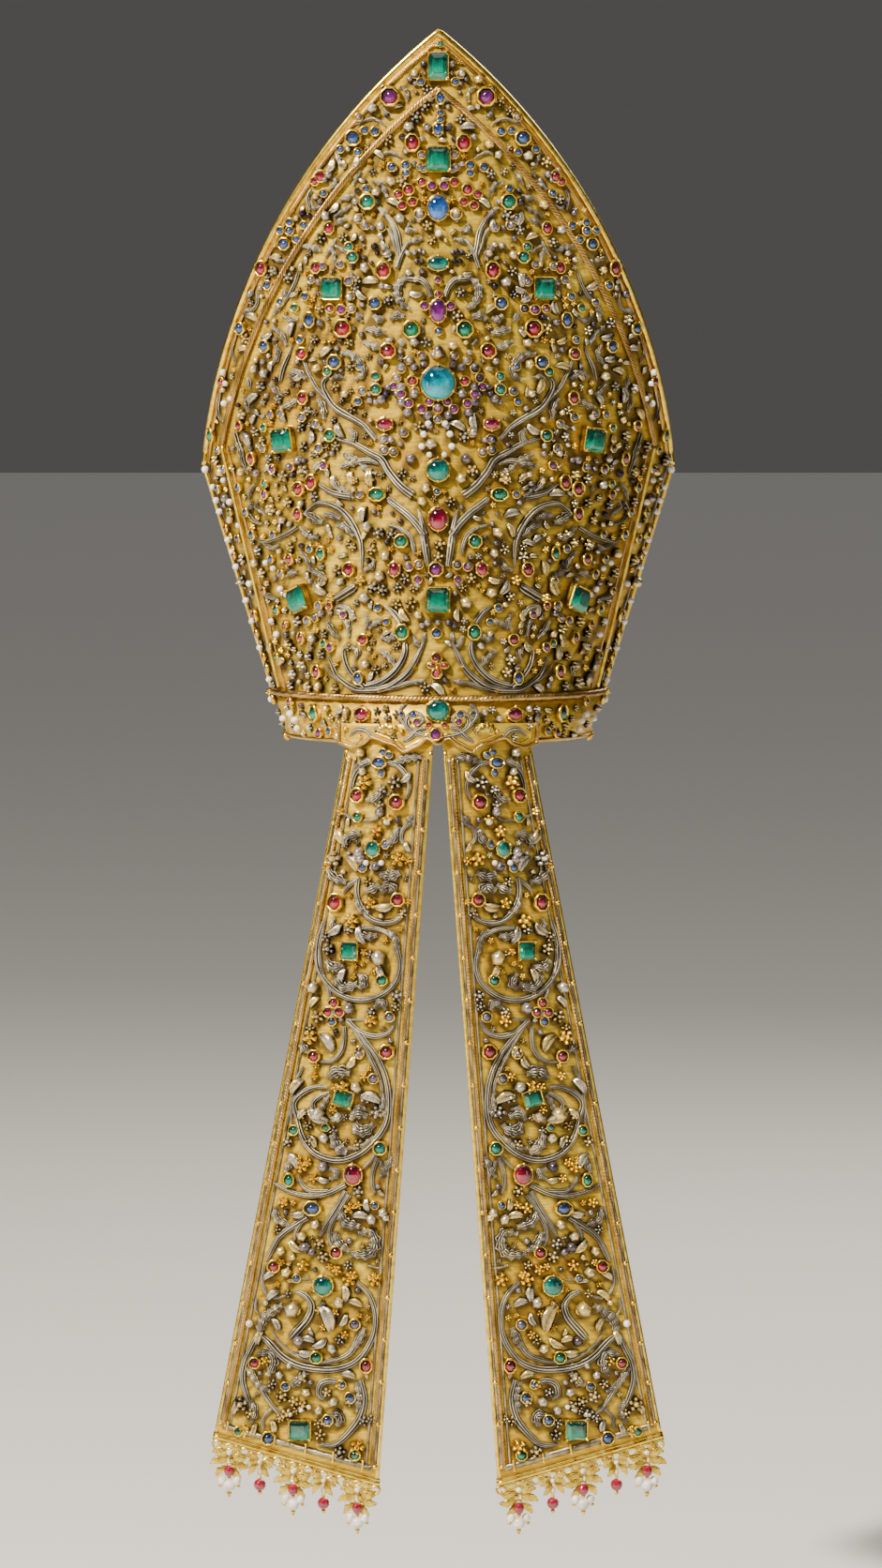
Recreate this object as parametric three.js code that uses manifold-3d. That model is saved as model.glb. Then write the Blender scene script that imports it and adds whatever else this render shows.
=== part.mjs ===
// A bishop's mitre: two stiff horns of cloth of gold joined at the sides, edged with gold rolls,
// set with embroidered scrolls and stones, and hung at the back with two fringed lappets.
// Millimetres, +Z up. The origin is the middle of the head opening, level with the rim.
// The back of the mitre, with its lappets, faces -Y. The wearer looks along +Y.
import * as THREE from 'three';
import { mergeVertices } from 'three/addons/utils/BufferGeometryUtils.js';
import Module from 'manifold-3d';

const wasm = await Module();
wasm.setup();

// Crown: half sizes are to the outer face of the panels.
const rimHalfWidth = 88;
const rimHalfDepth = 100;
const cleftHeight = 174;
const cleftHalfWidth = 141;
const cleftBulge = 85.5;
const crownHeight = 420;
const archRadius = 382;
const panelThickness = 2.4;
const clearance = 0.3;
const layerGap = 0.8;

// Gold edging of the crown
const edgeRollDiameter = 4.6;
const rollFootBelowCleft = 12;
const seamRodDiameter = 3.4;
const borderCordWidth = 4;
const borderCordHeight = 2.6;
const borderTurn = 0.85;
const borderApexBelowTip = 36.5;
const borderRadius = 350;
const cordTopShare = 0.72;
const bandHeight = 24.3;
const bandThickness = 1.7;
const topCordDiameter = 4.6;

// Embroidered stems
const stemWidth = 4.4;
const stemHeight = 2.4;
const stemStep = 17;
const frontStemStep = 20;

// Lappets: widths across X, lengths down Z, and the depth of the lower end behind the origin
const lappetGapHalf = 3;
const lappetTopWidth = 50.5;
const lappetEndWidth = 97.1;
const lappetSplay = 32;
const lappetTopDrop = 3;
const lappetLength = 432.8;
const lappetEndRise = 26.6;
const lappetTuck = 11;
const lappetThickness = 2;
const lappetEndDepthInner = 100;
const lappetEndDepthOuter = 88;
const frameWidth = 4.6;
const frameHeight = 2.4;
const frameInset = 0.6;
const frameTopBelow = 5;
const frameEndAbove = 8.2;
const endBarHeight = 5;
const endBarThickness = 4;

// Fringe below each end bar: the leaves hang from a head strip, the drops from the leaves
const fringeHeadHeight = 3;
const fringeThickness = 1.6;
const leafHalfWidth = 7.5;
const leafHalfHeight = 8;
const smallLeafShare = 0.6;
const rubyBeadDiameter = 7.3;
const pearlDiameter = 7.3;
const dropNeckDiameter = 2;
const dropTipLength = 3;

// Collar over the tops of the lappets
const collarHalfWidth = 54;
const collarTop = 12;
const collarDrop = 17.3;
const collarThickness = 1.6;

// Heights of stones above their feet, as a share of their narrower side
const stoneRise = 0.5;

// Where each layer starts, counted outward from the outer face of the panels
const seatLift = 0.6;
const bandLift = 0.4;
const onBandLift = bandLift + bandThickness + clearance;
const lappetLift = bandLift + bandThickness + layerGap;
const collarLift = lappetLift + lappetThickness + layerGap;
const topCordHeight = bandHeight + clearance + topCordDiameter / 2;
const aboveTopCord = topCordHeight + topCordDiameter / 2 + clearance;

// How finely the round forms are divided
const panelColumns = 12;
const archRows = 9;
const seamRows = 4;
const ringSteps = 48;
const rollSides = 6;
const cordSides = 6;
const rodSides = 8;
const beadSides = 10;
const topCordSides = 5;

// Stems on one half of a crown panel. Each place is a share of the half width at the cleft,
// counted from the middle, and a share of the crown's height.
const crownStems = {
  root: [[0, 0.086], [0.146, 0.083], [0.247, 0.079], [0.306, 0.08], [0.365, 0.086], [0.416, 0.098],
    [0.456, 0.113]],
  heart: [[0.247, 0.079], [0.189, 0.09], [0.142, 0.112], [0.13, 0.136], [0.15, 0.158], [0.22, 0.187]],
  stalk: [[0.224, 0.08], [0.111, 0.106], [0.066, 0.136], [0.083, 0.188], [0.072, 0.237], [0.068, 0.273],
    [0.083, 0.303]],
  lowBranch: [[0.083, 0.303], [0.13, 0.321], [0.193, 0.336], [0.263, 0.345], [0.353, 0.347], [0.467, 0.357],
    [0.53, 0.346], [0.558, 0.323]],
  curl: [[0.558, 0.323], [0.495, 0.335], [0.432, 0.331], [0.381, 0.315], [0.337, 0.293], [0.322, 0.267],
    [0.326, 0.243]],
  hook: [[0.083, 0.303], [0.066, 0.279], [0.1, 0.268], [0.146, 0.293], [0.204, 0.305]],
  neck: [[0.083, 0.303], [0.107, 0.331], [0.13, 0.352]],
  highBranch: [[0.13, 0.352], [0.169, 0.371], [0.232, 0.39], [0.298, 0.406], [0.369, 0.417], [0.428, 0.422]],
  longBranch: [[0.232, 0.39], [0.259, 0.424], [0.314, 0.446], [0.388, 0.46], [0.439, 0.472], [0.475, 0.492],
    [0.467, 0.514]],
  riser: [[0.13, 0.352], [0.115, 0.41], [0.13, 0.449], [0.158, 0.482], [0.146, 0.521], [0.165, 0.564],
    [0.154, 0.606], [0.181, 0.645], [0.177, 0.662]],
  horn: [[0.177, 0.662], [0.158, 0.683], [0.162, 0.704], [0.185, 0.731], [0.216, 0.748], [0.255, 0.765]],
  tendril: [[0.177, 0.662], [0.134, 0.689], [0.107, 0.701]],
  loop: [[0.181, 0.645], [0.111, 0.653], [0.064, 0.648], [0, 0.634]],
};

// Stems on a lappet. Each place is a share of the width, counted from the inner edge,
// and a share of the length, counted from the rim down to the end bar.
const lappetStems = {
  crownOuter: [[0.582, 0.026], [0.73, 0.03], [0.82, 0.044], [0.8, 0.062], [0.845, 0.085]],
  crownInner: [[0.582, 0.026], [0.4, 0.032], [0.26, 0.046], [0.25, 0.069]],
  swag: [[0.845, 0.085], [0.76, 0.098], [0.65, 0.103], [0.534, 0.1], [0.411, 0.11], [0.341, 0.134],
    [0.373, 0.165], [0.504, 0.175], [0.646, 0.184]],
  smallScroll: [[0.646, 0.184], [0.655, 0.201], [0.619, 0.219], [0.523, 0.235], [0.381, 0.243],
    [0.252, 0.237], [0.173, 0.222]],
  roundScroll: [[0.523, 0.235], [0.378, 0.247], [0.271, 0.261], [0.191, 0.275], [0.152, 0.297],
    [0.181, 0.319], [0.292, 0.341], [0.459, 0.35], [0.655, 0.343], [0.802, 0.329], [0.85, 0.309],
    [0.86, 0.274], [0.82, 0.248]],
  link: [[0.802, 0.329], [0.738, 0.35], [0.641, 0.367], [0.531, 0.382]],
  sideCurl: [[0.531, 0.382], [0.402, 0.393], [0.272, 0.395], [0.182, 0.385], [0.145, 0.368]],
  greatScroll: [[0.531, 0.382], [0.422, 0.397], [0.305, 0.418], [0.196, 0.443], [0.149, 0.473],
    [0.153, 0.508], [0.232, 0.538], [0.355, 0.561], [0.525, 0.575], [0.708, 0.569], [0.821, 0.547],
    [0.87, 0.518], [0.817, 0.496], [0.673, 0.481]],
  outerCurl: [[0.531, 0.382], [0.558, 0.407], [0.574, 0.425], [0.647, 0.44], [0.758, 0.446]],
  tie: [[0.232, 0.538], [0.173, 0.552], [0.16, 0.574], [0.18, 0.6], [0.26, 0.618], [0.386, 0.618]],
  reed: [[0.386, 0.618], [0.506, 0.622], [0.618, 0.629], [0.751, 0.627], [0.88, 0.622]],
  vine: [[0.386, 0.618], [0.537, 0.637], [0.648, 0.661], [0.77, 0.686], [0.84, 0.714], [0.872, 0.745],
    [0.881, 0.772], [0.85, 0.802], [0.862, 0.833], [0.879, 0.859], [0.884, 0.882], [0.84, 0.908],
    [0.749, 0.928], [0.666, 0.938]],
  cup: [[0.386, 0.618], [0.463, 0.644], [0.486, 0.67], [0.459, 0.691], [0.366, 0.702], [0.236, 0.698],
    [0.144, 0.68], [0.166, 0.663]],
  lastScroll: [[0.248, 0.738], [0.157, 0.753], [0.112, 0.775], [0.134, 0.804], [0.215, 0.832],
    [0.333, 0.854], [0.467, 0.864], [0.607, 0.864], [0.744, 0.851], [0.862, 0.833]],
  footHook: [[0.298, 0.848], [0.205, 0.867], [0.165, 0.889], [0.143, 0.912], [0.179, 0.938], [0.262, 0.951],
    [0.34, 0.958]],
};

// Main stones of a crown panel. across and up are shares as for its stems, width and height are
// millimetres across the collet, turned is in degrees, and a paired stone is repeated mirrored.
const crownStones = [
  { name: 'apex_emerald', cut: 'step', across: 0, up: 0.9445, width: 12.9, height: 17.4 },
  { name: 'upper_sapphire', cut: 'cabochon', across: 0, up: 0.857, width: 6.6, height: 9.2 },
  { name: 'upper_emerald', cut: 'step', across: 0, up: 0.815, width: 15.1, height: 15.7 },
  { name: 'pale_sapphire', cut: 'cabochon', across: 0, up: 0.747, width: 13.5, height: 16.3 },
  { name: 'oval_emerald', cut: 'cabochon', across: 0, up: 0.67, width: 13.5, height: 9.6 },
  { name: 'centre_amethyst', cut: 'cabochon', across: 0, up: 0.604, width: 10.7, height: 15.1 },
  { name: 'great_aquamarine', cut: 'cabochon', across: 0, up: 0.503, width: 21.4, height: 21.4 },
  { name: 'round_emerald', cut: 'cabochon', across: 0, up: 0.382, width: 14.6, height: 14.6 },
  { name: 'centre_ruby', cut: 'cabochon', across: 0, up: 0.314, width: 12.4, height: 15.1 },
  { name: 'square_emerald', cut: 'step', across: 0, up: 0.201, width: 14.6, height: 15.7 },
  { name: 'ruby_flower', cut: 'petals', across: 0, up: 0.11, width: 13, height: 13 },
  { name: 'shoulder_emerald', cut: 'step', across: 0.44, up: 0.635, width: 13.6, height: 14, paired: true },
  { name: 'side_emerald', cut: 'step', across: 0.641, up: 0.423, width: 15.1, height: 15.1, turned: 8,
    paired: true },
  { name: 'lower_emerald', cut: 'step', across: 0.573, up: 0.2, width: 15.1, height: 15.1, turned: 20,
    paired: true },
  { name: 'oval_ruby', cut: 'cabochon', across: 0.22, up: 0.446, width: 10.6, height: 8.4, paired: true },
  { name: 'heart_ruby', cut: 'cabochon', across: 0.18, up: 0.244, width: 7.8, height: 9.5, paired: true },
];

// Main stones on the rim band. upBand is a share of the band's height, the rest is as above.
const bandStones = [
  { name: 'band_emerald', cut: 'overhung', across: 0, upBand: 0.82, width: 14.6, height: 14 },
  { name: 'band_ruby', cut: 'cabochon', across: 0.306, upBand: 0.71, width: 10.6, height: 9.2, paired: true },
];

// Main stones of a lappet, with across and up as for its stems
const lappetStones = [
  { name: 'teal_stone', cut: 'cabochon', across: 0.521, up: 0.139, width: 9.5, height: 10.6 },
  { name: 'cushion_emerald', cut: 'step', across: 0.609, up: 0.284, width: 11.2, height: 11.8 },
  { name: 'middle_emerald', cut: 'step', across: 0.494, up: 0.489, width: 12.3, height: 10.6, turned: 15 },
  { name: 'great_ruby', cut: 'cabochon', across: 0.352, up: 0.59, width: 11.8, height: 13.4 },
  { name: 'circle_emerald', cut: 'cabochon', across: 0.467, up: 0.751, width: 12.9, height: 12.9 },
  { name: 'end_emerald', cut: 'step', across: 0.498, up: 0.957, width: 14, height: 12.9 },
];

// Lower edge of the collar on one half: share of its half width, share of its drop below its top
const collarEdge = [
  { across: 0, drop: 0.72 }, { across: 0.11, drop: 0.53 }, { across: 0.22, drop: 0.81 },
  { across: 0.34, drop: 1 }, { across: 0.45, drop: 0.75 }, { across: 0.68, drop: 0.52 },
  { across: 0.76, drop: 0.75 }, { across: 0.87, drop: 0.86 }, { across: 1, drop: 0.72 },
];

// Motifs of a fringe: share of the lappet's width from its inner edge, and whether it is a large one
const fringeMotifs = [
  { across: 0.126, large: true }, { across: 0.333, large: false }, { across: 0.517, large: true },
  { across: 0.72, large: false }, { across: 0.905, large: true },
];

// Profiles of a stone in its collet. spread is a share of the collet's half size and rise a share
// of the stone's whole height. The rings run from the foot to the table or the dome.
const stoneProfiles = {
  step: [{ spread: 1, rise: 0 }, { spread: 1, rise: 0.45 }, { spread: 0.82, rise: 0.52 },
    { spread: 0.5, rise: 1 }],
  cabochon: [{ spread: 1, rise: 0 }, { spread: 1, rise: 0.42 }, { spread: 0.8, rise: 0.66 },
    { spread: 0.38, rise: 1 }],
  petals: [{ spread: 1, rise: 0 }, { spread: 0.96, rise: 0.5 }, { spread: 0.55, rise: 0.8 }],
  low: [{ spread: 1, rise: 0 }, { spread: 0.62, rise: 1 }],
  overhung: [{ spread: 0.5, rise: 0 }, { spread: 0.5, rise: 0.46 }, { spread: 1, rise: 0.58 },
    { spread: 0.82, rise: 0.68 }, { spread: 0.5, rise: 1 }],
};

const finishes = {
  clothOfGold: new THREE.MeshStandardMaterial({ color: 0xc9a25a, roughness: 0.5, metalness: 0.5 }),
  goldMetal: new THREE.MeshStandardMaterial({ color: 0xd9a441, roughness: 0.3, metalness: 1 }),
  goldRope: new THREE.MeshStandardMaterial({ color: 0xb98f45, roughness: 0.45, metalness: 0.8 }),
  silverThread: new THREE.MeshStandardMaterial({ color: 0x9c9684, roughness: 0.5, metalness: 0.7 }),
  emerald: new THREE.MeshStandardMaterial({ color: 0x1f7a4d, roughness: 0.1, metalness: 0 }),
  sapphire: new THREE.MeshStandardMaterial({ color: 0x4b7fc0, roughness: 0.1, metalness: 0 }),
  ruby: new THREE.MeshStandardMaterial({ color: 0x9a1838, roughness: 0.1, metalness: 0 }),
  amethyst: new THREE.MeshStandardMaterial({ color: 0x6c4a8c, roughness: 0.1, metalness: 0 }),
  aquamarine: new THREE.MeshStandardMaterial({ color: 0x5fb3b0, roughness: 0.1, metalness: 0 }),
};
const stoneFinishes = {
  emerald: finishes.emerald,
  sapphire: finishes.sapphire,
  ruby: finishes.ruby,
  amethyst: finishes.amethyst,
  aquamarine: finishes.aquamarine,
  teal: finishes.aquamarine,
};

const group = new THREE.Group();

function addMesh(name, geometry, material) {
  const mesh = new THREE.Mesh(geometry, material);
  mesh.name = name;
  group.add(mesh);
  return mesh;
}

function mix(from, to, share) {
  return from + (to - from) * share;
}

// Closed bodies from rows of points

function bodyFrom(points, triangles) {
  const geometry = new THREE.BufferGeometry().setFromPoints(points);
  geometry.setIndex(triangles.flat());
  const index = geometry.index.array;
  let volume = 0;
  for (let i = 0; i < index.length; i += 3) {
    const [a, b, c] = [points[index[i]], points[index[i + 1]], points[index[i + 2]]];
    volume += a.dot(b.clone().cross(c));
  }
  if (volume < 0) {
    geometry.setIndex(triangles.map(([a, b, c]) => [a, c, b]).flat());
  }
  geometry.computeVertexNormals();
  return geometry;
}

// Skins over a row of like rings. A closed row joins its last ring to its first, an open one is capped.
function skin(rings, closed) {
  const count = rings[0].length;
  const triangles = [];
  const spans = closed ? rings.length : rings.length - 1;
  for (let i = 0; i < spans; i += 1) {
    const here = i * count;
    const next = ((i + 1) % rings.length) * count;
    for (let j = 0; j < count; j += 1) {
      const k = (j + 1) % count;
      triangles.push([here + j, here + k, next + k], [here + j, next + k, next + j]);
    }
  }
  if (!closed) {
    const last = (rings.length - 1) * count;
    for (let j = 1; j < count - 1; j += 1) {
      triangles.push([0, j + 1, j], [last, last + j, last + j + 1]);
    }
  }
  return bodyFrom(rings.flat(), triangles);
}

// A wall between an outer and an inner sheet, each given as rows of points. Its four-sided patches
// are split alike on the left and right halves.
function wallBetween(outer, inner) {
  const rows = outer.length;
  const columns = outer[0].length;
  const innerStart = rows * columns;
  const at = (row, column) => row * columns + column;
  const triangles = [];
  for (let r = 0; r < rows - 1; r += 1) {
    for (let c = 0; c < columns - 1; c += 1) {
      const corners = [at(r, c), at(r, c + 1), at(r + 1, c + 1), at(r + 1, c)];
      if (c < (columns - 1) / 2) corners.push(corners.shift());
      const [p, q, s, t] = corners;
      triangles.push([p, q, s], [p, s, t]);
      const [pi, qi, si, ti] = corners.map((k) => k + innerStart);
      triangles.push([pi, si, qi], [pi, ti, si]);
    }
  }
  const around = [];
  for (let c = 0; c < columns; c += 1) around.push(at(0, c));
  for (let r = 1; r < rows; r += 1) around.push(at(r, columns - 1));
  for (let c = columns - 2; c >= 0; c -= 1) around.push(at(rows - 1, c));
  for (let r = rows - 2; r > 0; r -= 1) around.push(at(r, 0));
  around.forEach((here, i) => {
    const next = around[(i + 1) % around.length];
    triangles.push([here, here + innerStart, next + innerStart], [here, next + innerStart, next]);
  });
  return bodyFrom([...outer.flat(), ...inner.flat()], triangles);
}

function solidOf(geometry) {
  const bare = geometry.clone();
  bare.deleteAttribute('normal');
  if (bare.attributes.uv) bare.deleteAttribute('uv');
  const merged = mergeVertices(bare);
  const mesh = new wasm.Mesh({
    numProp: 3,
    vertProperties: new Float32Array(merged.attributes.position.array),
    triVerts: new Uint32Array(merged.index.array),
  });
  return new wasm.Manifold(mesh);
}

function geometryOf(solid) {
  const mesh = solid.getMesh();
  const geometry = new THREE.BufferGeometry();
  geometry.setAttribute('position', new THREE.BufferAttribute(new Float32Array(mesh.vertProperties), 3));
  geometry.setIndex([...mesh.triVerts]);
  geometry.computeVertexNormals();
  return geometry;
}

function fused(geometries) {
  return geometryOf(geometries.map(solidOf).reduce((whole, solid) => whole.add(solid)));
}

// The crown's walls: straight lines lean from the oval rim out to the arcs at the cleft and go on up

const bulgeRadius = (cleftHalfWidth ** 2 + cleftBulge ** 2) / (2 * cleftBulge);
const bulgeAngle = Math.atan2(cleftHalfWidth, bulgeRadius - cleftBulge);
const turnBeyondSeam = 1.1;
const small = 1e-4;

// A point of the back wall's outer face. turn runs from -1 at the left seam to 1 at the right one.
function wallPoint(turn, z) {
  const rimAngle = turn * Math.PI / 2;
  const rim = [rimHalfWidth * Math.sin(rimAngle), -rimHalfDepth * Math.cos(rimAngle)];
  const cleft = [
    bulgeRadius * Math.sin(turn * bulgeAngle),
    -bulgeRadius * (Math.cos(turn * bulgeAngle) - Math.cos(bulgeAngle)),
  ];
  const lean = z / cleftHeight;
  return new THREE.Vector3(mix(rim[0], cleft[0], lean), mix(rim[1], cleft[1], lean), z);
}

function turnAt(x, z) {
  let low = 0;
  let high = turnBeyondSeam;
  for (let i = 0; i < 40; i += 1) {
    const middle = (low + high) / 2;
    if (wallPoint(middle, z).x < Math.abs(x)) low = middle;
    else high = middle;
  }
  return Math.sign(x) * (low + high) / 2;
}

// A surface gives a point for two shares, and says which way its outer face looks.
function crownSurface(face) {
  const at = (across, up) => {
    const z = up * crownHeight;
    const point = wallPoint(turnAt(across * cleftHalfWidth, z), z);
    point.y *= -face;
    return point;
  };
  return { at, outward: -face };
}

const backFace = -1;
const frontFace = 1;
const backSurface = crownSurface(backFace);
const frontSurface = crownSurface(frontFace);

function frameAt(surface, across, up) {
  const point = surface.at(across, up);
  const sideways = surface.at(across + small, up).sub(surface.at(across - small, up)).normalize();
  const upward = surface.at(across, up + small).sub(surface.at(across, up - small)).normalize();
  const out = sideways.clone().cross(upward).normalize().multiplyScalar(surface.outward);
  if (surface.downward) upward.negate();
  return { point, out, up: upward, side: upward.clone().cross(out).normalize() };
}

// Half width of an arch whose sides are arcs of one radius, from a foot on each side to a tip
function archHalfWidth(footWidth, footZ, tipZ, radius, inset, z) {
  const foot = new THREE.Vector2(footWidth, footZ);
  const tip = new THREE.Vector2(0, tipZ);
  const chord = tip.clone().sub(foot);
  const reach = Math.sqrt(radius ** 2 - chord.lengthSq() / 4);
  const inwards = new THREE.Vector2(-chord.y, chord.x).normalize().multiplyScalar(reach);
  const centre = foot.clone().add(tip).multiplyScalar(0.5).add(inwards);
  return Math.sqrt(Math.max(0, (radius - inset) ** 2 - (z - centre.y) ** 2)) + centre.x;
}

const edgeHalfWidth = (z, inset) => (
  archHalfWidth(cleftHalfWidth, cleftHeight, crownHeight, archRadius, inset, z)
);
const borderFoot = wallPoint(borderTurn, cleftHeight).x;
const borderTip = crownHeight - borderApexBelowTip;
const borderHalfWidth = (z) => (z < cleftHeight
  ? wallPoint(borderTurn, z).x
  : archHalfWidth(borderFoot, cleftHeight, borderTip, borderRadius, 0, z));

// Height at which an arch's half width comes down to a given value
function heightWhere(halfWidth, value) {
  let low = cleftHeight;
  let high = crownHeight;
  for (let i = 0; i < 50; i += 1) {
    const middle = (low + high) / 2;
    if (halfWidth(middle) > value) low = middle;
    else high = middle;
  }
  return low;
}

// Panels

const edgeInset = edgeRollDiameter + clearance;
const panelTipHalfWidth = 0.8;
const panelTop = heightWhere((z) => edgeHalfWidth(z, edgeInset), panelTipHalfWidth);
const seamOverrun = 1.02;
const seamTop = cleftHeight * (edgeHalfWidth(cleftHeight, edgeInset) - rimHalfWidth)
  / (cleftHalfWidth - rimHalfWidth);

function panelHeights() {
  const heights = [];
  for (let i = 0; i < seamRows; i += 1) heights.push(seamTop * i / seamRows);
  for (let i = 0; i <= archRows; i += 1) {
    heights.push(mix(seamTop, panelTop, Math.sin((Math.PI / 2) * (i / archRows))));
  }
  return heights;
}

function panelTurn(z) {
  return z < seamTop ? seamOverrun : turnAt(edgeHalfWidth(z, edgeInset), z);
}

function panelSheet(depth) {
  return panelHeights().map((z) => {
    const row = [];
    for (let c = 0; c <= panelColumns; c += 1) {
      const turn = panelTurn(z) * (2 * c / panelColumns - 1);
      const ahead = wallPoint(turn + small, z).sub(wallPoint(turn - small, z));
      const rise = wallPoint(turn, z + 0.1).sub(wallPoint(turn, z - 0.1));
      const out = ahead.cross(rise).normalize();
      const point = wallPoint(turn, z).addScaledVector(out, -depth);
      point.z = z;
      row.push(point);
    }
    return row;
  });
}

// Keeps what lies on the back's side of the side seams
const cutterSize = 3 * crownHeight;
const cutter = new THREE.BoxGeometry(cutterSize, cutterSize, cutterSize);
cutter.translate(0, cutterSize / 2 - clearance / 2, 0);
const beyondSeam = solidOf(cutter);

function cutAtSeam(geometry) {
  return geometryOf(solidOf(geometry).subtract(beyondSeam));
}

// A piece of the back panel turned over to the front panel
function mirroredToFront(geometry) {
  const turned = geometry.clone();
  turned.scale(1, -1, 1);
  const index = turned.index.array;
  for (let i = 0; i < index.length; i += 3) {
    [index[i + 1], index[i + 2]] = [index[i + 2], index[i + 1]];
  }
  turned.computeVertexNormals();
  return turned;
}

const panel = cutAtSeam(wallBetween(panelSheet(0), panelSheet(panelThickness)));
addMesh('back_panel', panel, finishes.clothOfGold);
addMesh('front_panel', mirroredToFront(panel), finishes.clothOfGold);

// Sweeps: a section of [along the surface, out of it] pairs carried along frames

function polygonSection(sides, width, height, lift) {
  const section = [];
  for (let i = 0; i < sides; i += 1) {
    const angle = (i + 0.5) * 2 * Math.PI / sides - Math.PI / 2;
    section.push([Math.cos(angle) * width / 2, Math.sin(angle) * height / 2 + lift]);
  }
  return section;
}

function ringOf(frame, section, stretch) {
  return section.map(([aside, outward]) => frame.point.clone()
    .addScaledVector(frame.aside, aside * stretch)
    .addScaledVector(frame.out, outward));
}

// Frames along a path of shares on a surface, with the way sideways across the path
function pathFrames(surface, path, closed) {
  const frames = path.map(([across, up]) => frameAt(surface, across, up));
  return frames.map((frame, i) => {
    const before = frames[closed ? (i + frames.length - 1) % frames.length : Math.max(i - 1, 0)];
    const after = frames[closed ? (i + 1) % frames.length : Math.min(i + 1, frames.length - 1)];
    const back = frame.point.clone().sub(before.point).normalize();
    const ahead = after.point.clone().sub(frame.point).normalize();
    const along = back.clone().add(ahead).normalize();
    const aside = along.clone().cross(frame.out).normalize();
    const bend = back.lengthSq() && ahead.lengthSq() ? Math.sqrt((1 + back.dot(ahead)) / 2) : 1;
    return { point: frame.point, out: frame.out, aside, mitre: Math.min(1 / Math.max(bend, 0.5), 2) };
  });
}

function sweep(surface, path, section, closed) {
  return skin(pathFrames(surface, path, closed).map((frame) => ringOf(frame, section, frame.mitre)), closed);
}

// Edge rolls round the horns, from below the cleft over the tip

const rollInset = edgeRollDiameter / 2;
const rollFoot = cleftHeight - rollFootBelowCleft;
const rollTip = heightWhere((z) => edgeHalfWidth(z, rollInset), 0);
const archSteps = 13;

function archPath(halfWidth, foot, tip, lowSteps) {
  const half = [];
  for (let i = 0; i < lowSteps; i += 1) {
    const z = mix(foot, cleftHeight, i / lowSteps);
    half.push([halfWidth(z) / cleftHalfWidth, z / crownHeight]);
  }
  const archFoot = lowSteps ? cleftHeight : foot;
  for (let i = 0; i < archSteps; i += 1) {
    const z = mix(archFoot, tip, Math.sin((Math.PI / 2) * (i / archSteps)));
    half.push([halfWidth(z) / cleftHalfWidth, z / crownHeight]);
  }
  const rest = half.map(([across, up]) => [-across, up]).reverse();
  return [...half, [0, tip / crownHeight], ...rest];
}

const rollPath = archPath((z) => edgeHalfWidth(z, rollInset), rollFoot, rollTip, 0);
const rollSection = polygonSection(rollSides, edgeRollDiameter, edgeRollDiameter, -panelThickness / 2);
const edgeRoll = cutAtSeam(sweep(backSurface, rollPath, rollSection, false));
addMesh('back_edge_moulding', edgeRoll, finishes.goldMetal);
addMesh('front_edge_moulding', mirroredToFront(edgeRoll), finishes.goldMetal);

// Border cords inside the edge rolls

const borderStart = aboveTopCord + borderCordWidth / 4;
const borderPath = archPath(borderHalfWidth, borderStart, borderTip, 3);
const borderSection = [
  [-borderCordWidth / 2, seatLift], [borderCordWidth / 2, seatLift],
  [borderCordWidth * cordTopShare / 2, borderCordHeight],
  [-borderCordWidth * cordTopShare / 2, borderCordHeight],
];
const borderCord = sweep(backSurface, borderPath, borderSection, false);
addMesh('back_border_cord', borderCord, finishes.goldRope);
addMesh('front_border_cord', mirroredToFront(borderCord), finishes.goldRope);

// Seam rods stand on the side seams, from the rim's cord up to the edge rolls

function seamRod(side) {
  const lift = seatLift + seamRodDiameter / 2;
  const rings = [aboveTopCord, rollFoot - clearance].map((z) => {
    const edge = mix(rimHalfWidth, cleftHalfWidth, z / cleftHeight);
    const ring = [];
    for (let i = 0; i < rodSides; i += 1) {
      const angle = i * 2 * Math.PI / rodSides;
      const x = edge + lift + Math.cos(angle) * seamRodDiameter / 2;
      ring.push(new THREE.Vector3(side * x, Math.sin(angle) * seamRodDiameter / 2, z));
    }
    return ring;
  });
  return skin(rings, false);
}

addMesh('side_seam_rod_left', seamRod(-1), finishes.goldMetal);
addMesh('side_seam_rod_right', seamRod(1), finishes.goldMetal);

// Rim band and the cord along its top, closed round the head

function ringPoint(step, z, lift) {
  const quarter = 4 * step / ringSteps;
  const onBack = quarter < 2;
  const turn = onBack ? quarter - 1 : 3 - quarter;
  const ahead = wallPoint(turn + small, z).sub(wallPoint(turn - small, z));
  const out = new THREE.Vector3(ahead.y, -ahead.x, 0).normalize();
  const atSeam = Math.abs(turn) > 0.999;
  const point = wallPoint(turn, z);
  point.add(atSeam ? new THREE.Vector3(Math.sign(turn) * lift, 0, 0) : out.multiplyScalar(lift));
  if (!onBack) point.y *= -1;
  return point;
}

function ringSweep(section) {
  const rings = [];
  for (let step = 0; step < ringSteps; step += 1) {
    rings.push(section.map(([z, lift]) => ringPoint(step, z, lift)));
  }
  return skin(rings, true);
}

const bandOuter = bandLift + bandThickness;
const bandSection = [[0, bandLift], [0, bandOuter], [bandHeight, bandOuter], [bandHeight, bandLift]];
addMesh('rim_band', ringSweep(bandSection), finishes.clothOfGold);
const topCordSection = polygonSection(topCordSides, topCordDiameter, topCordDiameter, 0)
  .map(([rise, lift]) => [topCordHeight + rise, lift + seatLift + topCordDiameter / 2]);
addMesh('rim_top_cord', ringSweep(topCordSection), finishes.goldRope);

// Stems: low ridges of couched thread, narrower towards a free end

const stemSection = [[-stemWidth / 2, 0], [stemWidth / 2, 0], [0, stemHeight]];

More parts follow.
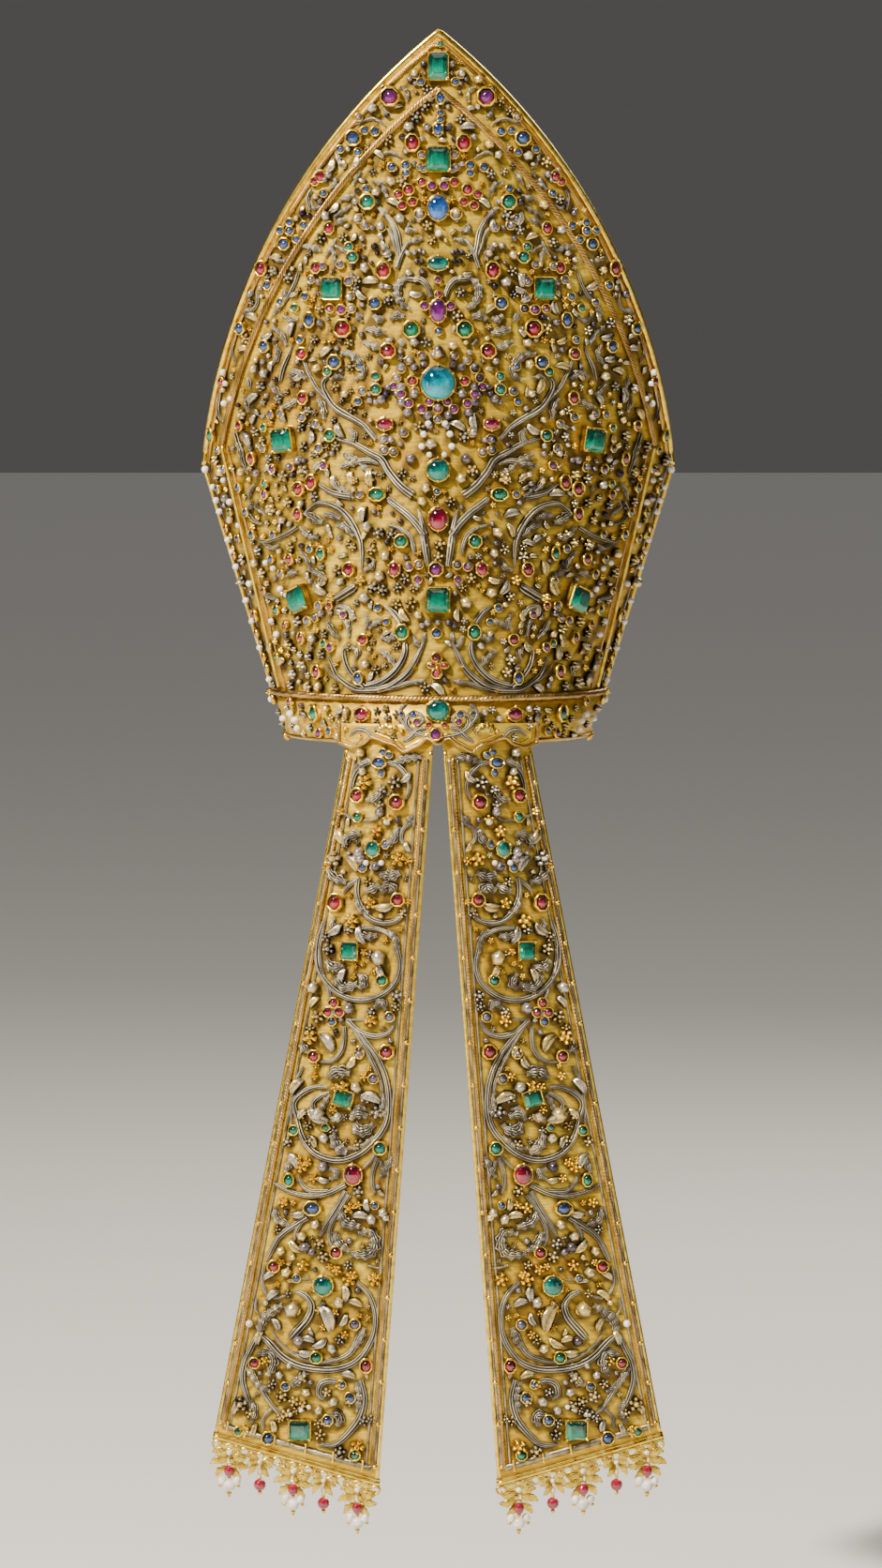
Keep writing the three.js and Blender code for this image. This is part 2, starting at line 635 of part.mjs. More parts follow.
function stem(surface, path, lift, taper, step = stemStep) {
  const curve = new THREE.CatmullRomCurve3(path.map(([across, up]) => surface.at(across, up)));
  const steps = Math.max(2, Math.round(curve.getLength() / step));
  const shares = new THREE.CatmullRomCurve3(path.map(([across, up]) => new THREE.Vector3(across, up, 0)));
  const samples = [];
  for (let i = 0; i <= steps; i += 1) {
    const place = shares.getPoint(curve.getUtoTmapping(i / steps));
    samples.push([place.x, place.y]);
  }
  const rings = pathFrames(surface, samples, false).map((frame, i) => {
    const width = 1 - taper * Math.max(0, 2 * i / steps - 1);
    frame.point.addScaledVector(frame.out, lift);
    return ringOf(frame, stemSection, width);
  });
  return skin(rings, false);
}

const freeEnds = ['heart', 'curl', 'hook', 'highBranch', 'longBranch', 'horn', 'tendril', 'crownInner',
  'smallScroll', 'roundScroll', 'sideCurl', 'greatScroll', 'outerCurl', 'reed', 'vine', 'cup', 'footHook'];
const taperOf = (name) => (freeEnds.includes(name) ? 0.5 : 0);

function crownStemsOn(surface, step) {
  return Object.entries(crownStems).flatMap(([name, path]) => [-1, 1].map((mirror) => {
    const places = path.map(([across, up]) => [mirror * across, up]);
    return stem(surface, places, seatLift, taperOf(name), step);
  }));
}

addMesh('back_scrollwork', fused(crownStemsOn(backSurface, stemStep)), finishes.silverThread);

// Stones in their collets

const outlineSides = 8;
const cornerCut = 0.55;
const petalWaist = 0.62;

function outlineOf(cut) {
  const points = [];
  for (let i = 0; i < outlineSides; i += 1) {
    const angle = i * 2 * Math.PI / outlineSides;
    const between = angle + Math.PI / outlineSides;
    if (cut === 'petals') {
      const reach = i % 2 ? petalWaist : 1;
      points.push([Math.cos(angle) * reach, Math.sin(angle) * reach]);
    } else if (cut === 'cabochon') {
      points.push([Math.cos(between), Math.sin(between)]);
    } else {
      const [c, s] = [Math.cos(between), Math.sin(between)];
      const wide = Math.abs(c) > Math.abs(s);
      points.push([Math.sign(c) * (wide ? 1 : cornerCut), Math.sign(s) * (wide ? cornerCut : 1)]);
    }
  }
  return points;
}

function stone(surface, row, mirror, lift) {
  const frame = frameAt(surface, mirror * row.across, row.up);
  const angle = THREE.MathUtils.degToRad(-mirror * (row.turned ?? 0));
  const aside = frame.side.clone().applyAxisAngle(frame.out, angle);
  const up = frame.up.clone().applyAxisAngle(frame.out, angle);
  const rise = stoneRise * Math.min(row.width, row.height);
  const rings = stoneProfiles[row.cut].map((level) => outlineOf(row.cut).map(([x, y]) => frame.point.clone()
    .addScaledVector(aside, x * level.spread * row.width / 2)
    .addScaledVector(up, y * level.spread * row.height / 2)
    .addScaledVector(frame.out, lift + level.rise * rise)));
  return skin(rings, false);
}

function finishOf(name) {
  const kind = Object.keys(stoneFinishes).find((key) => name.includes(key));
  return kind ? stoneFinishes[kind] : finishes.ruby;
}

function addStones(prefix, surface, rows, lift) {
  rows.forEach((row) => {
    if (row.paired) {
      addMesh(`${prefix}${row.name}_left`, stone(surface, row, -1, lift), finishOf(row.name));
      addMesh(`${prefix}${row.name}_right`, stone(surface, row, 1, lift), finishOf(row.name));
    } else {
      addMesh(`${prefix}${row.name}`, stone(surface, row, 1, lift), finishOf(row.name));
    }
  });
}

addStones('', backSurface, crownStones, seatLift);
const bandRows = bandStones.map((row) => ({ ...row, up: row.upBand * bandHeight / crownHeight }));
addStones('', backSurface, bandRows, onBandLift);

// The front panel carries the same scrolls and stones as one piece. Each stone there stands on a
// couched stalk that runs from a stem of the scrolls to the middle of the stone.

const frontStalks = [
  { from: [0, 0.084], to: [0, 0.11] }, { from: [0, 0.604], to: [0, 0.857] },
  { from: [0.083, 0.303], to: [0, 0.314] }, { from: [0.08, 0.2], to: [0, 0.201] },
  { from: [0.118, 0.385], to: [0, 0.382] }, { from: [0.146, 0.51], to: [0, 0.503] },
  { from: [0.135, 0.45], to: [0.22, 0.446] }, { from: [0.146, 0.293], to: [0.18, 0.244] },
  { from: [0.175, 0.64], to: [0.44, 0.635] }, { from: [0.428, 0.422], to: [0.641, 0.423] },
  { from: [0.456, 0.113], to: [0.573, 0.2] },
];

function frontScroll() {
  const parts = crownStemsOn(frontSurface, frontStemStep);
  frontStalks.forEach(({ from, to }) => {
    const path = [from, to];
    parts.push(stem(frontSurface, path, seatLift, 0));
    if (to[0] > 0) {
      parts.push(stem(frontSurface, path.map(([across, up]) => [-across, up]), seatLift, 0));
    }
  });
  crownStones.filter((row) => row.name !== 'apex_emerald').forEach((row) => {
    const low = { ...row, cut: 'low' };
    parts.push(stone(frontSurface, low, 1, seatLift));
    if (row.paired) parts.push(stone(frontSurface, low, -1, seatLift));
  });
  return fused(parts);
}

addMesh('front_scrollwork', frontScroll(), finishes.silverThread);

// Collar: a scalloped plate of cloth of gold over the tops of the lappets

function collarDropAt(across) {
  const far = Math.abs(across);
  const i = collarEdge.findIndex((row, k) => k > 0 && row.across >= far - 1e-9);
  const [from, to] = [collarEdge[i - 1], collarEdge[i]];
  return mix(from.drop, to.drop, (far - from.across) / (to.across - from.across));
}

function collar() {
  const half = collarEdge.map((row) => row.across);
  const columns = [...half.slice(1).map((across) => -across).reverse(), ...half];
  const sheet = (lift) => [0, 1].map((low) => columns.map((across) => {
    const x = across * collarHalfWidth;
    const z = collarTop - low * collarDropAt(across) * collarDrop;
    const frame = frameAt(backSurface, x / cleftHalfWidth, z / crownHeight);
    const point = frame.point.addScaledVector(frame.out, lift);
    point.z = z;
    return point;
  }));
  return wallBetween(sheet(collarLift + collarThickness), sheet(collarLift));
}

addMesh('lappet_collar', collar(), finishes.clothOfGold);

// Lappets: they tuck up behind the collar, follow the rim's oval there and lie flatter lower down

function lappetSurface(side) {
  const at = (across, down) => {
    const below = Math.max(down, 0);
    const innerX = lappetGapHalf + lappetSplay * below;
    const width = mix(lappetTopWidth, lappetEndWidth, below);
    const x = innerX + width * across;
    const z = -lappetTopDrop - down * (lappetLength - lappetEndRise * across);
    const topX = lappetGapHalf + lappetTopWidth * across;
    const ovalWidth = rimHalfWidth + lappetLift;
    const ovalDepth = rimHalfDepth + lappetLift;
    const topY = ovalDepth * Math.sqrt(1 - (topX / ovalWidth) ** 2);
    const y = mix(topY, mix(lappetEndDepthInner, lappetEndDepthOuter, across), below);
    return new THREE.Vector3(side * x, -y, z);
  };
  return { at, outward: -side, downward: true };
}

const drop = (millimetres) => millimetres / lappetLength;
const lappetFoot = 1 - drop(endBarHeight / 2 + clearance);
const lappetColumns = 6;
const lappetRows = 8;

function lappet(surface) {
  const sheet = (lift) => {
    const rows = [];
    for (let r = 0; r <= lappetRows; r += 1) {
      const down = r === 0 ? -drop(lappetTuck) : mix(0, lappetFoot, ((r - 1) / (lappetRows - 1)) ** 1.2);
      const row = [];
      for (let c = 0; c <= lappetColumns; c += 1) {
        const frame = frameAt(surface, c / lappetColumns, down);
        row.push(frame.point.addScaledVector(frame.out, lift));
      }
      rows.push(row);
    }
    return rows;
  };
  return wallBetween(sheet(lappetThickness), sheet(0));
}

// The rope frame runs down one edge of a lappet's face, across its foot and up the other edge
function lappetFrame(surface) {
  const edge = frameInset + frameWidth / 2;
  const top = drop(frameTopBelow);
  const foot = 1 - drop(frameEndAbove);
  const inner = (down) => edge / mix(lappetTopWidth, lappetEndWidth, down);
  const downwards = [0, 0.15, 0.35, 0.55, 0.75].map((share) => mix(top, foot, share));
  const acrossFoot = [0, 0.33, 0.67, 1].map((share) => mix(inner(foot), 1 - inner(foot), share));
  const path = [
    ...downwards.map((down) => [inner(down), down]),
    ...acrossFoot.map((across) => [across, foot]),
    ...downwards.map((down) => [1 - inner(down), down]).reverse(),
  ];
  const low = lappetThickness + seatLift;
  const section = [
    [-frameWidth / 2, low], [frameWidth / 2, low],
    [frameWidth * cordTopShare / 2, low + frameHeight], [-frameWidth * cordTopShare / 2, low + frameHeight],
  ];
  return sweep(surface, path, section, false);
}

function endBar(surface) {
  const middle = lappetThickness / 2;
  const section = polygonSection(cordSides, endBarHeight, endBarThickness, middle);
  const path = [0, 0.25, 0.5, 0.75, 1].map((across) => [across, 1]);
  return sweep(surface, path, section, false);
}

// Geometry in a local frame, X across, Y up the lappet and Z out of it, set onto a surface
function placed(geometry, surface, across, down, lift) {
  const frame = frameAt(surface, across, down);
  const basis = new THREE.Matrix4().makeBasis(frame.side, frame.up, frame.out);
  basis.setPosition(frame.point.addScaledVector(frame.out, lift));
  return geometry.clone().applyMatrix4(basis);
}

function leafPlate(large) {
  const leaf = new THREE.Shape();
  const [w, h] = [leafHalfWidth * (large ? 1 : smallLeafShare), leafHalfHeight];
  leaf.moveTo(0, -h);
  leaf.lineTo(w * 0.45, -h * 0.55);
  leaf.lineTo(w, -h * 0.35);
  leaf.lineTo(w * 0.75, h * 0.2);
  leaf.lineTo(w * 0.8, h);
  leaf.lineTo(-w * 0.8, h);
  leaf.lineTo(-w * 0.75, h * 0.2);
  leaf.lineTo(-w, -h * 0.35);
  leaf.lineTo(-w * 0.45, -h * 0.55);
  leaf.closePath();
  (large ? [-1, 1] : []).forEach((side) => {
    const hole = new THREE.Path();
    hole.moveTo(side * w * 0.18, -h * 0.15);
    hole.lineTo(side * w * 0.62, -h * 0.1);
    hole.lineTo(side * w * 0.45, h * 0.5);
    hole.lineTo(side * w * 0.18, h * 0.5);
    hole.closePath();
    leaf.holes.push(hole);
  });
  const plate = new THREE.ExtrudeGeometry(leaf, { depth: fringeThickness, bevelEnabled: false });
  plate.translate(0, 0, -fringeThickness / 2);
  return plate;
}

// A drop turned round its own axis, from its neck in the leaf down to its tip at local height 0
function dropLathe(beads) {
  const profile = [new THREE.Vector2(0, 0)];
  let y = dropTipLength;
  beads.forEach((diameter) => {
    profile.push(new THREE.Vector2(dropNeckDiameter / 2, y));
    profile.push(new THREE.Vector2(diameter / 2, y + diameter * 0.5));
    y += diameter;
  });
  profile.push(new THREE.Vector2(dropNeckDiameter / 2, y));
  profile.push(new THREE.Vector2(0, y + dropNeckDiameter));
  return { geometry: new THREE.LatheGeometry(profile, beadSides), length: y };
}

function fringe(surface) {
  const middle = lappetThickness / 2;
  const headTop = endBarHeight / 2 + clearance;
  const headDown = 1 + drop(headTop + fringeHeadHeight / 2);
  const headPath = [0.02, 0.26, 0.5, 0.74, 0.98].map((across) => [across, headDown]);
  const headSection = [[-1, -1], [1, -1], [1, 1], [-1, 1]]
    .map(([x, y]) => [x * fringeHeadHeight / 2, middle + y * fringeThickness / 2]);
  const parts = [sweep(surface, headPath, headSection, false)];
  const leafMiddle = headTop + fringeHeadHeight / 2 + leafHalfHeight;
  fringeMotifs.forEach(({ across, large }) => {
    const down = 1 + drop(leafMiddle);
    parts.push(placed(leafPlate(large), surface, across, down, middle));
    const beads = large ? [pearlDiameter, rubyBeadDiameter] : [rubyBeadDiameter];
    const { geometry, length } = dropLathe(beads);
    geometry.translate(0, -leafHalfHeight - length + dropNeckDiameter / 2, 0);
    parts.push(placed(geometry, surface, across, down, middle));
  });
  return fused(parts);
}

function addLappet(word, side) {
  const surface = lappetSurface(side);
  addMesh(`lappet_${word}`, lappet(surface), finishes.clothOfGold);
  addMesh(`lappet_${word}_frame`, lappetFrame(surface), finishes.goldRope);
  const stems = Object.entries(lappetStems)
    .map(([name, path]) => stem(surface, path, lappetThickness + seatLift, taperOf(name)));
  addMesh(`lappet_${word}_scrollwork`, fused(stems), finishes.silverThread);
  addMesh(`lappet_${word}_end_bar`, endBar(surface), finishes.goldMetal);
  addMesh(`lappet_${word}_fringe`, fringe(surface), finishes.goldMetal);
  addStones(`${word}_`, surface, lappetStones, lappetThickness + seatLift);
}

addLappet('left', -1);
addLappet('right', 1);

export default group;
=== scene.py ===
import math

import bpy
import numpy as np
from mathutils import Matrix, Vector


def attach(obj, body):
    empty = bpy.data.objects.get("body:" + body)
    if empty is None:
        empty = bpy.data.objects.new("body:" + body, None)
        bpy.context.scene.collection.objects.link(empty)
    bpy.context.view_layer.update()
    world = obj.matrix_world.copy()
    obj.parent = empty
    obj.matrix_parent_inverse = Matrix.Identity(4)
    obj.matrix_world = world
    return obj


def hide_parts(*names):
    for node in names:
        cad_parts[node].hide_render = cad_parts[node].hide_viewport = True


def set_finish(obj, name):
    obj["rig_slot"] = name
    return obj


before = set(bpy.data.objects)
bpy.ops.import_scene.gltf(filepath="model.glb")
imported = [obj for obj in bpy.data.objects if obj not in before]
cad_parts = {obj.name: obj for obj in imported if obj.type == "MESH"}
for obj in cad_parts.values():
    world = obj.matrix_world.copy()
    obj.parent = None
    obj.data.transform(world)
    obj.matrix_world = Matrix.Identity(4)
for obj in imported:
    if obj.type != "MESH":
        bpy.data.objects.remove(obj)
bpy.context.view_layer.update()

# Camera: it looks at the back of the mitre from five metres, a little above and tilted down, with a long
# lens, so that the object fills a frame of 941 by 1672 pixels as it does in the photograph.
mm = 0.001
photo_height = 1672
photo_centre = (470.5, 836.0)
millimetres_per_pixel = 0.5607
camera_distance = 5000.0
camera_tilt = math.radians(3.5)
camera_target = np.array([1.7, 0.0, -29.2])
sensor_long_side = 36.0
camera_ahead = np.array([0.0, math.cos(camera_tilt), -math.sin(camera_tilt)])
camera_up = np.array([0.0, math.sin(camera_tilt), math.cos(camera_tilt)])
camera_place = camera_target - camera_ahead * camera_distance
focal_pixels = camera_distance / millimetres_per_pixel

camera_data = bpy.data.cameras.new("camera")
camera_data.sensor_width = sensor_long_side
camera_data.lens = sensor_long_side * focal_pixels / photo_height
camera_data.clip_end = 100
camera = bpy.data.objects.new("camera", camera_data)
camera.location = camera_place * mm
camera.rotation_euler = (math.radians(90) - camera_tilt, 0, 0)
bpy.context.collection.objects.link(camera)
bpy.context.scene.camera = camera


def to_pixels(points):
    """Where points in millimetres fall in the photograph's frame."""
    ray = points - camera_place
    depth = ray @ camera_ahead
    across = photo_centre[0] + focal_pixels * ray[..., 0] / depth
    down = photo_centre[1] - focal_pixels * (ray @ camera_up) / depth
    return across, down


# Studio: a plain pale floor under the hanging object and a pale room, a small key light from the upper left
# that throws the relief's shadows, a weak fill and strip in front, a high sun and a softbox behind.
floor_height = -0.56
floor_reach = 30.0


def srgb(code):
    """An sRGB hex colour as linear values."""
    parts = [int(code[i:i + 2], 16) / 255 for i in (1, 3, 5)]
    return [p / 12.92 if p <= 0.04045 else ((p + 0.055) / 1.055) ** 2.4 for p in parts] + [1.0]


def add_node(tree, kind, settings=None, inputs=None):
    """Adds a node, sets its properties, and links or sets its inputs."""
    made = tree.nodes.new(kind)
    for name, value in (settings or {}).items():
        setattr(made, name, value)
    for name, value in (inputs or {}).items():
        if isinstance(value, bpy.types.NodeSocket):
            tree.links.new(value, made.inputs[name])
        else:
            made.inputs[name].default_value = value
    return made


def new_material(name):
    material = bpy.data.materials.new(name)
    material.use_nodes = True
    return material, material.node_tree, material.node_tree.nodes["Principled BSDF"]


floor_paint, tree, shader = new_material("studio_floor_paint")
shader.inputs["Base Color"].default_value = srgb("#d9d6d0")
shader.inputs["Roughness"].default_value = 0.8
floor_mesh = bpy.data.meshes.new("studio_floor")
floor_mesh.from_pydata([(x * floor_reach, y * floor_reach, floor_height) for x, y in
                        [(-1, -1), (1, -1), (1, 1), (-1, 1)]], [], [(0, 1, 2, 3)])
floor_mesh.materials.append(floor_paint)
floor = bpy.data.objects.new("studio_floor", floor_mesh)
bpy.context.collection.objects.link(floor)

world = bpy.data.worlds.new("studio_room")
bpy.context.scene.world = world
world.use_nodes = True
room = world.node_tree.nodes["Background"]
room.inputs["Color"].default_value = srgb("#dcdad6")
room.inputs["Strength"].default_value = 0.11


def area_light(name, place, size, watts, colour):
    lamp = bpy.data.lights.new(name, "AREA")
    lamp.shape = "RECTANGLE"
    lamp.size, lamp.size_y = size
    lamp.energy = watts
    lamp.color = srgb(colour)[:3]
    light = bpy.data.objects.new(name, lamp)
    light.location = place
    light.rotation_euler = (Vector((0, 0, 0)) - Vector(place)).to_track_quat("-Z", "Y").to_euler()
    bpy.context.collection.objects.link(light)


area_light("key_softbox", (-1.7, -2.1, 2.5), (0.2, 0.2), 415, "#fff8ea")
area_light("fill_softbox", (2.4, -2.4, 0.3), (1.0, 1.6), 7, "#f2f4ff")
area_light("front_strip", (-2.4, -1.6, -0.2), (0.3, 1.6), 11, "#fff0dc")
overhead = bpy.data.objects.new("overhead_panel", bpy.data.lights.new("overhead_panel", "SUN"))
overhead.data.energy, overhead.data.angle = 0.5, math.radians(40)
bpy.context.collection.objects.link(overhead)
area_light("back_softbox", (1.2, 2.6, 1.8), (1.2, 1.2), 60, "#fff6ea")

# Crown panels: two stiffened sheets of cloth of gold, joined at the sides and parting into horns above the
# cleft. Each leans out from the oval rim to an arc at the cleft and goes on in straight lines to its tip.
rim_half_width = 88.0
rim_half_depth = 100.0
cleft_height = 174.0
cleft_half_width = 141.0
cleft_bulge = 85.5
crown_height = 420.0
arch_radius = 382.0
panel_thickness = 2.4
edge_roll_diameter = 4.6
gap = 0.3
bulge_radius = (cleft_half_width ** 2 + cleft_bulge ** 2) / (2 * cleft_bulge)
bulge_angle = math.asin(cleft_half_width / bulge_radius)


def wall_point(turn, z):
    """Points of the back panel's outer face for turns from -1 to 1 between the side seams."""
    turn, z = np.broadcast_arrays(np.asarray(turn, float), np.asarray(z, float))
    lean = z / cleft_height
    rim_x = rim_half_width * np.sin(turn * math.pi / 2)
    rim_y = -rim_half_depth * np.cos(turn * math.pi / 2)
    cleft_x = bulge_radius * np.sin(turn * bulge_angle)
    cleft_y = -bulge_radius * (np.cos(turn * bulge_angle) - math.cos(bulge_angle))
    return np.stack([rim_x + (cleft_x - rim_x) * lean, rim_y + (cleft_y - rim_y) * lean, z], -1)


def turn_at(x, z):
    x, z = np.broadcast_arrays(np.asarray(x, float), np.asarray(z, float))
    low, high = np.zeros(x.shape), np.full(x.shape, 1.1)
    for _ in range(34):
        middle = (low + high) / 2
        inside = wall_point(middle, z)[..., 0] < np.abs(x)
        low, high = np.where(inside, middle, low), np.where(inside, high, middle)
    return np.sign(x) * (low + high) / 2


def crown_ground(x, z):
    """Points of the back panel's outer face for places across and up."""
    return wall_point(turn_at(x, z), z)


def lifted(ground, x, z, lift=0.0):
    """Points above a ground, and the ground's outward directions there."""
    step = 0.4
    x, z = np.asarray(x, float), np.asarray(z, float)
    sideways = ground(x + step, z) - ground(x - step, z)
    upward = ground(x, z + step) - ground(x, z - step)
    out = np.cross(sideways, upward)
    out /= np.linalg.norm(out, axis=-1, keepdims=True)
    return ground(x, z) + out * np.asarray(lift)[..., None], out


def arch_half_width(foot_width, foot_z, tip_z, radius, inset, z):
    foot, tip = np.array([foot_width, foot_z]), np.array([0.0, tip_z])
    chord = tip - foot
    reach = math.sqrt(radius ** 2 - chord @ chord / 4)
    centre = (foot + tip) / 2 + np.array([-chord[1], chord[0]]) / np.linalg.norm(chord) * reach
    return np.sqrt(np.maximum(0, (radius - inset) ** 2 - (z - centre[1]) ** 2)) + centre[0]


def edge_half_width(z, inset):
    return arch_half_width(cleft_half_width, cleft_height, crown_height, arch_radius, inset, z)


def height_where(half_width, value):
    low, high = cleft_height, crown_height
    for _ in range(50):
        middle = (low + high) / 2
        low, high = (middle, high) if half_width(middle) > value else (low, middle)
    return low


def new_piece(name, points, faces, materials, smooth=True, slot=None, replaces=()):
    """A mesh from points in millimetres. It rides on the one body."""
    mesh = bpy.data.meshes.new(name)
    mesh.from_pydata((np.asarray(points) * mm).tolist(), [], [tuple(f) for f in faces])
    for material in materials:
        mesh.materials.append(material)
    mesh.polygons.foreach_set("use_smooth", [smooth] * len(mesh.polygons))
    piece = bpy.data.objects.new(name, mesh)
    bpy.context.collection.objects.link(piece)
    declare(piece, slot, replaces)
    return piece


def declare(piece, slot, replaces):
    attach(piece, "root")
    if slot:
        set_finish(piece, slot)
    if replaces:
        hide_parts(*replaces)


def mirrored_copy(piece, name, axis, replaces=()):
    """The same piece turned over to the other side, with its faces still outwards."""
    mesh = piece.data.copy()
    places = np.empty(len(mesh.vertices) * 3, np.float32)
    mesh.vertices.foreach_get("co", places)
    places[axis::3] *= -1
    mesh.vertices.foreach_set("co", places)
    mesh.flip_normals()
    copy = bpy.data.objects.new(name, mesh)
    bpy.context.collection.objects.link(copy)
    declare(copy, piece.get("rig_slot"), replaces)
    return copy


def front_copy(piece, name, replaces=()):
    """A piece of the back wall repeated on the front one."""
    return mirrored_copy(piece, name, 1, replaces)


def shell_faces(rows, columns):
    """Faces of a closed wall whose outer points come first, row by row, and then its inner points."""
    faces = []
    inner = rows * columns
    for r in range(rows - 1):
        for c in range(columns - 1):
            a, b = r * columns + c, r * columns + c + 1
            d, e = a + columns, b + columns
            faces += [(a, b, e, d), (a + inner, d + inner, e + inner, b + inner)]
    around = list(range(columns))
    around += [r * columns + columns - 1 for r in range(1, rows)]
    around += [(rows - 1) * columns + c for c in range(columns - 2, -1, -1)]
    around += [r * columns for r in range(rows - 2, 0, -1)]
    for here, after in zip(around, around[1:] + around[:1]):
        faces.append((here, here + inner, after + inner, after))
    return faces


# Cloth of gold: silk woven with flat gilt strip. The strip gives a satin gold shine with a fine grain
# across, and broad patches of it are browner.
strip_spacing = 1.1

cloth_of_gold, tree, shader = new_material("woven_cloth_of_gold")
place = add_node(tree, "ShaderNodeTexCoord").outputs["Object"]
broad = add_node(tree, "ShaderNodeTexNoise", {}, {"Vector": place, "Scale": 22.0, "Detail": 4.0,
                                                 "Roughness": 0.6})
grain_place = add_node(tree, "ShaderNodeMapping", {}, {"Vector": place, "Scale": (160, 160, 900)})
grain = add_node(tree, "ShaderNodeTexNoise", {}, {"Vector": grain_place.outputs[0], "Scale": 1.0,
                                                 "Detail": 3.0})
strips = add_node(tree, "ShaderNodeTexWave", {"bands_direction": "Z"},
                  {"Vector": place, "Scale": 0.314 / (strip_spacing * mm) / 10 * 0.5, "Distortion": 1.2,
                   "Detail": 2.0, "Detail Scale": 2.0})
warps = add_node(tree, "ShaderNodeTexWave", {"bands_direction": "X"},
                 {"Vector": place, "Scale": 0.314 / (strip_spacing * mm) / 10 * 0.35, "Distortion": 0.8})
tone = add_node(tree, "ShaderNodeValToRGB", {}, {"Fac": broad.outputs["Fac"]})
tone.color_ramp.elements[0].position, tone.color_ramp.elements[0].color = 0.3, srgb("#c79a1e")
tone.color_ramp.elements[1].position, tone.color_ramp.elements[1].color = 0.68, srgb("#f8d648")
fleck = add_node(tree, "ShaderNodeValToRGB", {}, {"Fac": grain.outputs["Fac"]})
fleck.color_ramp.elements[0].position, fleck.color_ramp.elements[0].color = 0.36, srgb("#a07c34")
fleck.color_ramp.elements[1].position, fleck.color_ramp.elements[1].color = 0.6, srgb("#ffffff")
worn = add_node(tree, "ShaderNodeMix", {"data_type": "RGBA", "blend_type": "MULTIPLY"},
                {0: 0.45, 6: tone.outputs["Color"], 7: fleck.outputs["Color"]})
# painted shade: the cloth is painted dark brown beside the work sewn on it, most of all below each piece
beside = add_node(tree, "ShaderNodeAttribute", {"attribute_name": "tarnish"}).outputs["Fac"]
painted_shade_mix = add_node(tree, "ShaderNodeMix", {"data_type": "RGBA"},
                     {0: beside, 6: worn.outputs[2], 7: srgb("#3c260a")})
tree.links.new(painted_shade_mix.outputs[2], shader.inputs["Base Color"])
weave = add_node(tree, "ShaderNodeMath", {"operation": "ADD"},
                 {0: strips.outputs["Fac"], 1: warps.outputs["Fac"]})
relief = add_node(tree, "ShaderNodeMath", {"operation": "MULTIPLY_ADD"},
                  {0: grain.outputs["Fac"], 1: 1.6, 2: weave.outputs[0]})
bump = add_node(tree, "ShaderNodeBump", {}, {"Height": relief.outputs[0], "Strength": 0.35,
                                            "Distance": 0.15 * mm})
tree.links.new(bump.outputs[0], shader.inputs["Normal"])
rough = add_node(tree, "ShaderNodeMapRange", {}, {"Value": broad.outputs["Fac"], "From Min": 0.3,
                                                 "From Max": 0.7, "To Min": 0.5, "To Max": 0.36})
tree.links.new(rough.outputs[0], shader.inputs["Roughness"])
shader.inputs["Metallic"].default_value = 0.6

panel_inset = edge_roll_diameter + gap
panel_columns = 98
seam_rows, arch_rows = 42, 56
seam_top = cleft_height * ((edge_half_width(cleft_height, panel_inset) - rim_half_width)
                           / (cleft_half_width - rim_half_width))
panel_tip = height_where(lambda z: edge_half_width(z, panel_inset), 0.8)
panel_heights = np.concatenate([np.linspace(0, seam_top, seam_rows, endpoint=False),
                                seam_top + (panel_tip - seam_top)
                                * np.sin(np.linspace(0, math.pi / 2, arch_rows))])
seam_clear_turn = 0.9985
panel_turns = np.where(panel_heights < seam_top, seam_clear_turn,
                       turn_at(edge_half_width(panel_heights, panel_inset), panel_heights))
panel_turns = np.minimum(panel_turns, seam_clear_turn)
spread = np.linspace(-1, 1, panel_columns)


def panel_sheet(depth):
    turn = panel_turns[:, None] * spread[None, :]
    z = np.broadcast_to(panel_heights[:, None], turn.shape)
    step = 1e-3
    out = np.cross(wall_point(turn + step, z) - wall_point(turn - step, z),
                   wall_point(turn, z + 1) - wall_point(turn, z - 1))
    out /= np.linalg.norm(out, axis=-1, keepdims=True)
    sheet = wall_point(turn, z) - out * depth
    sheet[..., 2] = z
    sheet[..., 1] = np.minimum(sheet[..., 1], -gap / 2)
    return sheet.reshape(-1, 3)


panel_points = np.concatenate([panel_sheet(0.0), panel_sheet(panel_thickness)])
back_panel = new_piece("back_panel_cloth", panel_points, shell_faces(len(panel_heights), panel_columns),
                       [cloth_of_gold], slot="cloth_of_gold", replaces=["back_panel"])
front_panel = front_copy(back_panel, "front_panel_cloth", ["front_panel"])


def painted_shade_beside(piece, centres, radii, reach=1.9, drop=1.0):
    """Darkens a cloth beside the work sewn on it: painted shade for the dark edges that hard light leaves
    there, most of all below. The cloth has no such marks of its own."""
    places = np.empty(len(piece.data.vertices) * 3, np.float32)
    piece.data.vertices.foreach_get("co", places)
    places = places.reshape(-1, 3)[:, ::2] / mm
    shade = np.concatenate([
        (1 - (np.linalg.norm(part[:, None] - centres[None] + [0, drop], axis=2) - radii).min(1) / reach)
        for part in np.array_split(places, len(places) // 500 + 1)])
    shade[len(shade) // 2:] = 0
    piece.data.attributes.new("tarnish", "FLOAT", "POINT").data.foreach_set(
        "value", (np.clip(shade, 0, 1) ** 1.5 * 0.85).astype(np.float32))

# Rim band: a straight strip of cloth of gold sewn round the foot of both panels, its lower edge turned.
band_height = 24.3
band_thickness = 1.7
band_lift = 0.4
band_turn = 0.5
ring_steps = 240


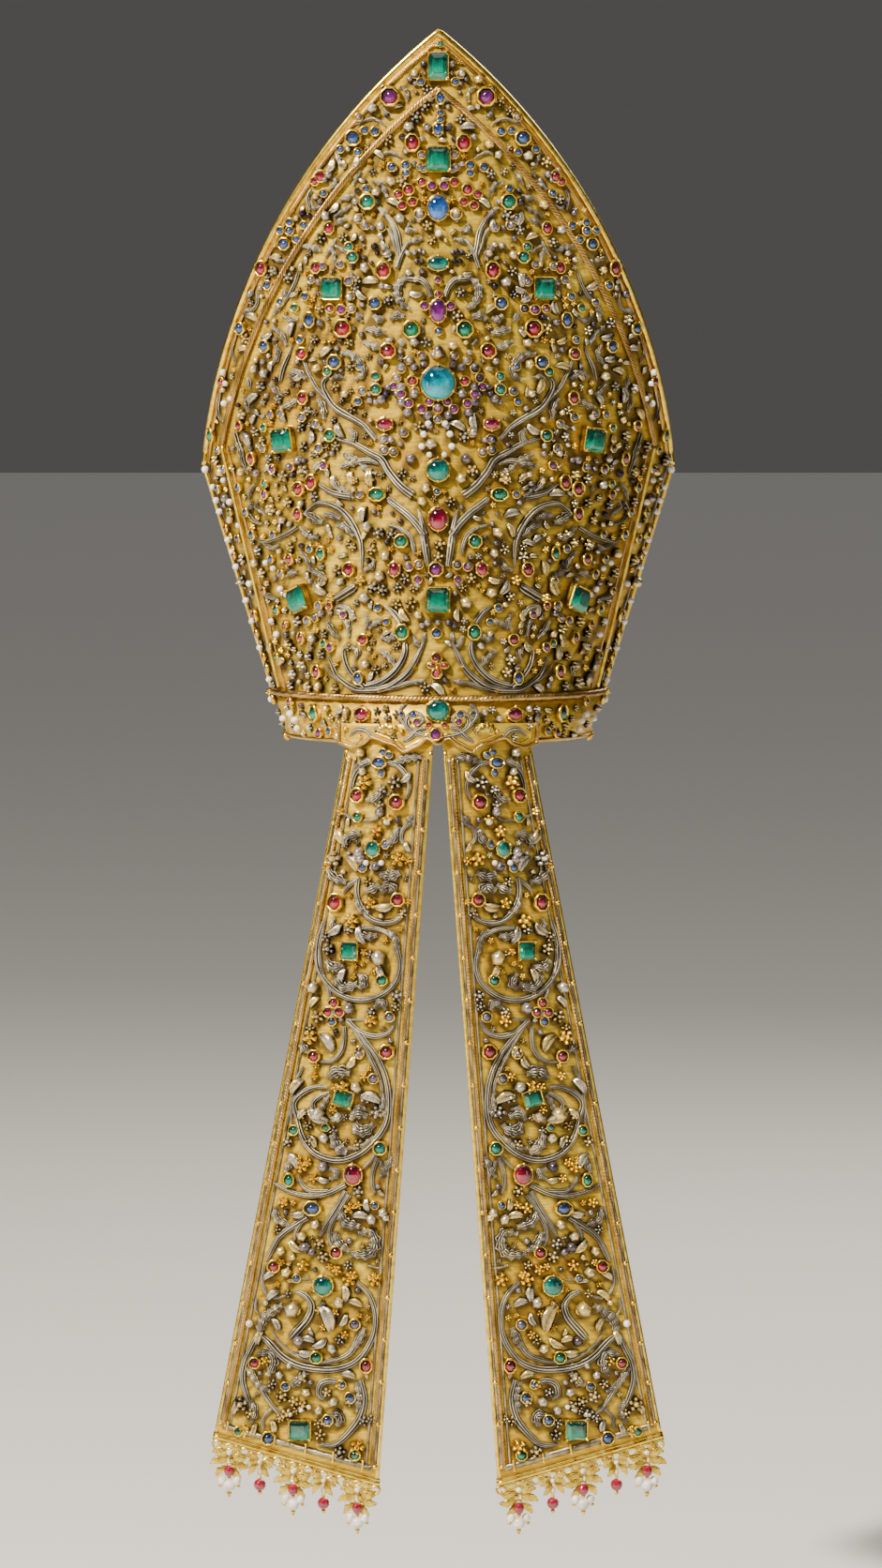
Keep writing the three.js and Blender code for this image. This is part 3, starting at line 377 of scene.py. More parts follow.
def ring_frame(quarter, z):
    """Points of both walls' outer faces round the head, and the outward directions there."""
    quarter, z = np.broadcast_arrays(np.asarray(quarter, float), np.asarray(z, float))

    def at(q):
        q = q % 4
        back = q < 2
        point = wall_point(np.where(back, q - 1, 3 - q), z)
        point[..., 1] = np.where(back, point[..., 1], -point[..., 1])
        return point
    ahead = at(quarter + 1e-3) - at(quarter - 1e-3)
    out = np.stack([ahead[..., 1], -ahead[..., 0], np.zeros_like(z)], -1)
    return at(quarter), out / np.linalg.norm(out, axis=-1, keepdims=True)


def tube_faces(rings, sides, closed):
    faces = []
    for r in range(rings if closed else rings - 1):
        here, after = r * sides, (r + 1) % rings * sides
        faces += [(here + k, here + (k + 1) % sides, after + (k + 1) % sides, after + k)
                  for k in range(sides)]
    if not closed:
        faces += [tuple(range(sides - 1, -1, -1)), tuple((rings - 1) * sides + k for k in range(sides))]
    return faces


def ring_sweep(name, section, materials, slot, replaces=()):
    """A section of heights and lifts carried round the head."""
    quarters = np.arange(ring_steps) * 4 / ring_steps
    z, lift = np.array(section).T
    base, out = ring_frame(quarters[:, None], z[None, :])
    points = (base + out * lift[None, :, None]).reshape(-1, 3)
    return new_piece(name, points, tube_faces(ring_steps, len(section), True), materials, slot=slot,
                     replaces=replaces)


band_face = band_lift + band_thickness
rim_band = ring_sweep("rim_band_cloth", [
    (0.0, band_lift + band_turn), (band_turn, band_lift), (band_height, band_lift),
    (band_height, band_face), (band_height * 0.5, band_face), (band_turn * 2, band_face),
    (0.0, band_face - band_turn)], [cloth_of_gold], "cloth_of_gold", ["rim_band"])

# Twisted cords: gilt wire laid up in strands, couched along the border of each horn and round the rim. The
# bright rods are the same wire drawn smooth.
strand_sides = 4


def new_tree(name, inputs):
    """A geometry tree with named inputs, and its input node's sockets by name."""
    tree = bpy.data.node_groups.new(name, "GeometryNodeTree")
    tree.interface.new_socket("Geometry", in_out="INPUT", socket_type="NodeSocketGeometry")
    for key, kind in inputs.items():
        tree.interface.new_socket(key, in_out="INPUT", socket_type="NodeSocket" + kind)
    tree.interface.new_socket("Geometry", in_out="OUTPUT", socket_type="NodeSocketGeometry")
    return tree, add_node(tree, "NodeGroupInput").outputs


def end_tree(tree, geometry, material):
    whole = add_node(tree, "GeometryNodeRealizeInstances", {}, {0: geometry})
    finish = add_node(tree, "GeometryNodeSetMaterial", {}, {0: whole.outputs[0], "Material": material})
    smooth = add_node(tree, "GeometryNodeSetShadeSmooth", {}, {0: finish.outputs[0]})
    add_node(tree, "NodeGroupOutput", {}, {0: smooth.outputs[0]})


def grow(name, tree, points, edges, attributes, values, slot=None, replaces=()):
    """Runs a geometry tree over points in millimetres and keeps its result as a plain mesh."""
    mesh = bpy.data.meshes.new(name)
    mesh.from_pydata((np.asarray(points) * mm).tolist(), edges, [])
    for key, data in attributes.items():
        data = np.asarray(data, np.float32)
        kind = "FLOAT_VECTOR" if data.ndim == 2 else "FLOAT"
        mesh.attributes.new(key, kind, "POINT").data.foreach_set("vector" if data.ndim == 2 else "value",
                                                                data.ravel())
    piece = bpy.data.objects.new(name, mesh)
    bpy.context.collection.objects.link(piece)
    modifier = piece.modifiers.new(tree.name, "NODES")
    modifier.node_group = tree
    sockets = {item.name: item.identifier for item in tree.interface.items_tree if item.in_out == "INPUT"}
    for key, value in values.items():
        modifier[sockets[key]] = value
    grown = bpy.data.meshes.new_from_object(piece.evaluated_get(bpy.context.evaluated_depsgraph_get()))
    grown.name = name
    piece.modifiers.clear()
    piece.data = grown
    declare(piece, slot, replaces)
    return piece


def strand_frame(tree):
    """Sockets for the outward and sideways directions along a path."""
    outward = add_node(tree, "GeometryNodeInputNamedAttribute", {"data_type": "FLOAT_VECTOR"}, {0: "out"})
    tangent = add_node(tree, "GeometryNodeInputTangent")
    sideways = add_node(tree, "ShaderNodeVectorMath", {"operation": "CROSS_PRODUCT"},
                        {0: tangent.outputs[0], 1: outward.outputs[0]})
    return outward.outputs[0], sideways.outputs[0]


def offset_along(tree, parts):
    """A vector that is the sum of directions, each times its amount."""
    total = None
    for direction, amount in parts:
        part = add_node(tree, "ShaderNodeVectorMath", {"operation": "SCALE"}, {0: direction, "Scale": amount})
        if total is None:
            total = part.outputs[0]
        else:
            total = add_node(tree, "ShaderNodeVectorMath", {"operation": "ADD"},
                             {0: total, 1: part.outputs[0]}).outputs[0]
    return total


def maths(tree, operation, first, second=0.0, third=0.0):
    return add_node(tree, "ShaderNodeMath", {"operation": operation},
                    {0: first, 1: second, 2: third}).outputs[0]


twist_tree, given = new_tree("twisted_strands", {
    "Strands": "Int", "Half Width": "Float", "Half Height": "Float", "Strand Radius": "Float",
    "Pitch": "Float", "Material": "Material"})
path = add_node(twist_tree, "GeometryNodeMeshToCurve", {}, {0: given["Geometry"]})
length = add_node(twist_tree, "GeometryNodeSplineParameter").outputs["Length"]
kept_length = add_node(twist_tree, "GeometryNodeStoreNamedAttribute", {"data_type": "FLOAT"},
                       {0: path.outputs[0], "Name": "along", "Value": length})
strands = add_node(twist_tree, "GeometryNodeDuplicateElements", {"domain": "SPLINE"},
                   {0: kept_length.outputs[0], "Amount": given["Strands"]})
share = maths(twist_tree, "DIVIDE", strands.outputs["Duplicate Index"], given["Strands"])
turns = maths(twist_tree, "ADD", share, maths(twist_tree, "DIVIDE", length, given["Pitch"]))
angle = maths(twist_tree, "MULTIPLY", turns, 2 * math.pi)
outward, sideways = strand_frame(twist_tree)
helix = offset_along(twist_tree, [
    (sideways, maths(twist_tree, "MULTIPLY", maths(twist_tree, "COSINE", angle), given["Half Width"])),
    (outward, maths(twist_tree, "MULTIPLY", maths(twist_tree, "SINE", angle), given["Half Height"]))])
laid = add_node(twist_tree, "GeometryNodeSetPosition", {}, {0: strands.outputs[0], "Offset": helix})
wire = add_node(twist_tree, "GeometryNodeCurvePrimitiveCircle", {},
                {"Resolution": strand_sides, "Radius": given["Strand Radius"]})
strand = add_node(twist_tree, "GeometryNodeCurveToMesh", {},
                  {0: laid.outputs[0], 1: wire.outputs[0], "Fill Caps": True})
end_tree(twist_tree, strand.outputs[0], given["Material"])

gilt_wire, tree, shader = new_material("laid_gilt_wire")
place = add_node(tree, "ShaderNodeTexCoord").outputs["Object"]
worn = add_node(tree, "ShaderNodeTexNoise", {}, {"Vector": place, "Scale": 55.0, "Detail": 3.0})
tone = add_node(tree, "ShaderNodeValToRGB", {}, {"Fac": worn.outputs["Fac"]})
tone.color_ramp.elements[0].position, tone.color_ramp.elements[0].color = 0.32, srgb("#8d6b35")
tone.color_ramp.elements[1].position, tone.color_ramp.elements[1].color = 0.62, srgb("#dcb469")
tree.links.new(tone.outputs["Color"], shader.inputs["Base Color"])
shader.inputs["Metallic"].default_value = 1.0
shader.inputs["Roughness"].default_value = 0.34

bright_gold, tree, shader = new_material("burnished_gold")
place = add_node(tree, "ShaderNodeTexCoord").outputs["Object"]
dents = add_node(tree, "ShaderNodeTexNoise", {}, {"Vector": place, "Scale": 260.0, "Detail": 3.0})
bump = add_node(tree, "ShaderNodeBump", {}, {"Height": dents.outputs["Fac"], "Strength": 0.25,
                                            "Distance": 0.2 * mm})
tree.links.new(bump.outputs[0], shader.inputs["Normal"])
tone = add_node(tree, "ShaderNodeValToRGB", {}, {"Fac": dents.outputs["Fac"]})
tone.color_ramp.elements[0].position, tone.color_ramp.elements[0].color = 0.3, srgb("#cf9f2a")
tone.color_ramp.elements[1].position, tone.color_ramp.elements[1].color = 0.6, srgb("#f9da60")
tree.links.new(tone.outputs["Color"], shader.inputs["Base Color"])
shader.inputs["Metallic"].default_value = 1.0
shader.inputs["Roughness"].default_value = 0.26


def chain(count, closed=False):
    """Edges from each point to the next."""
    edges = [(i, i + 1) for i in range(count - 1)]
    return edges + [(count - 1, 0)] if closed else edges


def evenly(points, step, closed=False):
    """The same path with points a step apart."""
    points = np.asarray(points, float)
    if closed:
        points = np.concatenate([points, points[:1]])
    lengths = np.concatenate([[0], np.cumsum(np.linalg.norm(np.diff(points, axis=0), axis=1))])
    count = max(3, int(round(lengths[-1] / step)) + 1)
    wanted = np.linspace(0, lengths[-1], count)
    places = np.stack([np.interp(wanted, lengths, points[:, k]) for k in range(points.shape[1])], -1)
    return places[:-1] if closed else places


def wound_cord(name, points, out, width, height, strands, pitch, material, slot, replaces=(), closed=False):
    strand = min(width, height) / (2 + 1.2 * strands / 3)
    values = {"Strands": strands, "Half Width": (width / 2 - strand) * mm,
              "Half Height": (height / 2 - strand) * mm, "Strand Radius": strand * mm, "Pitch": pitch * mm,
              "Material": material}
    return grow(name, twist_tree, points, chain(len(points), closed), {"out": out}, values, slot, replaces)


top_cord_diameter = 4.6
top_cord_height = band_height + gap + top_cord_diameter / 2
seat_lift = 0.6
cord_points = 680
ring_quarters = np.linspace(0, 4, cord_points, endpoint=False)
ring_base, ring_out = ring_frame(ring_quarters, np.full(cord_points, top_cord_height))
ring_way = ring_base + ring_out * (seat_lift + top_cord_diameter / 2)
wound_cord("rim_top_cord_strands", ring_way, ring_out, top_cord_diameter, top_cord_diameter, 3, 7.0,
           gilt_wire, "gold_cord", ["rim_top_cord"], closed=True)
foot_cord_diameter = 1.8
ring_base, ring_out = ring_frame(ring_quarters, np.full(cord_points, foot_cord_diameter * 0.9))
wound_cord("rim_foot_cord_strands", ring_base + ring_out * (band_face + foot_cord_diameter * 0.35), ring_out,
           foot_cord_diameter, foot_cord_diameter, 2, 3.4, gilt_wire, "gold_cord", closed=True)

# Edge mouldings: a smooth gold tube over the raw edge of each horn with a beaded wire laid beside it.
roll_inset = edge_roll_diameter / 2
roll_foot = cleft_height - 12
roll_tip = height_where(lambda z: edge_half_width(z, roll_inset), 0)


def arch_way(half_width, foot, tip, step):
    """Places up one side of an arch, over its tip and down the other side, as x and z."""
    z = foot + (tip - foot) * np.sin(np.linspace(0, math.pi / 2, 400))
    x = half_width(z)
    x[-1] = 0
    half = evenly(np.stack([x, z], -1), step)
    return np.concatenate([half, (half * [-1, 1])[::-1][1:]])


def tube_along(name, points, out, width, height, sides, materials, slot, replaces=(), raised=0.0):
    """A plain tube along a path that keeps its flat side on the ground."""
    ahead = np.gradient(points, axis=0)
    side = np.cross(ahead, out)
    side /= np.linalg.norm(side, axis=1, keepdims=True)
    angles = (np.arange(sides) + 0.5) * 2 * math.pi / sides
    rings = (points[:, None] + side[:, None] * (np.cos(angles) * width / 2)[None, :, None]
             + out[:, None] * (np.sin(angles) * height / 2 + raised)[None, :, None])
    return new_piece(name, rings.reshape(-1, 3), [f[::-1] for f in tube_faces(len(points), sides, False)],
                     materials, slot=slot, replaces=replaces)


roll_way = arch_way(lambda z: edge_half_width(z, roll_inset), roll_foot, roll_tip, 2.0)
roll_points, roll_out = lifted(crown_ground, roll_way[:, 0], roll_way[:, 1], -panel_thickness / 2)
roll_points[:, 1] = np.minimum(roll_points[:, 1], -gap / 2 - roll_inset * 0.2)
back_roll = tube_along("back_edge_roll", roll_points, roll_out, edge_roll_diameter, edge_roll_diameter, 12,
                       [bright_gold], "gold_metal", ["back_edge_moulding"])
back_roll_co = np.empty(len(back_roll.data.vertices) * 3, np.float32)
back_roll.data.vertices.foreach_get("co", back_roll_co)
back_roll_co[1::3] = np.minimum(back_roll_co[1::3], -gap / 2 * mm)
back_roll.data.vertices.foreach_set("co", back_roll_co)
front_copy(back_roll, "front_edge_roll", ["front_edge_moulding"])
roll_cord_way = arch_way(lambda z: edge_half_width(z, panel_inset + 1.6), roll_foot + 1, panel_tip - 4, 1.1)
points, out = lifted(crown_ground, roll_cord_way[:, 0], roll_cord_way[:, 1], 1.0)
back_roll_cord = wound_cord("back_roll_cord", points, out, 2.6, 2.0, 3, 5.0, gilt_wire, "gold_cord")
front_copy(back_roll_cord, "front_roll_cord")

# Border cord: a ropework band inside the edge, grey with age, between the horn's edge and its ground. Below
# the cleft it goes on as a smooth bright rod.
border_turn = 0.85
border_apex = crown_height - 36.5
border_radius = 350.0
border_width = 4.0
border_height = 2.6
border_foot = float(wall_point(border_turn, cleft_height)[0])
border_start = top_cord_height + top_cord_diameter / 2 + gap + border_width / 4


def border_half_width(z):
    return arch_half_width(border_foot, cleft_height, border_apex, border_radius, 0.0, z)


border_way = arch_way(border_half_width, cleft_height, border_apex, 1.2)
border_points, border_out = lifted(crown_ground, border_way[:, 0], border_way[:, 1],
                                   seat_lift + border_height / 2)
back_border = wound_cord("back_border_rope", border_points, border_out, border_width, border_height, 4, 9.0,
                         gilt_wire, "gold_cord", ["back_border_cord"])
front_copy(back_border, "front_border_rope", ["front_border_cord"])
rod_cord_inset = border_width * 0.75
rod_cord_rise = 0.8
rod_cord_step = 0.8
rod_cord_width = 1.8
rod_cord_pitch = 3.6
for side, word in ((-1, "left"), (1, "right")):
    z = np.linspace(border_start, cleft_height, 60)
    x = wall_point(border_turn, z)[:, 0] * side
    points, out = lifted(crown_ground, x, z, seat_lift + border_height / 2)
    rod = tube_along("back_border_rod_" + word, points, out, border_width * 0.8, border_height, 10,
                     [bright_gold], "gold_metal")
    front_copy(rod, "front_border_rod_" + word)
    points, out = lifted(crown_ground, x - side * rod_cord_inset, z, seat_lift + rod_cord_rise)
    rod_way = evenly(points, rod_cord_step)
    cord = wound_cord("back_rod_cord_" + word, rod_way, np.repeat(out[:1], len(rod_way), 0),
                      rod_cord_width, rod_cord_width, 2, rod_cord_pitch, gilt_wire, "gold_cord")
    front_copy(cord, "front_rod_cord_" + word)

# Side seam rods: one gold rod stands on each side seam and hides the stitching, its ends rounded.
seam_rod_diameter = 3.4
above_top_cord = top_cord_height + top_cord_diameter / 2 + gap
for side, word in ((-1, "left"), (1, "right")):
    z = np.linspace(above_top_cord, roll_foot - gap, 60)
    edge = rim_half_width + (cleft_half_width - rim_half_width) * z / cleft_height
    points = np.stack([side * (edge + seat_lift + seam_rod_diameter / 2), np.zeros(60), z], -1)
    out = np.repeat([[float(side), 0, 0]], 60, 0)
    tube_along("side_seam_rod_gold_" + word, points, out, seam_rod_diameter, seam_rod_diameter, 14,
               [bright_gold], "gold_metal", ["side_seam_rod_" + word])

# Scrollwork: stems of silver-gilt thread couched side by side over a padded core, so that each one is a low
# ridge with lengthwise threads. They rise from a root at the rim, branch, and curl round the stones.
thread_sides = 4
stem_step = 2.4

couching_tree, given = new_tree("couched_threads", {
    "Threads": "Int", "Half Width": "Float", "Rise": "Float", "Thread Radius": "Float",
    "Material": "Material"})
path = add_node(couching_tree, "GeometryNodeMeshToCurve", {}, {0: given["Geometry"]})
length = add_node(couching_tree, "GeometryNodeSplineParameter").outputs["Length"]
kept_length = add_node(couching_tree, "GeometryNodeStoreNamedAttribute", {"data_type": "FLOAT"},
                       {0: path.outputs[0], "Name": "along", "Value": length})
threads = add_node(couching_tree, "GeometryNodeDuplicateElements", {"domain": "SPLINE"},
                   {0: kept_length.outputs[0], "Amount": given["Threads"]})
last = maths(couching_tree, "SUBTRACT", given["Threads"], 1.0)
share = maths(couching_tree, "DIVIDE", threads.outputs["Duplicate Index"], last)
beside = maths(couching_tree, "MULTIPLY_ADD", share, 2.0, -1.0)
outward, sideways = strand_frame(couching_tree)
width = add_node(couching_tree, "GeometryNodeInputNamedAttribute", {"data_type": "FLOAT"}, {0: "width"})
reach = maths(couching_tree, "MULTIPLY", maths(couching_tree, "MULTIPLY", beside, given["Half Width"]),
              width.outputs[0])
crown = maths(couching_tree, "SUBTRACT", 1.0, maths(couching_tree, "MULTIPLY", beside, beside))
height = maths(couching_tree, "MULTIPLY", maths(couching_tree, "MULTIPLY", crown, given["Rise"]),
               width.outputs[0])
fan = offset_along(couching_tree, [(sideways, reach), (outward, height)])
laid = add_node(couching_tree, "GeometryNodeSetPosition", {}, {0: threads.outputs[0], "Offset": fan})
round_thread = add_node(couching_tree, "GeometryNodeCurvePrimitiveCircle", {},
                        {"Resolution": thread_sides, "Radius": given["Thread Radius"]})
centre_line = add_node(couching_tree, "GeometryNodeInputPosition").outputs[0]
kept_line = add_node(couching_tree, "GeometryNodeStoreNamedAttribute", {"data_type": "FLOAT_VECTOR"},
                     {0: laid.outputs[0], "Name": "core", "Value": centre_line})
couched = add_node(couching_tree, "GeometryNodeCurveToMesh", {},
                   {0: kept_line.outputs[0], 1: round_thread.outputs[0], "Scale": width.outputs[0],
                    "Fill Caps": True})
core = add_node(couching_tree, "GeometryNodeInputNamedAttribute", {"data_type": "FLOAT_VECTOR"}, {0: "core"})
from_core = add_node(couching_tree, "ShaderNodeVectorMath", {"operation": "SUBTRACT"},
                     {0: centre_line, 1: core.outputs[0]})
over_core = add_node(couching_tree, "ShaderNodeVectorMath", {"operation": "DOT_PRODUCT"},
                     {0: from_core.outputs[0], 1: outward})
rise_here = maths(couching_tree, "DIVIDE", maths(couching_tree, "DIVIDE", over_core.outputs["Value"],
                                                 given["Thread Radius"]), width.outputs[0])
kept_rise = add_node(couching_tree, "GeometryNodeStoreNamedAttribute", {"data_type": "FLOAT"},
                     {0: couched.outputs[0], "Name": "rise", "Value": rise_here})
end_tree(couching_tree, kept_rise.outputs[0], given["Material"])

# Silver-gilt thread: silver wound on silk, its gilding rubbed to grey in patches, and painted near black as
# shade on the low sides of each thread.
# The winding is drawn coarser than it is, so that it shows.
winding = 0.9
silver_gilt, tree, shader = new_material("silver_gilt_thread")
place = add_node(tree, "ShaderNodeTexCoord").outputs["Object"]
along = add_node(tree, "ShaderNodeAttribute", {"attribute_name": "along"}).outputs["Fac"]
turn = add_node(tree, "ShaderNodeMath", {"operation": "MULTIPLY"},
                {0: along, 1: 2 * math.pi / (winding * mm)})
ridge = add_node(tree, "ShaderNodeMath", {"operation": "SINE"}, {0: turn.outputs[0]})
rubbed = add_node(tree, "ShaderNodeTexNoise", {}, {"Vector": place, "Scale": 90.0, "Detail": 4.0})
bump = add_node(tree, "ShaderNodeBump", {}, {"Height": ridge.outputs[0], "Strength": 0.4,
                                            "Distance": 0.12 * mm})
tree.links.new(bump.outputs[0], shader.inputs["Normal"])
tone = add_node(tree, "ShaderNodeValToRGB", {}, {"Fac": rubbed.outputs["Fac"]})
tone.color_ramp.elements[0].position, tone.color_ramp.elements[0].color = 0.36, srgb("#8d8270")
tone.color_ramp.elements[1].position, tone.color_ramp.elements[1].color = 0.7, srgb("#ecd7a0")
middle_tone = tone.color_ramp.elements.new(0.54)
middle_tone.color = srgb("#c2b79f")
rise = add_node(tree, "ShaderNodeAttribute", {"attribute_name": "rise"}).outputs["Fac"]
# painted shade: where a thread sinks towards its core it is painted near black
hollow = add_node(tree, "ShaderNodeMapRange", {}, {"Value": rise, "From Min": 0.95, "From Max": 0.2})
painted_dark_grooves = add_node(tree, "ShaderNodeMix", {"data_type": "RGBA"},
                {0: hollow.outputs[0], 6: tone.outputs["Color"], 7: srgb("#171109")})
tree.links.new(painted_dark_grooves.outputs[2], shader.inputs["Base Color"])
shader.inputs["Metallic"].default_value = 0.6
shader.inputs["Roughness"].default_value = 0.3

# Stems on one half of the back as the photograph shows them: widths in its pixels at the foot, the middle
# and the tip, and the places they pass through
crown_stems = [
   
    ((10, 8, 5), [(440, 528), (427, 518), (414, 502), (407, 490), (393, 482), (377, 473), (363, 469),
                  (356, 466)]),
    ((4.6, 8.1, 5.3), [(401, 469), (389, 455), (377, 447), (366, 441), (356, 434), (349, 424), (344, 413),
                       (345, 405), (351, 401)]),
    ((4.6, 4.6, 3.5), [(349, 426), (338, 415), (331, 403), (326, 392), (322, 380)]),
    ((4.2, 5.3, 2.8), [(298, 406), (301, 392), (307, 378), (310, 369)]),
    ((9, 8, 7), [(453, 570), (444, 558), (433, 547), (421, 538), (413, 531)]),
    ((7, 7, 5), [(374, 530), (358, 527), (349, 523), (339, 516)]),
    ((5, 8, 8), [(457, 604), (456, 598), (454, 585), (452, 570)]),
    ((8, 6, 3), [(452, 570), (449, 554), (446, 543)]),
    ((3.3, 5.9, 4.2), [(415, 560), (425, 563), (435, 570), (440, 580), (442, 591)]),
    ((4.6, 7.5, 3.6), [(326, 546), (337, 537), (347, 537), (360, 542), (371, 552), (379, 565), (384, 578),
                       (385, 591), (385, 607)]),
    ((4.9, 5.5, 4.2), [(316, 562), (303, 570), (290, 575), (279, 578), (272, 573)]),
    ((9.8, 10.1, 10.1), [(358, 638), (368, 632), (379, 625)]),
    ((7.2, 6.5, 4.2), [(401, 736), (381, 736), (368, 729), (358, 720), (352, 707), (349, 700)]),
    ((6.5, 6.2, 4.2), [(388, 733), (373, 718), (367, 705), (366, 693), (372, 687)]),
    ((7.2, 7.5, 6.5), [(391, 731), (407, 726), (420, 716), (429, 703), (432, 692), (431, 684)]),
    ((5.9, 7.2, 3.3), [(427, 664), (420, 654), (410, 646)]),
    ((7.8, 8.1, 4.9), [(401, 736), (417, 731), (432, 720), (440, 710), (446, 698), (452, 685)]),
    ((3.3, 5.9, 3.9), [(451, 726), (436, 728), (420, 733), (402, 736)]),
    ((5.5, 5.9, 3.3), [(358, 648), (366, 647), (375, 654), (378, 661)]),
    ((3.6, 3.9, 2.9), [(365, 659), (370, 669), (371, 680)]),
    ((4.2, 4.6, 3.3), [(268, 536), (264, 542), (265, 550), (271, 557), (279, 559)]),
    ((4.6, 7.0, 7.0), [(460, 316), (456, 305), (449, 298), (441, 297), (433, 296)]),
    ((4.8, 7.3, 3.8), [(423, 285), (427, 272), (425, 259), (423, 248), (418, 237), (410, 227), (402, 221)]),
    ((3.2, 4.8, 2.6), [(425, 272), (421, 261), (418, 251), (412, 243), (406, 240)]),
    ((5.7, 5.4, 3.8), [(423, 285), (429, 269), (435, 259), (439, 255)]),
    ((3.2, 3.8, 2.6), [(409, 164), (415, 162), (421, 164), (429, 169)]),
    ((4.1, 4.5, 3.2), [(332, 202), (328, 208), (328, 216), (330, 224)]),
    ((2.9, 3.2, 2.6), [(380, 133), (387, 129), (396, 126), (405, 129), (411, 134)]),
    ((3.2, 4.2, 3.2), [(273, 312), (274, 321), (269, 330), (258, 334)]),
    ((3.9, 4.2, 2.8), [(317, 291), (314, 301), (308, 313), (301, 324), (293, 333)]),
    ((3.5, 3.9, 3.2), [(244, 362), (246, 375), (251, 389)]),
    ((2.8, 4.6, 2.8), [(289, 350), (298, 355), (303, 362), (305, 368)]),
    ((4.2, 4.2, 2.1), [(293, 368), (296, 378), (289, 389)]),
    ((5.3, 4.6, 2.8), [(230, 420), (231, 434), (233, 445), (240, 452)]),
    ((7.0, 6.3, 4.2), [(382, 492), (393, 491), (403, 495)]),
    ((5.3, 5.3, 3.5), [(250, 462), (254, 476), (258, 491), (263, 506)]),
    ((3.3, 3.3, 2.3), [(345, 710), (353, 720), (363, 728)]),
    ((4.9, 5.9, 3.3), [(279, 627), (285, 637), (295, 639)])]

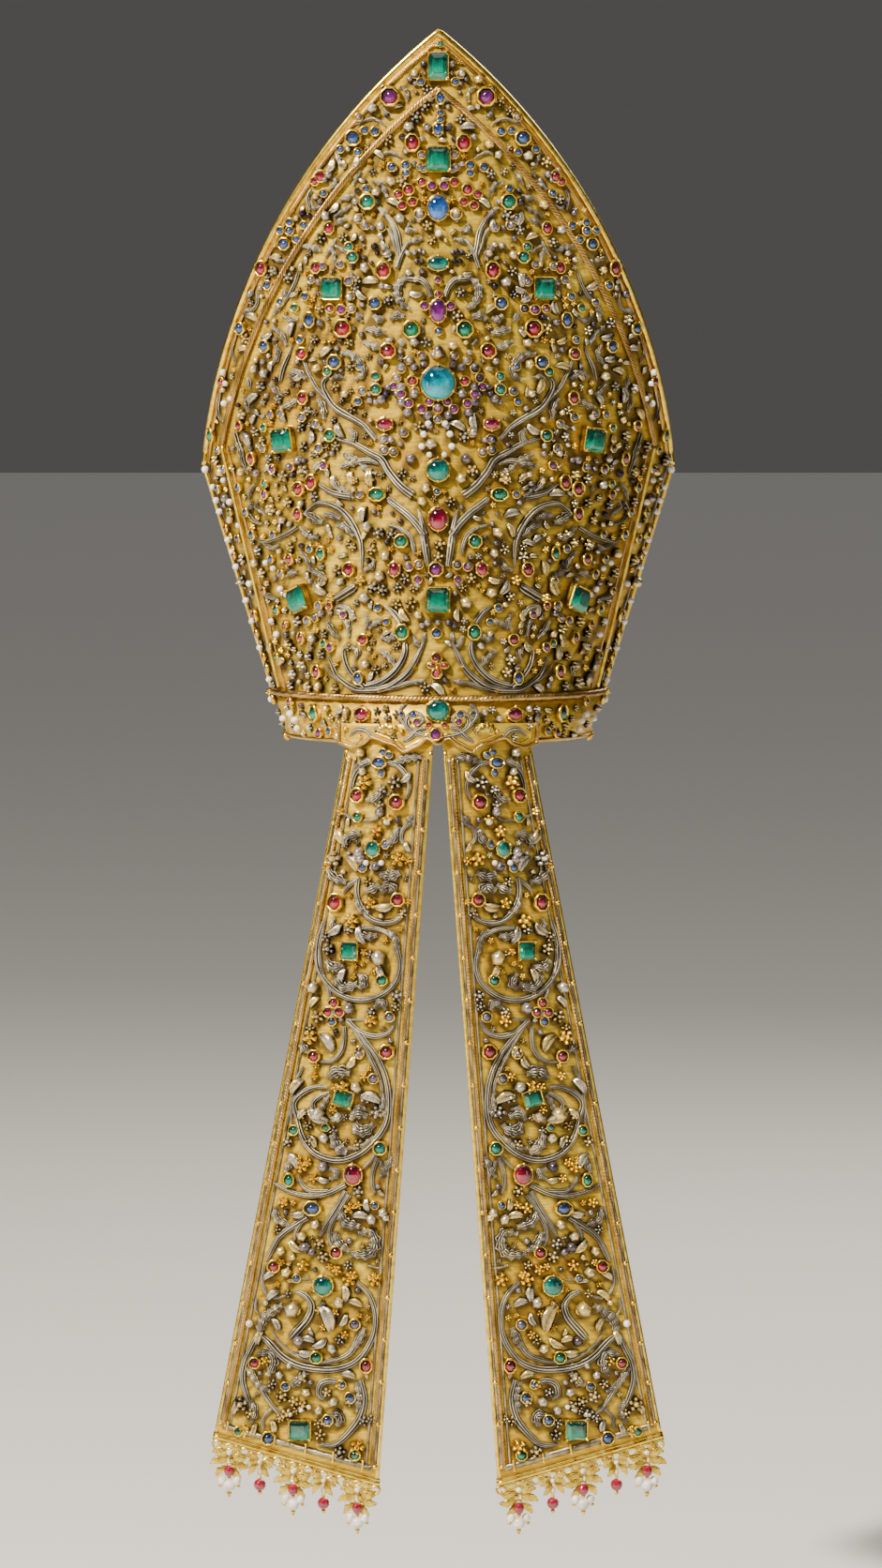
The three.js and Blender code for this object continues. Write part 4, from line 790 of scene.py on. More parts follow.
# Thick leaves of laid thread, as their width and their line
crown_leaves = [
    (5.6, [(452, 106), (460, 106), (464, 103)]), (6.1, [(409, 114), (412, 122), (418, 125)]),
    (5.4, [(427, 92), (435, 98), (434, 109)]), (6.4, [(358, 162), (362, 172), (367, 180)]),
    (7.2, [(351, 202), (358, 196), (362, 200)]), (7.2, [(397, 194), (407, 197), (413, 210)]),
    (6.4, [(376, 197), (381, 188), (385, 182)]), (7.2, [(362, 213), (370, 211), (378, 207)]),
    (6.7, [(356, 231), (367, 224), (374, 219)]), (8.0, [(356, 240), (364, 235), (370, 234)]),
    (4.8, [(347, 274), (354, 262), (358, 254)]), (4.8, [(331, 214), (335, 222), (342, 219)]),
    (7.2, [(290, 245), (297, 246), (303, 247)]), (5.7, [(311, 266), (313, 278)]),
    (9.6, [(323, 262), (333, 264), (342, 267)]), (5.1, [(357, 262), (366, 267), (371, 274)]),
    (5.7, [(354, 264), (357, 275), (358, 285)]), (9.6, [(405, 258), (413, 267), (416, 278)]),
    (8.3, [(437, 238), (434, 245), (445, 246)]), (7.3, [(434, 259), (440, 257), (451, 254)]),
    (6.4, [(287, 274), (297, 277), (305, 279)]), (8.0, [(404, 221), (410, 227), (415, 233)]),
    (7.9, [(258, 335), (263, 331), (268, 330)]), (7.4, [(291, 335), (298, 326), (305, 316)]),
    (9.1, [(380, 333), (386, 343)]), (7.9, [(302, 336), (310, 342), (318, 339)]),
    (7.4, [(290, 348), (298, 355), (305, 368)]), (7.9, [(293, 368), (296, 378), (289, 389)]),
    (8.8, [(287, 409), (296, 419), (301, 421)]), (7.0, [(263, 401), (266, 415)]),
    (7.4, [(260, 423), (264, 440)]), (9.8, [(299, 435), (309, 431), (319, 425)]),
    (9.8, [(338, 425), (344, 434), (345, 447)]), (8.8, [(251, 468), (256, 482), (258, 496)]),
    (9.8, [(366, 484), (375, 489), (385, 493)]), (9.8, [(362, 498), (373, 494), (384, 493)]),
    (8.1, [(383, 493), (391, 501), (401, 505)]), (9.8, [(370, 472), (378, 466), (373, 457)]),
    (11.6, [(390, 350), (400, 353), (411, 355)]), (9.6, [(398, 336), (405, 341), (410, 338)]),
    (10.5, [(387, 364), (396, 368), (407, 372)]),
    (10.9, [(363, 377), (374, 378), (385, 388), (387, 398), (378, 405)]),
    (10.9, [(307, 402), (316, 397), (326, 404)]),
    (11.2, [(433, 296), (425, 303), (424, 315), (430, 325), (437, 329)]),
    (10.9, [(416, 341), (423, 336), (431, 338)]), (7.0, [(450, 347), (451, 355)]),
    (10.5, [(426, 362), (431, 368)]), (7.0, [(235, 498), (240, 506)]),
    (7.0, [(352, 405), (358, 401), (368, 403)]), (6.5, [(271, 516), (266, 523), (264, 533)]),
    (6.2, [(274, 533), (272, 541), (279, 546), (281, 551)]), (7.3, [(319, 588), (326, 596), (330, 606)]),
    (12.4, [(325, 547), (336, 554), (344, 557)]), (9.8, [(345, 549), (355, 550), (363, 553)]),
    (9.1, [(320, 562), (329, 572), (340, 573)]), (10.7, [(358, 560), (368, 562), (377, 572)]),
    (8.1, [(388, 608), (396, 604), (399, 596)]), (9.1, [(355, 508), (358, 518), (364, 524)]),
    (6.5, [(363, 518), (371, 526), (377, 532)]), (8.1, [(448, 570), (453, 578), (455, 589)]),
    (9.1, [(328, 607), (339, 612), (349, 618)]), (9.1, [(305, 615), (310, 611), (317, 610)]),
    (8.1, [(275, 625), (284, 635), (294, 638)]), (8.1, [(362, 648), (371, 650), (378, 660)]),
    (6.8, [(388, 655), (392, 663), (388, 672)]), (7.3, [(393, 670), (402, 663), (413, 663)]),
    (9.1, [(406, 679), (415, 681), (424, 673)]), (9.1, [(348, 662), (353, 672), (361, 681)]),
    (5.9, [(365, 657), (370, 664), (372, 678)]), (7.5, [(374, 689), (381, 695), (378, 704)]),
    (9.1, [(405, 694), (414, 700), (421, 710)]), (9.1, [(315, 706), (323, 713), (321, 720)]),
    (7.2, [(441, 678), (445, 687), (450, 691)]), (6.5, [(453, 674), (451, 686)]),
    (5.9, [(436, 728), (445, 727), (453, 725)]), (6.5, [(297, 580), (290, 585), (280, 580)])]


def smooth_way(controls, step):
    """A smooth line through its control places, with points a step apart."""
    p = np.asarray(controls, float)
    p = np.concatenate([[2 * p[0] - p[1]], p, [2 * p[-1] - p[-2]]])
    t = np.linspace(0, 1, 14, endpoint=False)[:, None]
    spans = [0.5 * (2 * p[i] + (p[i + 1] - p[i - 1]) * t
                    + (2 * p[i - 1] - 5 * p[i] + 4 * p[i + 1] - p[i + 2]) * t ** 2
                    + (3 * p[i] - p[i - 1] - 3 * p[i + 1] + p[i + 2]) * t ** 3)
             for i in range(1, len(p) - 2)]
    return evenly(np.concatenate(spans + [p[-2:-1]]), step)


def crown_reach(z):
    """How far from the middle something can still be sewn to a panel."""
    return np.where(z < seam_top, wall_point(0.985, z)[..., 0],
                    edge_half_width(np.clip(z, seam_top, panel_tip), panel_inset + 1.5))


def under_pixel(ground, pixels, reach=crown_reach, lift=2.0):
    """The places on a ground that the photograph shows at these pixels."""
    pixels = np.asarray(pixels, float)
    x = (pixels[:, 0] - photo_centre[0]) * millimetres_per_pixel + camera_target[0]
    z = (photo_centre[1] - pixels[:, 1]) * millimetres_per_pixel + camera_target[2]
    for _ in range(14):
        x = np.clip(x, -reach(z), reach(z))
        seen = to_pixels(lifted(ground, x, z, lift)[0])
        x = x + (pixels[:, 0] - seen[0]) * millimetres_per_pixel * 0.98
        z = z - (pixels[:, 1] - seen[1]) * millimetres_per_pixel * 0.98
    x = np.clip(x, -reach(z), reach(z))
    return np.stack([x, z], -1)


def seen_ways(ground, paths, step, reach=crown_reach):
    return [smooth_way(under_pixel(ground, path, reach), step) for path in paths]


def mirrored_ways(ways):
    return [np.asarray(way) * [sign, 1] for way in ways for sign in (-1, 1)]


def stem_widths(way, foot, middle, tip):
    return np.interp(np.linspace(0, 1, len(way)), [0, 0.5, 0.92, 1], [foot, middle, tip, tip * 0.6])


def leaf_widths(way, width):
    """Widths of a leaf with lobed sides, narrow at both ends."""
    share = np.linspace(0, 1, len(way))
    lobes = 0.8 + 0.28 * np.cos(share * 2 * math.pi * max(2, round(len(way) / 3.2)))
    return width * np.sin(math.pi * (0.14 + 0.74 * share)) ** 0.8 * lobes


def couch(name, ground, ways, widths, threads, lift, slot, replaces=(), plumpness=0.5):
    """Ridges of couched thread along ways on a ground, with their width in millimetres at each point."""
    points, outs, edges, start = [], [], [], 0
    for way in ways:
        here, out = lifted(ground, way[:, 0], way[:, 1], lift)
        points.append(here)
        outs.append(out)
        edges += [(start + i, start + i + 1) for i in range(len(way) - 1)]
        start += len(way)
    thread = 1 / (2 * threads) * 1.12
    values = {"Threads": threads, "Half Width": (1 / 2 - thread) * mm, "Rise": (plumpness - thread) * mm,
              "Thread Radius": thread * mm, "Material": silver_gilt}
    return grow(name, couching_tree, np.concatenate(points), edges,
                {"out": np.concatenate(outs), "width": np.concatenate(widths)}, values, slot, replaces)


half_crown_ways = seen_ways(crown_ground, [path for _, path in crown_stems], stem_step)
half_crown_widths = [stem_widths(way, *np.array(widths) * millimetres_per_pixel)
                     for way, (widths, _) in zip(half_crown_ways, crown_stems)]
crown_ways = mirrored_ways(half_crown_ways)
crown_widths = [widths for widths in half_crown_widths for _ in (0, 1)]
half_leaf_ways = seen_ways(crown_ground, [path for _, path in crown_leaves], 1.4)
leaf_ways = mirrored_ways(half_leaf_ways)
crown_leaf_widths = [leaf_widths(way, width * millimetres_per_pixel)
                     for way, (width, _) in zip(half_leaf_ways, crown_leaves) for _ in (0, 1)]
thread_lift = seat_lift + 0.35
thread_plumpness = 0.62
back_scrolls = couch("back_scroll_stems", crown_ground, crown_ways, crown_widths, 3, thread_lift,
                     "silver_gilt_thread", ["back_scrollwork"], plumpness=thread_plumpness)
back_leaves = couch("back_laid_leaves", crown_ground, leaf_ways, crown_leaf_widths, 5, thread_lift,
                    "silver_gilt_thread", plumpness=thread_plumpness)
front_copy(back_scrolls, "front_scroll_stems", ["front_scrollwork"])
front_copy(back_leaves, "front_laid_leaves")

# Main stones: cut emeralds and polished cabochons, each in a gold collet with its rim rubbed over and claws
# at the corners, sewn down on the scrollwork's ground.
stone_rise = 0.5
collet_wall = 0.7
cabochon_sides = 28
claw_width = 1.3

gem_colours = {
    "emerald": ("#00261c", "#00a886", 1.58, 0.04), "sapphire": ("#0c2a5a", "#3f86e0", 1.76, 0.04),
    "ruby": ("#34000e", "#c4003c", 1.76, 0.04), "amethyst": ("#2e0a34", "#a02a9a", 1.55, 0.05),
    "aquamarine": ("#003a4c", "#00c8dc", 1.57, 0.04), "teal": ("#002c2c", "#00a890", 1.57, 0.05),
    "blue": ("#0c1836", "#3a62b0", 1.76, 0.06), "lilac": ("#2c2638", "#8c86a8", 1.55, 0.1),
}


def polished_stone(kind):
    """A clear stone over foil, with a painted glow on the side away from the light and a sharp gloss on top.
    """
    dark, bright, index, roughness = gem_colours[kind]
    material, tree, shader = new_material("polished_" + kind)
    place = add_node(tree, "ShaderNodeTexCoord").outputs["Object"]
    glow = add_node(tree, "ShaderNodeAttribute", {"attribute_name": "glow"}).outputs["Fac"]
    garden = add_node(tree, "ShaderNodeTexNoise", {}, {"Vector": place, "Scale": 300.0, "Detail": 2.0})
    depth = add_node(tree, "ShaderNodeMath", {"operation": "MULTIPLY_ADD"},
                     {0: garden.outputs["Fac"], 1: 0.5, 2: -0.25})
    level = add_node(tree, "ShaderNodeMath", {"operation": "ADD"}, {0: glow, 1: depth.outputs[0]})
    tone = add_node(tree, "ShaderNodeValToRGB", {}, {"Fac": level.outputs[0]})
    tone.color_ramp.elements[0].position, tone.color_ramp.elements[0].color = 0.15, srgb(dark)
    tone.color_ramp.elements[1].position, tone.color_ramp.elements[1].color = 0.9, srgb(bright)
    tree.links.new(tone.outputs["Color"], shader.inputs["Base Color"])
    shader.inputs["Roughness"].default_value = roughness
    shader.inputs["IOR"].default_value = index
    shader.inputs["Transmission Weight"].default_value = 0.15
    shader.inputs["Coat Weight"].default_value = 0.6
    shader.inputs["Coat Roughness"].default_value = 0.03
    return material


stone_finish = {kind: polished_stone(kind) for kind in gem_colours}

crown_stones = [
    ("apex_emerald", "step", "emerald", 0, 0.9445, 12.9, 17.4, 0),
    ("upper_sapphire", "dome", "blue", 0, 0.857, 6.6, 9.2, 0),
    ("upper_emerald", "step", "emerald", 0, 0.815, 15.1, 15.7, 0),
    ("pale_sapphire", "dome", "sapphire", 0, 0.747, 13.5, 16.3, 0),
    ("oval_emerald", "dome", "teal", 0, 0.67, 13.5, 9.6, 0),
    ("centre_amethyst", "dome", "amethyst", 0, 0.604, 10.7, 15.1, 0),
    ("great_aquamarine", "dome", "aquamarine", 0, 0.503, 21.4, 21.4, 0),
    ("round_emerald", "dome", "teal", 0, 0.382, 14.6, 14.6, 0),
    ("centre_ruby", "dome", "ruby", 0, 0.314, 12.4, 15.1, 0),
    ("square_emerald", "step", "emerald", 0, 0.201, 14.6, 15.7, 0),
    ("ruby_flower", "petals", "ruby", 0, 0.11, 13, 13, 0),
]
paired_stones = [
    ("shoulder_emerald", "step", "emerald", 0.44, 0.635, 13.6, 14, 0),
    ("side_emerald", "step", "emerald", 0.641, 0.423, 15.1, 15.1, 8),
    ("lower_emerald", "step", "emerald", 0.573, 0.2, 15.1, 15.1, 20),
    ("oval_ruby", "dome", "ruby", 0.22, 0.446, 10.6, 8.4, 0),
    ("heart_ruby", "dome", "ruby", 0.18, 0.244, 7.8, 9.5, 0),
]
band_up = band_height / crown_height
band_stones = [("band_emerald", "dome", "teal", 0, 0.82 * band_up, 14.6, 14, 0)]
paired_band_stones = [("band_ruby", "dome", "ruby", 0.306, 0.71 * band_up, 10.6, 9.2, 0)]


def round_outline(sides):
    angles = (np.arange(sides) + 0.5) * 2 * math.pi / sides
    return np.stack([np.cos(angles), np.sin(angles)], -1)


def cut_corner_outline(corner=0.8):
    return np.array([(1, -corner), (1, corner), (corner, 1), (-corner, 1), (-1, corner), (-1, -corner),
                     (-corner, -1), (corner, -1)])


def lathed(outline, levels, half):
    """Rings of an outline at spreads (in shares, less a margin in mm) and heights, closed top and bottom."""
    rings = [np.column_stack([outline * (half * spread - margin), np.full(len(outline), height)])
             for spread, margin, height in levels]
    points = np.concatenate(rings)
    return points, tube_faces(len(rings), len(outline), False)


def merged(parts):
    """One list of points, faces and material numbers from several."""
    points, faces, numbers, start = [], [], [], 0
    for part_points, part_faces, number in parts:
        points.append(part_points)
        faces += [tuple(i + start for i in face) for face in part_faces]
        numbers += [number] * len(part_faces)
        start += len(part_points)
    return np.concatenate(points), faces, numbers


def claw(place, towards, size, height):
    """A small bent prong: it stands beside the stone at a place and leans over its edge."""
    towards = np.asarray(towards) / np.linalg.norm(towards)
    beside = np.array([-towards[1], towards[0]])
    section = [(-1, 0.5), (1, 0.5), (0.7, -0.5), (-0.7, -0.5)]
    rings = []
    for inwards, up, scale in ((-0.5, 0.0, 1.1), (-0.45, height * 0.75, 1.0), (0.1, height * 1.02, 0.9),
                               (1.0, height * 1.06, 0.55)):
        middle = np.asarray(place) + towards * inwards * size
        rings += [(*(middle + beside * a * size / 2 * scale - towards * b * size * 0.6 * scale),
                   up + (b * 0.25 * size)) for a, b in section]
    return np.array(rings), [f[::-1] for f in tube_faces(4, 4, False)]


def set_stone(cut, width, height):
    """A stone (material 0) in its collet (material 1), in its own frame with the ground at 0."""
    half = np.array([width, height]) / 2
    rise = stone_rise * min(width, height)
    low = rise * 0.42
    if cut == "petals":
        parts = []
        for k in range(4):
            angle = k * math.pi / 2
            middle = np.array([math.cos(angle), math.sin(angle)]) * half * 0.56
            petal = np.where([k % 2 == 0, k % 2 == 1], half * 0.46, half * 0.34)
            for levels, number in ((dome_levels(low * 0.5, rise * 0.75), 0), (collet_levels(low * 0.8), 1)):
                points, faces = lathed(round_outline(14), levels, petal)
                parts.append((points + [*middle, 0], faces, number))
        points, faces = lathed(round_outline(12), dome_levels(low * 0.4, rise * 0.8), half * 0.2)
        parts.append((points, faces, 1))
        return merged(parts)
    if cut == "step":
        outline = cut_corner_outline()
        levels = [(1, collet_wall, 0.1), (1, collet_wall, low * 1.15), (0.93, collet_wall, rise * 0.62),
                  (0.78, collet_wall, rise * 0.82), (0.6, collet_wall, rise * 0.96),
                  (0.58, collet_wall, rise)]
        collet = [(1, -0.2, 0), (1, 0, low * 0.5), (1, 0, low * 1.1), (1, collet_wall * 0.5, low * 1.3),
                  (1, collet_wall * 1.3, low * 1.22), (1, collet_wall * 1.3, low)]
        claws = [claw(np.array(corner) * half * 0.9, -np.array(corner), claw_width, rise * 0.72)
                 for corner in ((1, 1), (-1, 1), (-1, -1), (1, -1))]
    else:
        outline = round_outline(cabochon_sides)
        levels = dome_levels(low, rise)
        collet = collet_levels(low)
        claws = [claw(np.array([math.cos(a), math.sin(a)]) * half, (-math.cos(a), -math.sin(a)),
                      claw_width * 0.8, rise * 0.7) for a in np.arange(6) * math.pi / 3 + math.pi / 6]
    stone_points, stone_faces = lathed(outline, levels, half)
    collet_points, collet_faces = lathed(outline, collet, half)
    return merged([(stone_points, stone_faces, 0), (collet_points, collet_faces, 1)]
                  + [(points, faces, 1) for points, faces in claws])


def dome_levels(low, rise):
    return [(1, collet_wall, 0.1)] + [
        (math.cos(t), collet_wall * math.cos(t), low + (rise - low) * math.sin(t))
        for t in np.radians([0, 15, 32, 50, 68, 84])]


def collet_levels(low):
    return [(1, -0.3, 0), (1, 0, low * 0.3), (1, -0.1, low * 0.8), (1, 0, low * 1.1),
            (1, collet_wall * 0.6, low * 1.3), (1, collet_wall * 1.5, low * 1.1), (1, collet_wall * 1.5, low)]


def frame_on(ground, x, z, turned=0.0):
    """The sideways, upward and outward directions at one place, as columns, turned in degrees."""
    point, out = lifted(ground, np.array([x]), np.array([z]), 0.0)
    side = ground(np.array([x + 0.4]), np.array([z])) - ground(np.array([x - 0.4]), np.array([z]))
    point, out, side = point[0], out[0], side[0] / np.linalg.norm(side[0])
    up = np.cross(out, side)
    c, s = math.cos(math.radians(turned)), math.sin(math.radians(turned))
    return point, np.stack([side * c + up * s, up * c - side * s, out], 1)


def store_painted_glow(mesh, places, rises, stepped):
    """How brightly each point of a stone is painted as lit from inside: a painted glow, most at its foot and
    on its lower side, away from the light.
    """
    glow = 0.42 - places @ [-0.18, 0.42]
    if stepped:
        glow = np.where(np.abs(places).max(1) < 0.62, 0.45 - places[:, 1] * 0.35, glow)
    mesh.attributes.new("glow", "FLOAT", "POINT").data.foreach_set(
        "value", np.clip(glow - 0.1 * rises, 0, 1).astype(np.float32))


def place_stone(name, ground, x, z, lift, cut, kind, width, height, turned, replaces=()):
    points, faces, numbers = set_stone(cut, width, height)
    middle, frame_here = frame_on(ground, x, z, turned)
    placed = (points + [0, 0, lift]) @ frame_here.T + middle
    piece = new_piece(name, placed, faces, [stone_finish[kind], bright_gold], smooth=cut != "step",
                      slot=slot_of[kind], replaces=replaces)
    piece.data.polygons.foreach_set("material_index", numbers)
    half = np.array([width, height]) / 2
    # the stone's painted glow
    store_painted_glow(piece.data, points[:, :2] / half, points[:, 2] / points[:, 2].max(), cut == "step")
    return piece


slot_of = {"emerald": "emerald", "teal": "emerald", "sapphire": "sapphire", "blue": "sapphire",
           "ruby": "ruby", "amethyst": "amethyst", "lilac": "amethyst", "aquamarine": "aquamarine"}
on_band_lift = band_face + gap
for rows, lift in ((crown_stones, seat_lift), (band_stones, on_band_lift)):
    for name, cut, kind, across, up, width, height, turned in rows:
        x, z = across * cleft_half_width, up * crown_height
        stone = place_stone(name + "_in_collet", crown_ground, x, z, lift, cut, kind, width, height, turned,
                            [name])
        if lift == seat_lift and name != "apex_emerald":
            front_copy(stone, "front_" + name)
for rows, lift in ((paired_stones, seat_lift), (paired_band_stones, on_band_lift)):
    for name, cut, kind, across, up, width, height, turned in rows:
        for side, word in ((-1, "left"), (1, "right")):
            x, z = side * across * cleft_half_width, up * crown_height
            stone = place_stone(f"{name}_{word}_in_collet", crown_ground, x, z, lift, cut, kind, width,
                                height, -side * turned, [f"{name}_{word}"])
            if lift == seat_lift:
                front_copy(stone, f"front_{name}_{word}")

# Small stones and pearls: polished pebbles and seed pearls in plain gold collets, strewn between the scrolls
# in clusters round the main stones. Their places are pixels of the photograph: x, y, width and height there.
middle_stones = {
    "ruby": [(468, 314, 8, 8), (440, 406, 10, 10), (496, 406, 10, 10), (466, 701, 10, 10),
             (466, 718, 10, 10)],
    "blue": [(470, 104, 9, 13), (470, 120, 7, 7), (470, 127, 7, 7), (468, 353, 8, 8), (466, 524, 7, 7),
             (466, 675, 10, 10)],
    "teal": [(470, 47, 6, 6)],
    "amethyst": [(467, 298, 7, 7), (465, 607, 14, 14), (453, 326, 9, 9), (481, 326, 9, 9),
                 (465, 781, 10, 10), (458, 428, 9, 9), (477, 428, 9, 9), (467, 436, 9, 9),
                 (450, 436, 9, 9), (484, 436, 9, 9)],
    "lilac": [(467, 377, 9, 9), (443, 417, 8, 8), (491, 417, 8, 8), (467, 447, 8, 8)],
    "pearl": [(468, 249, 8, 8), (458, 485, 7, 7), (474, 485, 7, 7), (452, 463, 8, 8), (480, 463, 8, 8),
              (457, 452, 8, 8), (475, 452, 8, 8), (450, 476, 8, 8), (482, 476, 8, 8)],
}
half_stones = {
    "ruby": [
        (440, 152, 14, 17), (436, 202, 11, 11), (425, 207, 9, 9), (429, 219, 9, 9), (440, 215, 9, 9),
        (450, 194, 9, 9), (336, 193, 9, 9), (342, 188, 10, 12), (351, 243, 10, 13), (337, 285, 10, 12),
        (275, 286, 12, 15), (409, 288, 14, 17), (352, 329, 9, 9), (375, 329, 9, 9), (366, 350, 17, 17),
        (322, 377, 12, 12), (414, 374, 15, 15), (230, 407, 9, 9), (323, 424, 11, 13), (255, 454, 10, 10),
        (268, 489, 10, 13), (332, 514, 12, 15), (319, 521, 14, 14), (318, 548, 11, 14), (309, 596, 11, 11),
        (233, 563, 8, 8), (372, 607, 12, 14), (272, 656, 9, 12), (304, 666, 8, 8), (321, 680, 9, 12),
        (351, 646, 8, 8), (387, 682, 11, 11), (338, 716, 12, 14), (315, 747, 8, 8), (246, 592, 8, 8),
        (300, 780, 8, 8), (281, 630, 8, 8), (262, 675, 9, 9), (268, 700, 8, 8)],
    "amethyst": [
        (416, 103, 18, 18), (461, 198, 9, 9), (364, 330, 10, 10), (282, 527, 9, 9), (428, 393, 9, 9),
        (423, 403, 9, 9), (450, 379, 8, 8), (436, 384, 8, 8), (428, 420, 9, 9), (436, 430, 9, 9),
        (420, 412, 8, 8), (436, 604, 9, 9), (447, 602, 9, 9), (352, 690, 9, 9), (366, 655, 8, 8),
        (290, 500, 9, 9), (343, 781, 9, 9), (446, 618, 8, 8), (310, 498, 9, 9), (345, 496, 9, 9)],
    "blue": [
        (443, 79, 8, 8), (404, 95, 8, 8), (379, 125, 8, 8), (377, 147, 15, 15), (389, 139, 8, 8),
        (400, 140, 9, 9), (363, 159, 8, 8), (382, 162, 8, 8), (455, 135, 7, 7), (449, 87, 8, 8),
        (433, 176, 9, 9), (418, 178, 9, 9), (433, 184, 8, 8), (391, 201, 8, 8), (345, 206, 8, 8),
        (309, 246, 9, 9), (309, 237, 8, 8), (324, 240, 8, 8), (303, 260, 12, 12), (316, 255, 8, 8),
        (296, 246, 8, 8), (285, 304, 9, 9), (400, 323, 13, 13), (330, 341, 11, 15), (256, 350, 12, 12),
        (282, 369, 12, 12), (320, 362, 8, 8), (357, 386, 14, 14), (387, 417, 9, 9), (382, 428, 8, 8),
        (215, 464, 7, 7), (232, 480, 8, 8), (269, 570, 10, 10), (254, 574, 9, 9), (291, 570, 8, 8),
        (232, 521, 9, 9), (403, 648, 8, 8), (412, 663, 7, 7), (382, 723, 10, 13), (353, 779, 8, 8),
        (384, 390, 9, 9), (452, 180, 7, 7), (325, 316, 8, 8), (299, 322, 8, 8), (254, 520, 9, 9),
        (262, 546, 9, 9), (289, 596, 8, 8), (276, 712, 9, 9), (330, 585, 8, 8), (238, 500, 8, 8)],
    "teal": [
        (392, 215, 15, 15), (372, 263, 9, 9), (401, 401, 9, 9), (401, 415, 11, 11), (282, 516, 8, 8),
        (376, 274, 12, 12)],
    "emerald": [
        (314, 328, 8, 8), (439, 351, 16, 17), (349, 396, 9, 9), (281, 456, 8, 8), (224, 464, 10, 13),
        (352, 464, 12, 12), (402, 527, 17, 13), (428, 577, 13, 13), (342, 590, 9, 13), (295, 650, 10, 10),
        (345, 686, 8, 8), (429, 674, 13, 15), (338, 760, 13, 16), (245, 546, 8, 8), (295, 700, 8, 8)],
    "lilac": [
        (448, 228, 11, 11), (383, 233, 9, 9), (390, 240, 9, 9), (407, 242, 9, 9), (450, 165, 8, 8),
        (448, 178, 7, 7), (431, 461, 9, 9), (411, 468, 9, 9), (410, 480, 9, 9), (420, 482, 9, 9),
        (384, 527, 8, 8), (328, 662, 9, 9), (336, 659, 8, 8), (291, 744, 10, 10), (299, 441, 8, 8),
        (322, 445, 9, 9), (280, 478, 8, 8), (288, 442, 8, 8), (337, 452, 8, 8), (340, 478, 9, 9),
        (300, 612, 9, 9), (343, 620, 8, 8), (340, 646, 9, 9), (372, 300, 9, 9), (344, 284, 8, 8),
        (363, 282, 8, 8), (332, 298, 8, 8), (374, 316, 8, 8)],
    "pearl": [
        (238, 397, 8, 8), (241, 409, 7, 7), (211, 500, 9, 9), (219, 519, 7, 7), (227, 545, 8, 8),
        (314, 760, 9, 9), (319, 767, 9, 9), (321, 776, 8, 8), (240, 430, 8, 8), (246, 425, 7, 7),
        (224, 533, 8, 8), (240, 575, 8, 8), (249, 604, 8, 8), (238, 588, 7, 7), (262, 640, 8, 8),
        (265, 662, 8, 8), (292, 606, 7, 7), (284, 600, 7, 7), (275, 690, 8, 8), (272, 724, 8, 8),
        (285, 745, 9, 9), (306, 765, 8, 8), (300, 628, 8, 8), (306, 634, 7, 7), (267, 622, 8, 8),
        (255, 560, 7, 7), (246, 535, 8, 8), (239, 512, 7, 7), (296, 676, 8, 8), (290, 662, 7, 7)],
}
small_rise = 0.5
small_seat = 1.1


def dome(sides, rings, rise):
    """A dome of unit diameter."""
    levels = [(1, 0, 0.0)] + [(math.cos(t), 0, rise * (0.25 + 0.75 * math.sin(t)))
                              for t in np.linspace(0, math.pi / 2 * 0.82, rings)]
    return lathed(round_outline(sides), levels, np.array([0.5, 0.5]))


def collet_ring():
    """A ring of unit diameter with a rubbed-over rim, closed all round."""
    levels = [(1.36, 0, 0), (1.3, 0, 0.26), (1.08, 0, 0.36), (0.9, 0, 0.2)]
    outline = round_outline(8)
    rings = [np.column_stack([outline * 0.5 * spread, np.full(8, height)]) for spread, _, height in levels]
    faces = [(r % 4 * 8 + k, r % 4 * 8 + (k + 1) % 8, (r + 1) % 4 * 8 + (k + 1) % 8, (r + 1) % 4 * 8 + k)
             for r in range(4) for k in range(8)]
    return np.concatenate(rings), faces


def ball(sides, rings):
    """A ball of unit diameter that stands on 0."""
    levels = [(math.cos(t), 0, 0.5 + 0.5 * math.sin(t))
              for t in np.linspace(-math.pi / 2 * 0.86, math.pi / 2 * 0.86, rings)]
    return lathed(round_outline(sides), levels, np.array([0.5, 0.5]))


def shape_object(name, points, faces):
    """A shape in millimetres for a tree to repeat, with how high each point stands, from 0 to 1."""
    mesh = bpy.data.meshes.new(name)
    mesh.from_pydata((np.asarray(points) * mm).tolist(), [], [tuple(f) for f in faces])
    heights = np.asarray(points)[:, 2]
    mesh.attributes.new("rise", "FLOAT", "POINT").data.foreach_set(
        "value", ((heights - heights.min()) / np.ptp(heights)).astype(np.float32))
    half = np.abs(np.asarray(points)[:, :2]).max()
    # a painted glow for the small stones, as on the main ones
    store_painted_glow(mesh, np.asarray(points)[:, :2] / half, heights / heights.max(), False)
    return bpy.data.objects.new(name, mesh)


sewn_tree, given = new_tree("sewn_on", {"Shape": "Object", "Material": "Material"})
outward = add_node(sewn_tree, "GeometryNodeInputNamedAttribute", {"data_type": "FLOAT_VECTOR"}, {0: "out"})
pointing = add_node(sewn_tree, "GeometryNodeInputNamedAttribute", {"data_type": "FLOAT_VECTOR"}, {0: "way"})
scaled = add_node(sewn_tree, "GeometryNodeInputNamedAttribute", {"data_type": "FLOAT_VECTOR"}, {0: "size"})
shape = add_node(sewn_tree, "GeometryNodeObjectInfo", {}, {"Object": given["Shape"]})
turned = add_node(sewn_tree, "FunctionNodeAxesToRotation", {"primary_axis": "Z", "secondary_axis": "Y"},
                  {0: outward.outputs[0], 1: pointing.outputs[0]})
sewn = add_node(sewn_tree, "GeometryNodeInstanceOnPoints", {},
                {0: given["Geometry"], "Instance": shape.outputs["Geometry"], "Rotation": turned.outputs[0],
                 "Scale": scaled.outputs[0]})
end_tree(sewn_tree, sewn.outputs[0], given["Material"])


